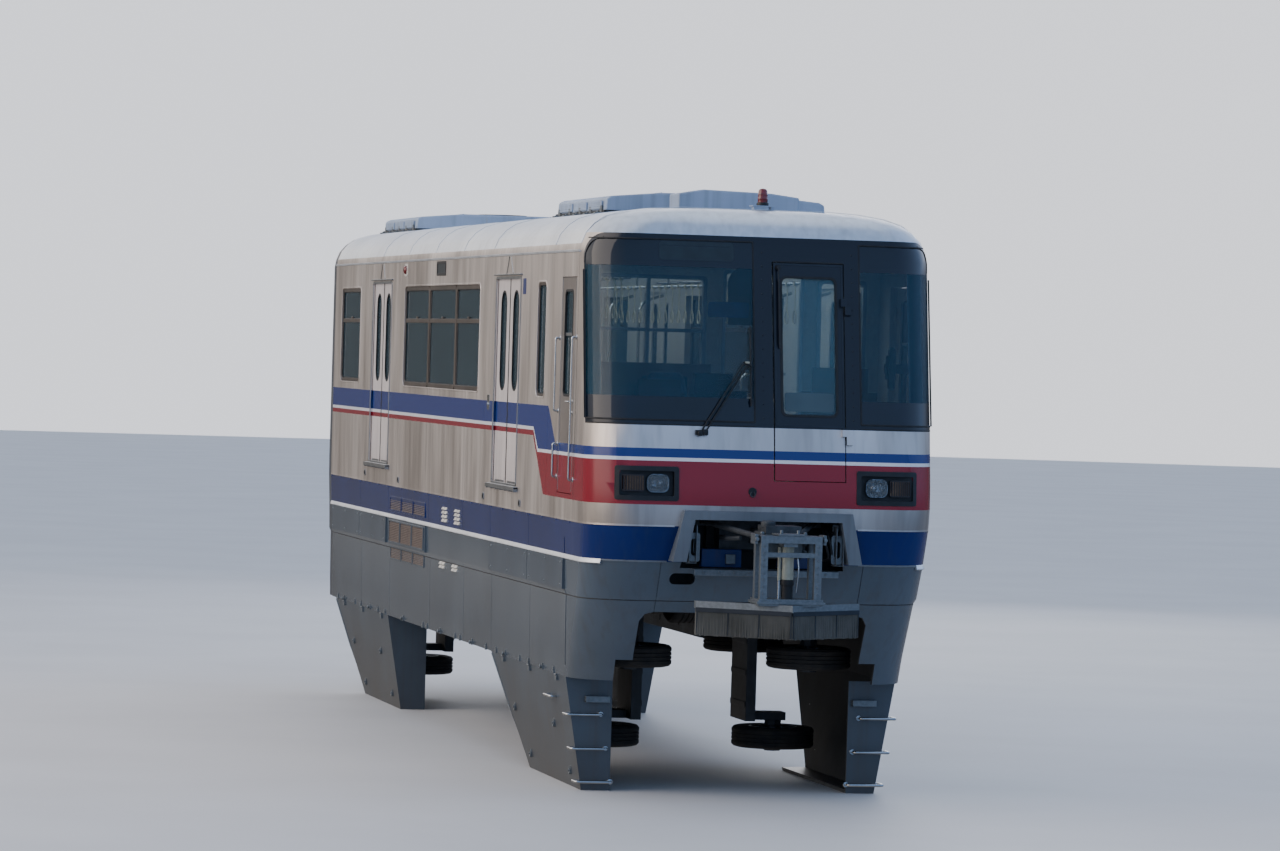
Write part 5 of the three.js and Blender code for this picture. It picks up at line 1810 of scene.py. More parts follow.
    def clamps(self) -> None:
        """Build the clamps and the rail that hold the bristles."""
        start, along, out, length = self.line()
        corners = ((-0.004, -0.002), (0.004, -0.002), (0.004, 0.010), (-0.004, 0.010))
        clamps = Blank("brush_clamps").use(DARK_FRAME)
        for share in (0.0, 0.335, 0.665, 1.0):
            at = 0.01 + (length - 0.02) * share
            clamps.loft([self.section(start + along * at, z, corners) for z in (1.43, self.clamp_top)])
        rings = []
        for at in (0.0, length):
            spot = start + along * at
            rings.append([tuple(spot + out * b + Vector((0.0, 0.0, z)))
                          for b, z in ((-0.002, 1.612), (0.012, 1.612), (0.012, 1.648), (-0.002, 1.648))])
        clamps.loft(rings).twin()
        clamps.place(bevel=0.001)

    def jack(self) -> None:
        """Build the lifting jack with its second tube, gland and rod."""
        jack = Blank("brush_jack").use(CREAM_PAINT)
        sleeve = [(0.0, 0.155), (0.047, 0.155), (0.05, 0.162), (0.05, 0.425), (0.0, 0.425)]
        jack.turned(sleeve, self.jack_foot, Axis.Z, 28)
        tube = [(0.0, 0.15), (0.012, 0.15), (0.014, 0.16), (0.014, 0.42), (0.0, 0.42)]
        jack.turned(tube, self.rod_foot, Axis.Z, 16)
        gland = [(0.0, 0.105), (0.05, 0.105), (0.055, 0.112), (0.055, 0.152), (0.0, 0.152)]
        jack.use(EPDM).turned(gland, self.jack_foot, Axis.Z, 24)
        rod = [(0.0, 0.0), (0.012, 0.0), (0.012, 0.16), (0.0, 0.16)]
        jack.use(POLISHED_ROD).turned(rod, self.rod_foot, Axis.Z, 14)
        jack.pipe(bent([(0.07, -0.80, 2.12), (0.085, -0.82, 1.98), (0.07, -0.80, 1.80)], 0.05), 0.006)
        jack.place(sharp=50)

    def lifting_frame(self) -> None:
        """Build the rings, cross bars and bolts of the lifting frame."""
        frame_bits = Blank("brush_frame_trim").use(ZINC)
        ring = [(0.006, -0.004), (0.012, -0.004), (0.013, 0.001), (0.006, 0.001), (0.006, -0.004)]
        for x in (-0.226, 0.226):
            for step in range(8):
                frame_bits.turned(ring, (x, -0.9, 1.79 + 0.055 * step), Axis.Y, 10)
        frame_bits.block((-0.2, 0.2), (-0.895, -0.865), (2.085, 2.125))
        frame_bits.block((-0.285, 0.285), (-0.935, -0.61), (1.705, 1.728))
        for x in (-0.30, 0.272):
            frame_bits.block((x, x + 0.028), (-0.86, -0.70), (2.19, 2.27))
            frame_bits.turned([(0.0, -0.034), (0.016, -0.032), (0.018, 0.0), (0.0, 0.0)],
                              (x + 0.014, -0.86, 2.23), Axis.Y, 12)
        frame_bits.block((-0.11, 0.11), (-0.90, -0.64), (2.262, 2.276))
        for x in (-0.07, 0.07):
            frame_bits.turned([(0.0, 0.03), (0.012, 0.03), (0.014, 0.0), (0.0, 0.0)], (x, -0.82, 2.276),
                              Axis.Z, 6)
        frame_bits.place(bevel=0.002)

    def place(self) -> None:
        """Build the drawbar, its bay and the brush."""
        Skin("coupler", self.steel_rule, bevel=0.005).place()
        Skin("beam_brush", self.brush_rule, bevel=0.003).place()
        self.bay()
        self.head()
        self.tufts()
        self.clamps()
        self.jack()
        self.lifting_frame()


@dataclass
class Doors:
    """Sliding leaves and cab doors with their panes, rubbers, frames and sills."""

    slide_face: float = 1.472
    cab_face: float = 1.488
    pane_half: float = 0.132
    pane_z: Pair = (3.348, 4.227)
    pane_round: float = 0.122
    cab_y: Pair = (0.895, 1.514)
    cab_pane: tuple[Pair, Pair] = ((1.033, 1.376), (3.338, 4.222))

    def leaf_rule(self, centre: Vector, normal: Vector) -> Finish:
        """Finish of a face of a leaf: film outside, lining inside."""
        return LINING if normal.x * centre.x < 0 and abs(centre.x) < 1.46 else DOOR_FILM

    def cab_rule(self, centre: Vector, normal: Vector) -> Finish:
        """Finish of a face of a cab door: filmed steel outside, lining inside."""
        return LINING if normal.x * centre.x < 0 and abs(centre.x) < 1.46 else CAB_DOOR_STEEL

    def leaf(self, node: str, side: Side, y: Pair, meeting: float) -> None:
        """Dress one sliding leaf.

        Args:
            node: Its CAD node and body.
            side: Side of the car.
            y: Opening that its pane is centred in.
            meeting: The edge where it meets the other leaf.
        """
        sign, middle = side.value, (y[0] + y[1]) / 2
        span = (middle - self.pane_half, middle + self.pane_half)
        outline = oblong(span, self.pane_z, self.pane_round, 8)
        cutter = knife(Blank("hole").prism(outline, Axis.X, (sign * 1.3, sign * 1.6)))
        Skin(node, self.leaf_rule, cutter).place()
        remove(cutter)
        pane = Blank(f"{node}_pane").use(TINTED)
        inner = oblong(inset(span, 0.001), inset(self.pane_z, 0.001), self.pane_round - 0.001, 8)
        pane.prism(inner, Axis.X, (sign * 1.455, sign * 1.461)).place(node)
        rubber = Blank(f"{node}_rubber").use(EPDM)
        wide = oblong(inset(span, -0.012), inset(self.pane_z, -0.012), self.pane_round + 0.012, 8)
        tight = oblong(inset(span, 0.006), inset(self.pane_z, 0.006), self.pane_round - 0.006, 8)
        rubber.border(wide, tight, Axis.X, (sign * 1.454, sign * (self.slide_face + 0.0016)))
        toward = math.copysign(0.018, middle - meeting)
        nose = sorted((meeting, meeting + toward))
        rubber.block((sign * 1.444, sign * (self.slide_face + 0.001)), (nose[0], nose[1]), (2.512, 4.365))
        rubber.use(ALUMINIUM)
        rubber.block((sign * 1.45, sign * (self.slide_face + 0.0012)), (span[0] - 0.09, span[1] + 0.09),
                     (2.512, 2.53))
        rubber.place(node)

    def cab_door(self, side: Side) -> None:
        """Dress a cab door with its drop window, handle and lock.

        Args:
            side: Side of the car.
        """
        sign, node = side.value, f"cab_door_{side.label}"
        y, z = self.cab_pane
        cutter = knife(Blank("hole").prism(oblong(y, z, 0.052), Axis.X, (sign * 1.3, sign * 1.6)))
        Skin(node, self.cab_rule, cutter).place()
        remove(cutter)
        pane = Blank(f"{node}_pane").use(TINTED)
        pane.prism(oblong(inset(y, 0.001), inset(z, 0.001), 0.05), Axis.X, (sign * 1.468, sign * 1.474))
        pane.place(node)
        trim = Blank(f"{node}_trim").use(EPDM)
        trim.border(oblong(inset(y, -0.012), inset(z, -0.012), 0.06),
                    oblong(inset(y, 0.008), inset(z, 0.008), 0.044), Axis.X,
                    (sign * 1.466, sign * (self.cab_face + 0.003)))
        trim.use(ALUMINIUM).block((sign * 1.466, sign * 1.482), (y[0] + 0.006, y[1] - 0.006), (3.84, 3.865))
        for edge in (self.cab_y[0] + 0.006, self.cab_y[1] - 0.014):
            trim.block((sign * 1.47, sign * (self.cab_face + 0.002)), (edge, edge + 0.008), (2.53, 4.32))
        trim.use(POLISHED_ROD)
        at = self.cab_face
        grip = bent([(sign * at, 0.985, 3.285), (sign * (at + 0.035), 0.985, 3.285),
                     (sign * (at + 0.035), 1.10, 3.285), (sign * at, 1.10, 3.285)], 0.02)
        trim.pipe(grip, 0.007)
        for height in (3.285, 3.19):
            profile = [(0.02, 0.0), (0.02, sign * 0.004), (0.006, sign * 0.008), (0.0, sign * 0.008)]
            trim.turned(profile, (sign * at, 0.955, height), Axis.X, 18)
        trim.place(node, bevel=0.001)

    def place(self) -> None:
        """Build every door, and the frames and sills of the doorways."""
        for side in Side:
            self.cab_door(side)
            for name, start, end in DOORWAYS:
                middle = (start + end) / 2
                self.leaf(f"door_{name}_{side.label}_fore", side, (start, middle), middle - 0.003)
                self.leaf(f"door_{name}_{side.label}_aft", side, (middle, end), middle + 0.003)
        frames = Blank("doorway_frames").use(ALUMINIUM)
        sills = Blank("doorway_sills").use(ALUMINIUM)
        for _, start, end in DOORWAYS:
            outer = oblong((start - 0.022, end + 0.022), (2.49, 4.362), 0.035)
            inner = oblong((start + 0.001, end - 0.001), (2.512, 4.339), 0.014)
            frames.border(outer, inner, Axis.X, (-1.4965, -1.486))
            frames.block((-1.512, -1.489), (start - 0.06, end + 0.06), (4.372, 4.384))
            y = (start - 0.11, end + 0.11)
            for x, z in (((-1.528, -1.49), (2.468, 2.474)), ((-1.532, -1.526), (2.456, 2.492)),
                         ((-1.526, -1.49), (2.484, 2.49))):
                sills.block(x, y, z)
            for rib in range(3):
                x = -1.518 + 0.010 * rib
                sills.block((x, x + 0.004), y, (2.49, 2.4925))
            for step in range(7):
                at = start - 0.09 + (end - start + 0.18) * step / 6
                sills.block((-1.526, -1.488), (at - 0.006, at + 0.006), (2.445, 2.47))
        frames.twin().place(bevel=0.002)
        sills.twin().place(bevel=0.001)


@dataclass
class Windows:
    """Saloon windows: bronze frames, hoppers and tinted panes."""

    z: Pair = (3.3105, 4.2995)
    rail: float = 3.96
    bays: tuple[Pair, ...] = ((5.4885, 6.824), (6.824, 8.359), (8.359, 9.7815))
    mullions: tuple[Pair, ...] = ((6.762, 6.886), (8.292, 8.426))
    narrow: Pair = (2.2245, 2.6105)
    rear: Pair = (12.6485, 13.9425)

    def bay(self, blank: Blank, y: Pair, hopper: bool, slim: float) -> None:
        """Add one framed light.

        Args:
            blank: Frames in the making.
            y: Its place along the car.
            hopper: Whether its head opens inwards on a rail.
            slim: Width of the frame's face.
        """
        low, high = inset(y, slim), inset(self.z, slim)
        blank.border(oblong(y, self.z, 0.058), oblong(low, high, 0.045), Axis.X, (-1.483, -1.449))
        blank.use(EPDM)
        blank.border(oblong(low, high, 0.045), oblong(inset(low, 0.007), inset(high, 0.007), 0.038), Axis.X,
                     (-1.479, -1.462))
        blank.use(BRONZE_ANODISED)
        if hopper:
            blank.block((-1.480, -1.455), low, (self.rail - 0.02, self.rail + 0.02))
            blank.block((-1.483, -1.452), (sum(y) / 2 - 0.05, sum(y) / 2 + 0.05),
                        (self.rail + 0.022, self.rail + 0.04))

    def place(self) -> None:
        """Build the windows of both sides."""
        for side in Side:
            frames = Blank(f"window_frames_{side.label}").use(BRONZE_ANODISED)
            for y in self.bays:
                self.bay(frames, y, True, 0.04)
            for y in self.mullions:
                frames.block((-1.477, -1.452), y, inset(self.z, 0.004))
            self.bay(frames, self.narrow, False, 0.022)
            self.bay(frames, self.rear, True, 0.035)
            panes = Blank(f"window_panes_{side.label}").use(TINTED)
            for y in (*self.bays, self.narrow, self.rear):
                panes.prism(oblong(inset(y, 0.024), inset(self.z, 0.024), 0.04), Axis.X, (-1.470, -1.464))
            if side is Side.LEFT:
                for blank in (frames, panes):
                    bmesh.ops.scale(blank.form, vec=(-1.0, 1.0, 1.0), verts=blank.form.verts)
            frames.place(replaces=(f"window_middle_{side.label}",), bevel=0.0015)
            panes.place()
        rims = Blank("window_rims").use(STAINLESS)
        for y in ((5.488, 9.782), (2.224, 2.611), (12.648, 13.943)):
            rims.border(oblong(inset(y, -0.016), (3.294, 4.316), 0.072), oblong(y, (3.31, 4.30), 0.06),
                        Axis.X, (-1.4935, -1.484))
        rims.twin().place(bevel=0.002)


@dataclass
class SideTrim:
    """Grilles, vents, clips, rails, lamps and labels' places along both sides."""

    clips: tuple[tuple[float, bool], ...] = (
        (13.98, False), (13.53, True), (12.80, False), (12.39, False), (11.77, True), (11.25, False),
        (10.79, False), (9.63, True), (8.44, False), (8.20, False), (7.43, True), (6.61, False),
        (6.33, False), (5.68, True), (4.95, False), (4.44, False), (3.98, True), (3.27, False),
        (2.84, False), (2.18, True), (1.68, False),
    )
    grilles: tuple[tuple[Pair, Pair, float, bool], ...] = (
        ((8.24, 10.42), (2.035, 2.183), 1.4775, True),
        ((8.25, 10.38), (1.715, 1.945), 1.489, False),
        ((8.40, 10.48), (1.54, 1.675), 1.4495, False),
    )
    vents: tuple[tuple[float, Pair, float, int], ...] = (
        (7.13, (2.04, 2.195), 1.478, 4),
        (6.43, (2.04, 2.195), 1.478, 4),
        (7.35, (1.59, 1.66), 1.4505, 2),
        (6.65, (1.59, 1.66), 1.4505, 2),
    )

    def grille_rows(self) -> None:
        """Build the framed louvres in front of the equipment."""
        frames = Blank("grille_frames").use(SKIRT_ENAMEL)
        slats = Blank("grille_louvres").use(LOUVRE)
        for span, z, x, blue in self.grilles:
            width = (span[1] - span[0]) / 3
            frames.use(BLUE_BAND if blue else SKIRT_ENAMEL)
            for column in range(3):
                y = (span[0] + width * column + 0.012, span[0] + width * (column + 1) - 0.012)
                frames.border(oblong(y, z, 0.012), oblong(inset(y, 0.022), inset(z, 0.016), 0.006), Axis.X,
                              (-x - 0.009, -x + 0.004))
                slats.block((-x - 0.0005, -x + 0.003), inset(y, 0.02), inset(z, 0.014))
                rows = int((z[1] - z[0] - 0.03) / 0.017)
                for row in range(rows):
                    foot = z[0] + 0.018 + 0.017 * row
                    outline = [(-x - 0.0002, foot), (-x - 0.007, foot), (-x - 0.008, foot + 0.002),
                               (-x - 0.0002, foot + 0.012)]
                    slats.prism(outline, Axis.Y, inset(y, 0.023))
        frames.twin().place(bevel=0.0012)
        slats.twin().place()

    def vent_hoods(self) -> None:
        """Build the small pressed vents."""
        hoods = Blank("vent_hoods").use(VENT_ENAMEL)
        for y, z, x, rows in self.vents:
            pitch = (z[1] - z[0]) / rows
            for row in range(rows):
                foot = z[0] + pitch * row
                for start in (y - 0.14, y + 0.01):
                    outline = [(-x + 0.002, foot), (-x - 0.016, foot), (-x - 0.017, foot + 0.003),
                               (-x - 0.004, foot + pitch * 0.72), (-x + 0.002, foot + pitch * 0.8)]
                    hoods.prism(outline, Axis.Y, (start, start + 0.125))
        hoods.twin().place(bevel=0.002)

    def foot_clips(self) -> None:
        """Build the catches along the skirts' feet and the top of the blue band."""
        clips = Blank("skirt_catches").use(ZINC)
        for y, knob in self.clips:
            clips.block((-1.450, -1.436), (y - 0.024, y + 0.024), (0.955, 0.992))
            clips.block((-1.447, -1.438), (y - 0.012, y + 0.012), (0.992, 1.012))
            if knob:
                profile = [(0.0, -0.026), (0.016, -0.024), (0.019, -0.016), (0.013, -0.008), (0.013, 0.002)]
                clips.turned(profile, (-1.447, y, 0.978), Axis.X, 16)
        clips.use(BLUE_ENAMEL)
        for first, last in zip((0.9, *SKIRT_JOINTS), (*SKIRT_JOINTS, REAR)):
            for share in (0.02, 0.34, 0.67, 0.98):
                y = first + (last - first) * share
                clips.block((-1.492, -1.484), (y - 0.02, y + 0.02), (2.268, 2.282))
        clips.use(ZINC)
        bolt = [(0.0, -0.004), (0.009, -0.003), (0.011, 0.001)]
        for first, last in RAISED_BOXES:
            for share in (0.06, 0.5, 0.94):
                for z in (1.735, 1.925):
                    clips.turned(bolt, (-1.489, first + (last - first) * share, z), Axis.X, 12)
        clips.twin().place(bevel=0.001)

    def rails(self) -> None:
        """Build the grab rails beside the cab doors."""
        rails = Blank("cab_grab_rails").use(POLISHED_ROD)
        for y, z in ((0.84, (2.63, 3.83)), (1.565, (3.20, 3.82)), (1.565, (2.64, 2.92))):
            path = [(-1.49, y, z[0]), (-1.527, y, z[0]), (-1.527, y, z[1]), (-1.49, y, z[1])]
            rails.pipe(bent(path, 0.03), 0.0105, 12)
            for height in z:
                rails.turned([(0.0, -0.006), (0.02, -0.006), (0.024, 0.001), (0.0, 0.001)],
                             (-1.49, y, height), Axis.X, 18)
        rails.twin().place(sharp=50)

    def belts(self) -> None:
        """Build the lip over the blue band and the bead below it."""
        lip = Blank("belt_lip").use(STAINLESS)
        section = [(-0.004, 2.283), (0.003, 2.284), (0.003, 2.296), (-0.004, 2.297)]
        lip.belt(plan(2.29, gap=0.78), section).twin().place()
        bead = Blank("belt_bead").use(ROOF_SHEET)
        section = [(-0.006, 1.958), (0.006, 1.959), (0.012, 1.964), (0.012, 1.969), (0.001, 1.999),
                   (-0.006, 2.003)]
        path = plan(1.996, gap=0.82)
        bead.belt(path[6:], section)
        # Across the front the bead is thin and in the lighter hood grey, which paints the highlight along the
        # skirt's upper edge.
        section = [(-0.006, 1.984), (0.004, 1.985), (0.006, 1.991), (0.001, 1.999), (-0.006, 2.001)]
        bead.use(HOOD_COAT_AND_EDGE_HIGHLIGHT).belt(path[:7], section).twin().place()
        # A thin black strip under the skirt's fold paints the shadow line below the fold.
        fold_shadow = Blank("skirt_fold_sealant").use(EPDM)
        section = [(-0.006, 1.652), (0.002, 1.653), (0.002, 1.660), (-0.006, 1.661)]
        fold_shadow.belt(plan(1.656, gap=0.0), section).twin().place()
        gutter = Blank("rain_gutter").use(ROOF_SHEET)
        for side in Side:
            x = side.value
            section = ((1.487, 4.545), (1.500, 4.548), (1.502, 4.566), (1.497, 4.567), (1.4955, 4.556),
                       (1.484, 4.556))
            gutter.prism([(x * out, z) for out, z in section], Axis.Y, (0.78, REAR - 0.004))
        gutter.place(bevel=0.001)

    def small_parts(self) -> None:
        """Build the lamps, indicator windows, rain fins, sockets and blank labels."""
        parts = Blank("side_fittings").use(VENT_ENAMEL)
        parts.prism(oblong((9.66, 9.84), (4.405, 4.53), 0.02), Axis.X, (-1.494, -1.488))
        parts.use(RED_LENS)
        parts.turned([(0.0, -0.026), (0.03, -0.024), (0.042, -0.012), (0.044, 0.002)], (-1.494, 9.75, 4.467),
                     Axis.X, 24)
        parts.use(BLACK_ABS)
        parts.border(oblong((7.40, 7.91), (4.395, 4.535), 0.02), oblong((7.425, 7.885), (4.42, 4.51), 0.012),
                     Axis.X, (-1.496, -1.486))
        parts.use(DISPLAY).prism(oblong((7.42, 7.89), (4.415, 4.515), 0.012), Axis.X, (-1.4915, -1.487))
        parts.use(ALUMINIUM)
        for top, foot in ((4.04, 4.16), (11.25, 11.35), (3.96, 3.84), (11.17, 11.07)):
            path = [(-1.489, top, 4.54), (-1.4895, (top + foot) / 2, 4.46), (-1.4895, foot, 4.388)]
            parts.pipe(path, 0.007)
        for y, z in ((12.05, 2.375), (3.23, 2.355), (5.05, 2.36), (9.9, 2.36)):
            parts.use(ALUMINIUM)
            parts.prism(oblong((y - 0.04, y + 0.04), (z - 0.032, z + 0.032), 0.01), Axis.X, (-1.496, -1.486))
            parts.use(BLACK_ABS)
            parts.turned([(0.012, -0.004), (0.022, -0.004), (0.024, 0.001), (0.012, 0.001), (0.012, -0.004)],
                         (-1.496, y, z), Axis.X, 16)
        parts.use(BLUE_ENAMEL).prism(oblong((3.20, 3.34), (4.20, 4.34), 0.01), Axis.X, (-1.4925, -1.488))
        parts.use(POLISHED_ROD).prism(oblong((4.86, 4.98), (3.15, 3.29), 0.01), Axis.X, (-1.4925, -1.488))
        parts.turned([(0.0, -0.012), (0.014, -0.010), (0.018, 0.001)], (-1.4925, 4.92, 3.2), Axis.X, 16)
        parts.use(EPDM)
        for y in (0.795, 0.806):
            parts.block((-1.4905, -1.486), (y - 0.0015, y + 0.0015), (2.48, 4.54))
        parts.twin().place(bevel=0.001)

    def place(self) -> None:
        """Build the fittings of both sides."""
        self.grille_rows()
        self.vent_hoods()
        self.foot_clips()
        self.rails()
        self.belts()
        self.small_parts()


@dataclass
class Covers:
    """Rungs, catches and hinges on the bogie covers."""

    foot: Pair = (1.278, 0.0)
    top: Pair = (1.438, 0.96)

    def reach(self, z: float) -> float:
        """Distance of a cover's outer face from the middle at a height."""
        return self.foot[0] + (self.top[0] - self.foot[0]) * (z - self.foot[1]) / (self.top[1] - self.foot[1])

    def rungs(self) -> None:
        """Build the climbing rungs round the front covers' outer corners."""
        steps = Blank("cover_rungs").use(POLISHED_ROD)
        for z in (0.645, 0.355, 0.075):
            out = self.reach(z)
            path = [(-out + 0.26, 1.155, z), (-out + 0.26, 1.085, z), (-out - 0.05, 1.085, z),
                    (-out - 0.05, 1.24, z), (-out, 1.24, z)]
            steps.pipe(bent(path, 0.035), 0.0125, 12)
            steps.turned([(0.0, -0.006), (0.022, -0.006), (0.026, 0.001), (0.0, 0.001)], path[0], Axis.Y, 16)
        out = self.reach(0.755)
        steps.pipe(bent([(-out, 1.70, 0.755), (-out - 0.06, 1.70, 0.755), (-out - 0.06, 1.98, 0.755),
                         (-out, 1.98, 0.755)], 0.03), 0.0125, 12)
        steps.twin().place(sharp=50)
        bracket = Blank("cover_steps").use(ZINC)
        tray, low, lip = (-1.267, -1.058), 0.748, 0.80
        for x, y, high in ((tray, (1.10, 1.157), 0.756), (tray, (1.097, 1.105), lip),
                           ((-1.267, -1.259), (1.10, 1.157), lip), ((-1.066, -1.058), (1.10, 1.157), lip)):
            bracket.block(x, y, (low, high))
        bracket.twin().place(bevel=0.001)

    def catches(self) -> None:
        """Build the slotted catches and the hinges of every cover."""
        parts = Blank("cover_catches").use(ZINC)
        table = ((3.80, 0.535), (1.96, 0.53), (1.50, 0.16), (3.30, 0.16), (13.19, 0.57), (11.40, 0.57),
                 (11.0, 0.16), (12.75, 0.16))
        for y, z in table:
            out = self.reach(z)
            shell = Blank("catch").use(ZINC)
            shell.border(oblong((y - 0.026, y + 0.026), (z - 0.055, z + 0.055), 0.024),
                         oblong((y - 0.012, y + 0.012), (z - 0.038, z + 0.038), 0.011), Axis.X,
                         (-out - 0.008, -out + 0.02))
            shell.turned([(0.0, -0.02), (0.011, -0.018), (0.012, 0.0)], (-out, y, z - 0.02), Axis.X, 12)
            shell.turn(9.46, Axis.Y, (-out, y, z))
            parts.absorb(shell)
        for front in (1.155, 10.62):
            for share in (0.12, 0.5, 0.88):
                y = front + 3.3 * share
                parts.block((-1.452, -1.430), (y - 0.045, y + 0.045), (0.905, 0.95))
                parts.pipe([(-1.450, y - 0.04, 0.952), (-1.450, y + 0.04, 0.952)], 0.009)
        parts.twin().place(bevel=0.001)
        seams = Blank("cover_edges").use(COVER_ENAMEL)
        for front in (1.155, 10.62):
            low = (-self.reach(0.03) + 0.02, front + 2.36, 0.035)
            middle = (-self.reach(0.5), front + 2.44 + (0.41 / 0.87) * 1.1, 0.5)
            seams.pipe([low, middle, (-self.reach(0.94), front + 3.50, 0.94)], 0.009)
        seams.twin().place()

    def place(self) -> None:
        """Build what is fixed to the covers."""
        self.rungs()
        self.catches()


@dataclass
class RoofGear:
    """Roof units with their brackets, panels, fans and ducts."""

    spans: tuple[Pair, ...] = ((2.295, 4.49), (12.29, 14.40))
    top: float = 5.105
    seams: tuple[float, ...] = (0.82, 1.95, 4.9, 6.5, 8.1, 9.7, 11.3)

    def plinths(self) -> None:
        """Build the dark ring at each unit's foot, which paints its shadow gap, and its hold-down brackets.
        """
        # The dark ring round each unit's foot is painted shade for the gap between unit and roof.
        trim = Blank("roof_unit_trim").use(UNDERSEAL)
        for span in self.spans:
            loops = []
            for x, y in ((0.994, inset(span, -0.004)), (0.97, inset(span, 0.02))):
                loops.append([(-x, y[0]), (x, y[0]), (x, y[1]), (-x, y[1])])
            trim.border(*loops, Axis.Z, (4.905, 4.945))
        trim.use(ZINC)
        for start, end in self.spans:
            for step in range(5):
                y = start + 0.15 + (end - start - 0.3) * step / 4
                for x in (-1.05, 0.985):
                    trim.block((x, x + 0.065), (y - 0.04, y + 0.04), (4.912, 4.925))
                    trim.block((x + (0.055 if x < 0 else 0.0), x + (0.065 if x < 0 else 0.01)),
                               (y - 0.04, y + 0.04), (4.912, 4.985))
                    trim.turned([(0.0, 0.012), (0.009, 0.011), (0.011, 0.0)], (x + 0.03, y, 4.925), Axis.Z, 6)
        trim.place(bevel=0.0015)

    def panels(self) -> None:
        """Build the louvres and the bolted lids of the units."""
        panels = Blank("roof_unit_panels").use(UNIT_PAINT)
        bolt = [(0.0, 0.009), (0.008, 0.009), (0.010, 0.0)]
        for start, end in self.spans:
            for first, last in ((0.06, 0.33), (0.37, 0.63), (0.67, 0.94)):
                y = (start + (end - start) * first, start + (end - start) * last)
                for x in (-0.9935, 0.9795):
                    panels.block((x, x + 0.014), y, (4.955, 5.025))
                    for slat in range(4):
                        z = 4.962 + 0.016 * slat
                        panels.block((x - 0.003, x + 0.017), inset(y, 0.03), (z, z + 0.005))
            for first, last in ((0.03, 0.32), (0.345, 0.655), (0.68, 0.97)):
                y = (start + (end - start) * first, start + (end - start) * last)
                panels.prism(oblong((-0.5, 0.5), y, 0.03), Axis.Z, (self.top - 0.002, self.top + 0.005))
                for x in (-0.47, 0.47):
                    for at in inset(y, 0.03):
                        panels.turned(bolt, (x, at, self.top + 0.001), Axis.Z, 6)
        panels.place(bevel=0.0012)

    def fans(self) -> None:
        """Build the fan guards."""
        fans = Blank("roof_unit_fans").use(BLACK_ABS)
        for start, end in self.spans:
            for share in (0.175, 0.825):
                centre = (0.0, start + (end - start) * share, self.top)
                for radius in (0.06, 0.11, 0.16, 0.21, 0.255):
                    ring = [(radius - 0.005, 0.004), (radius + 0.005, 0.004), (radius + 0.004, 0.014),
                            (radius - 0.004, 0.014), (radius - 0.005, 0.004)]
                    fans.turned(ring, centre, Axis.Z, 28)
                fans.turned([(0.0, 0.004), (0.05, 0.004), (0.045, 0.016), (0.0, 0.018)], centre, Axis.Z, 20)
                for spoke in range(6):
                    angle = math.tau * spoke / 6
                    reach = Vector((math.cos(angle), math.sin(angle), 0.0))
                    base = Vector(centre) + Vector((0.0, 0.0, 0.010))
                    fans.pipe([base + reach * 0.04, base + reach * 0.26], 0.004)
        fans.place()

    def roof_sheet(self) -> None:
        """Build the roof's seams, walkway mats, cable duct and aerial."""
        roof = Blank("roof_seams").use(ROOF_SHEET)
        for y in self.seams:
            heights = [row[0] for row in LEVELS if row[0] >= 4.62]
            right = [(-level(z, 1), z) for z in heights]
            outline = right + [(-x, z) for x, z in reversed(right)]
            outer = [(x * 1.0015, z + 0.0035) for x, z in outline]
            for low, high, low_out, high_out in zip(outline, outline[1:], outer, outer[1:]):
                roof.prism([low, high, high_out, low_out], Axis.Y, (y - 0.012, y + 0.012))
        roof.use(EPDM)
        for x in (-0.35, 0.35):
            for y in (4.7, 5.9, 7.1, 8.3, 9.5, 10.7):
                roof.block((x - 0.15, x + 0.15), (y, y + 1.12), (4.946, 4.953))
        roof.use(ALUMINIUM)
        roof.pipe(bent([(0.12, 1.68, 4.99), (0.12, 1.9, 5.0), (0.12, 2.31, 5.0)], 0.05), 0.02)
        roof.turned([(0.0, 0.0), (0.02, 0.0), (0.016, 0.018), (0.005, 0.03), (0.0025, 0.12), (0.0, 0.122)],
                    (-0.3, 11.9, 4.948), Axis.Z, 12)
        roof.place()

    def place(self) -> None:
        """Build what is on the roof."""
        for node in ("air_unit_front", "air_unit_rear"):
            Skin(node, lambda centre, normal: UNIT_PAINT, bevel=0.012).place()
        self.plinths()
        self.panels()
        self.fans()
        self.roof_sheet()


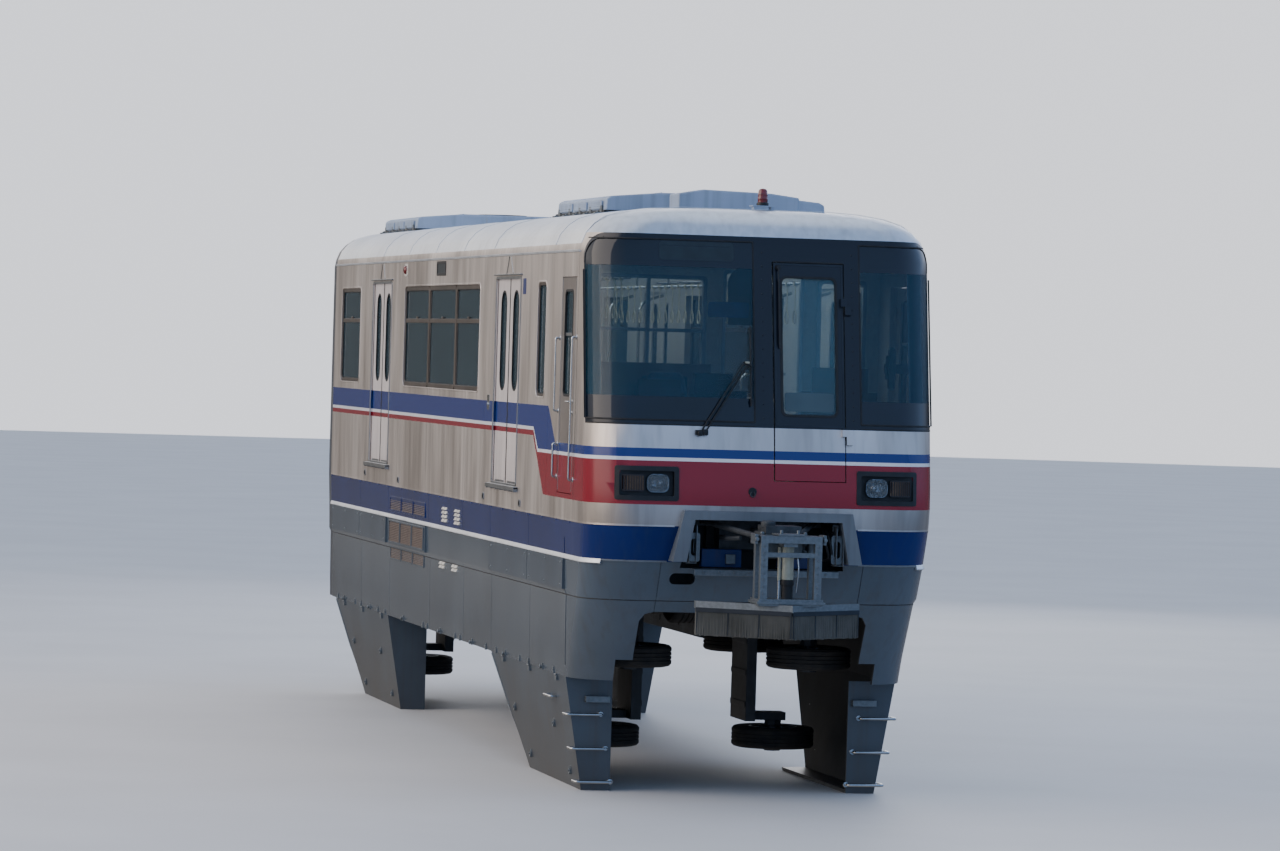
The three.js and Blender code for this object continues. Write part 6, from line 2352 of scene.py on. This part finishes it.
@dataclass
class RunningGear:
    """Bogies with their tyres, guide wheels and stabilising wheels."""

    tyre_radius: float = 0.503
    axle_height: float = 1.88
    axle_offset: float = 0.75
    guide: tuple[float, float] = (0.365, 0.095)
    guide_x: float = 0.79
    guide_offset: float = 1.25
    guide_z: float = 1.127
    stabiliser_z: float = 0.35

    def frame_rule(self, centre: Vector, normal: Vector) -> Finish:
        """Finish of a face of a bogie frame: rubber on the air springs, chassis paint elsewhere."""
        return BELLOWS if centre.z > 2.02 and abs(centre.x) > 0.38 else CHASSIS_PAINT

    def tread(self, radius: float, start: float, end: float, grooves: int) -> list[Pair]:
        """Profile of a tyre's running face with its grooves.

        Args:
            radius: Radius of the running face.
            start: Its first end along the axis.
            end: Its last end.
            grooves: Number of grooves round the tyre.

        Returns:
            Radius and place along the axis of each point.
        """
        profile: list[Pair] = []
        pitch = (end - start) / (grooves + 1)
        for groove in range(1, grooves + 1):
            at = start + pitch * groove
            for offset, depth in ((-0.006, 0.0), (-0.004, 0.009), (0.004, 0.009), (0.006, 0.0)):
                profile.append((radius - depth, at + offset))
        return [(radius, start)] + profile + [(radius, end)]

    def axle(self, name: str, end: str, y: float) -> None:
        """Build a running axle with its twin tyres, rims and nuts.

        Args:
            name: Bogie that it belongs to.
            end: Its end of the bogie.
            y: Its place along the car.
        """
        node = f"axle_{name}_{end}"
        wheel = Blank(f"{node}_wheels").use(TYRE)
        centre = (0.0, y, self.axle_height)
        r = self.tyre_radius
        for sign in (-1, 1):
            side = [(0.30, 0.068), (0.42, 0.056), (0.478, 0.058), (0.496, 0.074)]
            tread = self.tread(r, 0.092, 0.318, 4)
            outer = [(0.496, 0.336), (0.478, 0.352), (0.42, 0.354), (0.30, 0.342)]
            profile = [(a, b * sign) for a, b in (*side, *tread, *outer)]
            wheel.use(TYRE).turned([*profile, profile[0]], centre, Axis.X, 48)
            rim = [(0.075, 0.070), (0.295, 0.070), (0.305, 0.078), (0.305, 0.338), (0.295, 0.346),
                   (0.26, 0.342), (0.235, 0.30), (0.19, 0.29), (0.075, 0.29), (0.075, 0.070)]
            wheel.use(ZINC).turned([(a, b * sign) for a, b in rim], centre, Axis.X, 40)
            for nut in range(10):
                angle = math.tau * nut / 10
                spot = (0.0, y + 0.165 * math.cos(angle), self.axle_height + 0.165 * math.sin(angle))
                wheel.turned([(0.0, 0.316 * sign), (0.016, 0.314 * sign), (0.018, 0.288 * sign)], spot,
                             Axis.X, 6)
        wheel.use(CAST_STEEL)
        shaft = [(0.0, -0.56), (0.058, -0.56), (0.066, -0.552), (0.066, -0.40), (0.16, -0.36), (0.18, -0.29),
                 (0.18, -0.06), (0.21, -0.052), (0.21, 0.052), (0.18, 0.06), (0.18, 0.29), (0.16, 0.36),
                 (0.066, 0.40), (0.066, 0.552), (0.058, 0.56), (0.0, 0.56)]
        wheel.turned(shaft, centre, Axis.X, 32)
        wheel.place(node, replaces=(node,), sharp=28)

    def small_wheel(self, node: str, centre: Point) -> None:
        """Build a guide wheel or stabilising wheel on its pin.

        Args:
            node: Its CAD node and body.
            centre: Its middle.
        """
        radius, half = self.guide
        wheel = Blank(f"{node}_tyre").use(TYRE)
        tread = self.tread(radius, -half + 0.028, half - 0.028, 3)
        profile = [(0.21, -half + 0.006), (radius - 0.05, -half), (radius - 0.018, -half + 0.008), *tread,
                   (radius - 0.018, half - 0.008), (radius - 0.05, half), (0.21, half - 0.006)]
        wheel.turned([*profile, profile[0]], centre, Axis.Z, 40)
        rim = [(0.046, -half + 0.012), (0.20, -half + 0.012), (0.212, -half + 0.004), (0.212, half - 0.004),
               (0.20, half - 0.012), (0.13, half - 0.03), (0.046, half - 0.03), (0.046, -half + 0.012)]
        wheel.use(ZINC).turned(rim, centre, Axis.Z, 32)
        for nut in range(8):
            angle = math.tau * nut / 8
            spot = (centre[0] + 0.155 * math.cos(angle), centre[1] + 0.155 * math.sin(angle), centre[2])
            wheel.turned([(0.0, half - 0.01), (0.012, half - 0.012), (0.013, half - 0.04)], spot, Axis.Z, 6)
        wheel.place(node, replaces=(node,), sharp=28)

    def dressing(self, name: str, y: float) -> None:
        """Add the motors, dampers and pipes of a bogie.

        Args:
            name: The bogie.
            y: Its centre along the car.
        """
        node = f"bogie_{name}"
        parts = Blank(f"{node}_equipment").use(CHASSIS_PAINT)
        for sign in (-1, 1):
            for end in (-1, 1):
                axle = y + end * self.axle_offset
                cap = [(0.0, 0.085), (0.10, 0.083), (0.115, 0.07), (0.115, 0.0), (0.0, 0.0)]
                parts.turned([(a, b * sign) for a, b in cap], (0.64 * sign, axle, self.axle_height), Axis.X,
                             28)
                for bolt in range(6):
                    angle = math.tau * bolt / 6
                    spot = (0.0, axle + 0.088 * math.cos(angle), self.axle_height + 0.088 * math.sin(angle))
                    parts.turned([(0.0, 0.732 * sign), (0.011, 0.731 * sign), (0.012, 0.722 * sign)], spot,
                                 Axis.X, 6)
                parts.block(tuple(sorted((0.642 * sign, 0.66 * sign))), (axle - 0.16, axle + 0.16),
                            (1.62, 1.70))
            parts.use(POLISHED_ROD)
            parts.pipe([(0.69 * sign, y - 0.26, 1.75), (0.69 * sign, y - 0.26, 2.12)], 0.022, 14)
            parts.use(CHASSIS_PAINT)
            parts.pipe([(0.69 * sign, y - 0.26, 1.64), (0.69 * sign, y - 0.26, 1.93)], 0.036, 16)
            parts.block(tuple(sorted((0.64 * sign, 0.74 * sign))), (y - 0.31, y - 0.21), (1.60, 1.66))
            parts.use(ZINC)
            pipe = bent([(0.655 * sign, y - 1.3, 1.93), (0.655 * sign, y + 1.3, 1.93),
                         (0.655 * sign, y + 1.3, 1.72)], 0.08)
            parts.pipe(pipe, 0.011).use(CHASSIS_PAINT)
            for z in (0.62, 0.90, 1.18, 1.46):
                parts.block(tuple(sorted((0.462 * sign, 0.468 * sign))), (y - 0.29, y + 0.29), (z, z + 0.05))
        parts.block((-0.30, 0.30), (y - 1.50, y - 1.425), (1.62, 1.78))
        parts.block((-0.30, 0.30), (y + 1.425, y + 1.50), (1.62, 1.78))
        parts.place(node, bevel=0.004)

    def place(self) -> None:
        """Build both bogies."""
        for name, y in BOGIES:
            Skin(f"bogie_{name}", self.frame_rule, bevel=0.006).place()
            self.dressing(name, y)
            for end, sign in (("fore", -1), ("aft", 1)):
                self.axle(name, end, y + sign * self.axle_offset)
            for side in Side:
                x = side.value * self.guide_x
                self.small_wheel(f"stabiliser_{name}_{side.label}", (x, y, self.stabiliser_z))
                for end, sign in (("fore", -1), ("aft", 1)):
                    spot = (x, y + sign * self.guide_offset, self.guide_z)
                    self.small_wheel(f"guide_wheel_{name}_{side.label}_{end}", spot)


@dataclass
class Underfloor:
    """Floor, sills, cross beams, equipment cases and pipes below the saloon."""

    cross_beams: tuple[float, ...] = (1.16, 4.60, 4.86, 10.37, 10.80, 14.12)
    cases: tuple[Pair, ...] = ((4.98, 7.52), (7.68, 10.27))
    hangers: tuple[float, ...] = (5.4, 6.6, 7.8, 9.0, 10.1)

    def beams(self) -> None:
        """Build the sills and the cross beams."""
        beams = Blank("underfloor_beams").use(UNDERSEAL)
        for y in ((1.02, 4.88), (10.36, 14.25)):
            for x in (-1.29, -1.20):
                beams.block((x, x + 0.012), y, (2.25, 2.444))
            beams.block((-1.29, -1.188), y, (2.25, 2.262))
        beams.twin()
        for y in self.cross_beams:
            beams.block((-1.37, 1.37), (y, y + 0.012), (2.30, 2.444))
            beams.block((-1.37, 1.37), (y, y + 0.07), (2.30, 2.312))
        beams.place(bevel=0.002)

    def lids(self) -> None:
        """Build the lids of the equipment cases with their hinges and louvres."""
        lids = Blank("equipment_case_lids").use(CHASSIS_PAINT)
        for first, last in self.cases:
            step = (last - first) / 3
            for column in range(3):
                y = (first + step * column + 0.03, first + step * (column + 1) - 0.03)
                lids.prism(oblong(y, (1.16, 2.36), 0.03), Axis.X, (-0.561, -0.552))
                lids.prism([(x, z) for x, z in oblong((-1.32, -0.61), y, 0.03)], Axis.Z, (1.090, 1.101))
                for z in (1.25, 2.27):
                    lids.block((-0.552, -0.543), (y[0] + 0.08, y[0] + 0.14), (z - 0.02, z + 0.02))
                    lids.block((-0.552, -0.543), (y[1] - 0.14, y[1] - 0.08), (z - 0.02, z + 0.02))
                for slat in range(9):
                    z = 1.50 + 0.04 * slat
                    lids.prism([(-0.552, z), (-0.543, z), (-0.552, z + 0.026)], Axis.Y,
                               (y[0] + 0.18, y[1] - 0.18))
        lids.twin().place(bevel=0.002)

    def pipes(self) -> None:
        """Build the air pipes with their hangers."""
        pipes = Blank("underfloor_pipes").use(ZINC)
        for x, radius in ((-0.46, 0.021), (-0.40, 0.016), (0.42, 0.021), (0.36, 0.013), (0.48, 0.016)):
            pipes.pipe([(x, 4.93, 2.405), (x, 10.30, 2.405)], radius, 10)
        for y in self.hangers:
            for x in ((-0.5, -0.34), (0.32, 0.52)):
                pipes.block(x, (y, y + 0.03), (2.43, 2.446))
            for x in (-0.43, 0.42):
                pipes.block((x - 0.07, x + 0.07), (y + 0.012, y + 0.018), (2.375, 2.44))
        pipes.place()

    def place(self) -> None:
        """Build what hangs below the floor."""
        Skin("floor", lambda centre, normal: VINYL if normal.z > 0.5 else UNDERSEAL).place()
        for bogie, _ in BOGIES:
            Skin(f"bolster_{bogie}", lambda centre, normal: CHASSIS_PAINT, bevel=0.006).place()
        for side in Side:
            Skin(f"equipment_case_{side.label}", lambda centre, normal: CHASSIS_PAINT, bevel=0.01).place()
        self.beams()
        self.lids()
        self.pipes()


@dataclass
class RearEnd:
    """Rear wall, gangway doorway, bellows and sockets behind the fairing."""

    def place(self) -> None:
        """Build the car's inner end."""
        bellows = Blank("gangway_bellows").use(BELLOWS)
        for fold in range(4):
            y = 14.586 + 0.015 * fold
            for out, at in ((0.0, 0.0), (-0.018, 0.0075)):
                outer = oblong((-0.492 - out, 0.492 + out), (2.55 - out, 4.52 + out), 0.05)
                inner = oblong((-0.455, 0.455), (2.585, 4.485), 0.04)
                bellows.border(outer, inner, Axis.Y, (y + at, y + at + 0.0068))
        bellows.place()
        frame = Blank("gangway_frame").use(ALUMINIUM)
        outer, inner = oblong((-0.515, 0.515), (2.515, 4.545), 0.03), oblong((-0.421, 0.421), (2.561, 4.449),
                                                                             0.02)
        frame.border(outer, inner, Axis.Y, (14.43, 14.448))
        outer, inner = oblong((-0.445, 0.445), (2.54, 4.475), 0.03), oblong((-0.419, 0.419), (2.562, 4.448),
                                                                            0.02)
        frame.border(outer, inner, Axis.Y, (14.27, 14.332))
        frame.place(bevel=0.002)
        sockets = Blank("rear_sockets").use(CHASSIS_PAINT)
        lefts, width = (-1.05, -0.78, 0.66, 0.93), 0.18
        for x in lefts:
            sockets.prism(oblong((x, x + width), (2.75, 3.0), 0.02), Axis.Y, (14.428, 14.52))
        sockets.use(ZINC)
        lid = [(0.0, 0.03), (0.05, 0.03), (0.055, 0.0), (0.0, 0.0)]
        for x in lefts:
            sockets.turned(lid, (x + width / 2, 14.52, 2.875), Axis.Y, 24)
        for x in (-0.75, 0.73):
            sockets.pipe(bent([(x, 14.43, 3.3), (x, 14.48, 3.3), (x, 14.48, 4.2), (x, 14.43, 4.2)], 0.03),
                         0.012)
        for z in (3.15, 4.35):
            for x in ((-1.30, -0.56), (0.56, 1.30)):
                sockets.block(x, (14.43, 14.438), (z, z + 0.03))
        sockets.place(bevel=0.003)


@dataclass
class Interior:
    """Saloon and cab fittings that show through the glass."""

    bench_y: Pair = (5.33, 9.94)
    places: int = 10
    strap_pitch: float = 0.30

    def bulkhead_rule(self, centre: Vector, normal: Vector) -> Finish:
        """Finish of a face of the partition behind the cab: brown laminate at the foot."""
        return LAMINATE if centre.z < 3.42 else LINING

    def cushion(self, name: str, x: Pair, y: Pair, z: Pair, upright: bool, cells: int,
                replaces: Sequence[str]) -> None:
        """Build a crowned cushion with a sewn channel between its places.

        Args:
            name: Name of the piece.
            x: Span across the car.
            y: Span along the car.
            z: Span of height.
            upright: Whether it is a back, crowned towards the aisle, and not a seat.
            cells: Number of places.
            replaces: CAD nodes that it stands for.
        """
        rows, columns = 10, 10 * cells
        rings = []
        for column in range(columns + 1):
            along = column / columns
            cell = (along * cells) % 1.0 if column < columns else 1.0
            swell = 1.0 - abs(2 * cell - 1.0) ** 6
            end = 1.0 - abs(2 * along - 1.0) ** 60
            ring = []
            for row in range(rows + 1):
                up = row / rows
                crown = (1.0 - abs(2 * up - 1.0) ** 4) * (0.45 + 0.55 * swell)
                pull = 0.012 * (1.0 - swell) * (abs(2 * up - 1.0) ** 2)
                ring.append((up, crown * (0.3 + 0.7 * end), pull))
            rings.append((along, ring))
        loops = []
        for along, ring in rings:
            at = y[0] + (y[1] - y[0]) * along
            loop = []
            for up, crown, pull in ring:
                if upright:
                    wide = z[0] + pull + (z[1] - z[0] - 2 * pull) * up
                    lean = (x[1] - x[0]) * 0.35 * up
                    front = x[0] + lean + (x[1] - x[0]) * 0.5 * (1 - crown)
                    loop.append((front, at, wide))
                else:
                    wide = x[0] + pull + (x[1] - x[0] - 2 * pull) * up
                    loop.append((wide, at, z[0] + (z[1] - z[0]) * (0.45 + 0.55 * crown)))
            if upright:
                loop += [(x[1], at, z[1]), (x[1], at, z[0])]
            else:
                loop += [(x[1], at, z[0]), (x[0], at, z[0])]
            loops.append(loop)
        pad = Blank(name).use(MOQUETTE).loft(loops)
        piece = pad.place(replaces=replaces, sharp=60)

    def benches(self) -> None:
        """Build the long seats with their heater boxes and end rails."""
        for side in Side:
            sign, label = side.value, side.label
            seat = tuple(sorted((0.955 * sign, 1.30 * sign)))
            y = inset(self.bench_y, 0.01)
            self.cushion(f"bench_cushion_{label}", (seat[0], seat[1]), y, (2.87, 2.965), False,
                         self.places, (f"bench_{label}",))
            back = (1.285 * sign, 1.383 * sign)
            self.cushion(f"bench_back_{label}", back, y, (2.975, 3.285), True, self.places, ())
        base = Blank("bench_boxes").use(LINING)
        base.prism([(-1.388, 2.508), (-1.07, 2.508), (-1.07, 2.80), (-0.965, 2.855), (-0.965, 2.868),
                    (-1.388, 2.868)], Axis.Y, self.bench_y)
        base.use(ZINC)
        for step in range(20):
            y = self.bench_y[0] + 0.15 + 0.22 * step
            for z in (2.58, 2.61, 2.64, 2.67, 2.70):
                base.block((-1.069, -1.066), (y, y + 0.16), (z, z + 0.012))
        base.use(POLISHED_ROD)
        for y in (5.30, 9.97):
            path = [(-1.38, y, 3.55), (-0.96, y, 3.55), (-0.96, y, 2.51)]
            base.pipe(bent(path, 0.1), 0.014, 12)
        base.twin().place(bevel=0.002)

    def ceiling(self) -> None:
        """Build the ceiling lamps and their channels."""
        lamps = Blank("ceiling_lamps").use(DIFFUSER)
        for start in (2.15, 4.15, 6.15, 8.15, 10.15, 12.15):
            lamps.prism(oblong((-0.52, -0.34), (start, start + 1.86), 0.03), Axis.Z, (4.812, 4.846))
        lamps.use(LINING).block((-0.56, -0.30), (2.05, 14.15), (4.846, 4.862))
        lamps.twin().block((-0.12, 0.12), (2.05, 14.15), (4.84, 4.862))
        lamps.place(bevel=0.003)

    def rails(self) -> None:
        """Build the hand rails, poles and racks."""
        rails = Blank("hand_rails").use(POLISHED_ROD)
        rails.pipe([(-0.78, 2.15, 4.36), (-0.78, 13.95, 4.36)], 0.015, 10)
        for y in (2.3, 3.3, 4.8, 6.3, 7.8, 9.3, 10.4, 11.95, 13.7):
            rails.pipe([(-0.78, y, 4.36), (-0.78, y, 4.82)], 0.012, 8)
        for y in (3.30, 4.80, 10.45, 11.97):
            rails.pipe(bent([(-1.30, y, 4.30), (-1.05, y, 4.22), (-1.05, y, 2.515)], 0.12), 0.015, 10)
        rails.pipe([(-1.12, 5.35, 4.42), (-1.12, 9.92, 4.42)], 0.012, 8)
        for y in (5.4, 6.55, 7.65, 8.75, 9.87):
            rails.pipe([(-1.386, y, 4.40), (-1.10, y, 4.42)], 0.012, 8)
        rails.twin().place(sharp=50)

    def straps(self) -> None:
        """Build the hanging straps, with none in the doorways."""
        straps = Blank("hanging_straps").use(RING_PLASTIC)
        for step in range(int((13.6 - 2.5) / self.strap_pitch)):
            y = 2.5 + self.strap_pitch * step
            if 3.35 < y < 4.75 or 10.5 < y < 11.9:
                continue
            straps.block((-0.799, -0.761), (y - 0.018, y + 0.018), (4.335, 4.38))
            straps.block((-0.783, -0.777), (y - 0.012, y + 0.012), (4.13, 4.34))
            ring = [(-0.78, y + 0.055 * math.sin(a) * (1.0 - 0.35 * math.cos(a)), 4.065 + 0.06 * math.cos(a))
                    for a in (math.tau * turn / 10 for turn in range(11))]
            straps.pipe(ring, 0.007, 6)
        straps.twin().place()

    def cab(self) -> None:
        """Build the bulkhead, desk, desk fittings, visor, handset and partition frames."""
        Skin("cab_bulkhead", self.bulkhead_rule, slices=(3.42,)).place()
        Skin("driver_console", lambda centre, normal: DESK, bevel=0.012).place()
        frames = Blank("partition_frames").use(ALUMINIUM)
        for x, z in (((-1.15, -0.18), (3.45, 4.36)), ((0.86, 1.24), (3.45, 4.36))):
            frames.border(oblong(inset(x, -0.03), inset(z, -0.03), 0.04),
                          oblong(inset(x, 0.004), inset(z, 0.004), 0.03), Axis.Y, (1.868, 1.932))
        frames.block((-0.68, -0.65), (1.875, 1.925), (3.454, 4.356))
        frames.block((-1.146, -0.184), (1.875, 1.925), (3.90, 3.93))
        outer, inner = oblong((-0.01, 0.71), (2.512, 4.45), 0.03), oblong((0.021, 0.679), (2.516, 4.419),
                                                                          0.02)
        frames.border(outer, inner, Axis.Y, (1.868, 1.932))
        frames.use(LAMINATE)
        for x in ((-1.30, -0.10), (0.80, 1.30)):
            frames.block(x, (1.866, 1.879), (3.36, 3.63))
        frames.place(bevel=0.002)
        fittings = Blank("cab_fittings").use(BLACK_ABS)
        fittings.prism([(0.60, 3.33), (0.80, 3.27), (0.80, 3.36), (0.66, 3.56), (0.58, 3.56)], Axis.X,
                       (-0.52, -0.20))
        fittings.prism([(0.56, 3.33), (0.76, 3.29), (0.74, 3.44), (0.60, 3.50)], Axis.X, (-1.0, -0.64))
        fittings.block((-0.32, -0.12), (0.36, 0.50), (3.3, 3.42))
        fittings.turned([(0.0, 0.10), (0.028, 0.095), (0.034, 0.06), (0.02, 0.02), (0.012, 0.0), (0.0, 0.0)],
                        (-0.86, 0.70, 3.30), Axis.Z, 20)
        fittings.turned([(0.0, 0.08), (0.02, 0.078), (0.026, 0.05), (0.01, 0.02), (0.01, 0.0), (0.0, 0.0)],
                        (-0.60, 0.70, 3.31), Axis.Z, 20)
        fittings.prism(oblong((1.105, 1.16), (3.46, 3.82), 0.025), Axis.Y, (0.40, 0.44))
        fittings.block((1.09, 1.175), (0.44, 0.46), (3.55, 3.75))
        fittings.block((1.12, 1.15), (0.46, 0.62), (3.62, 3.66))
        fittings.block((1.12, 1.39), (0.60, 0.63), (3.60, 3.68))
        fittings.use(DISPLAY)
        fittings.prism([(0.662, 3.552), (0.798, 3.352), (0.801, 3.355), (0.665, 3.556)], Axis.X,
                       (-0.49, -0.23))
        fittings.place(bevel=0.004)
        shade = Blank("sun_screen").use(BLACK_ABS)
        crown = arc((-0.14, 4.30), 0.165, 60, 175, 10)
        rounded = [(-0.29, 3.97), (-0.03, 3.97), (-0.03, 4.42), *crown, (-0.30, 4.24)]
        shade.prism(rounded, Axis.Y, (0.40, 0.415))
        shade.use(VISOR_FILM).prism(oblong((-0.47, -0.12), (4.03, 4.16), 0.02), Axis.Y, (0.385, 0.392))
        shade.use(POLISHED_ROD).pipe([(-0.13, 0.41, 4.42), (-0.13, 0.41, 3.80)], 0.008).place()

    def driver_seat(self) -> None:
        """Build the cab's seat: crowned cushion, back, pedestal and arm rests."""
        for name, centre, size, lean, covers in (
            ("driver_seat_cushion", (-0.56, 1.305, 2.93), (0.21, 0.218, 0.045), 0.0, ("driver_seat",)),
            ("driver_seat_back", (-0.56, 1.565, 3.26), (0.20, 0.036, 0.31), 8.0, ()),
        ):
            pad = Blank(name).use(MOQUETTE)
            rings = []
            for step in range(17):
                across = -1 + 2 * step / 16
                trim = 1.0 - abs(across) ** 7 * 0.5
                ring = []
                for turn in range(32):
                    angle = math.tau * turn / 32
                    c, s = math.cos(angle), math.sin(angle)
                    a = math.copysign(abs(c) ** 0.35, c) * trim
                    b = math.copysign(abs(s) ** 0.35, s) * trim
                    groove = 0.0
                    for seam in (-0.55, 0.55):
                        groove = max(groove, 1.0 - abs(across - seam) / 0.07)
                    thin = 1.0 - 0.14 * max(groove, 0.0)
                    if covers:
                        b *= thin
                    else:
                        a *= thin
                    ring.append((centre[0] + size[0] * across, centre[1] + size[1] * a,
                                 centre[2] + size[2] * b))
                rings.append(ring)
            pad.loft(rings)
            if lean:
                pad.turn(-lean, Axis.X, centre)
            piece = pad.place(replaces=covers, sharp=70)
            inflate(piece)
        stand = Blank("driver_seat_stand").use(CHASSIS_PAINT)
        stand.turned([(0.0, 0.0), (0.16, 0.0), (0.17, 0.012), (0.12, 0.03), (0.06, 0.05), (0.05, 0.36),
                      (0.07, 0.37), (0.0, 0.37)], (-0.56, 1.31, 2.5075), Axis.Z, 32)
        stand.block((-0.74, -0.38), (1.14, 1.48), (2.868, 2.882))
        stand.use(BLACK_ABS)
        for x in (-0.80, -0.36):
            stand.prism(oblong((1.25, 1.52), (3.13, 3.17), 0.018), Axis.X, (x, x + 0.045))
            stand.pipe(bent([(x + 0.022, 1.50, 3.14), (x + 0.022, 1.56, 3.14), (x + 0.022, 1.56, 2.90)],
                            0.04), 0.012)
        stand.block((-0.76, -0.36), (1.612, 1.626), (3.0, 3.52))
        stand.place(bevel=0.003)

    def place(self) -> None:
        """Build the saloon and the cab."""
        self.benches()
        self.ceiling()
        self.rails()
        self.straps()
        self.cab()
        self.driver_seat()


def main() -> None:
    """Build the car and its stage in order; each piece's face count goes to the log."""
    logging.basicConfig(level=logging.INFO, format="%(name)s %(message)s")
    parts = (BodyShell(), CabFront(), Lamps(), Coupler(), Doors(), Windows(), SideTrim(), Covers(),
             RoofGear(), RunningGear(), Underfloor(), RearEnd(), Interior(), Studio())
    for part in parts:
        LOG.info("building %s", type(part).__name__)
        part.place()


if __name__ == "__main__":
    main()
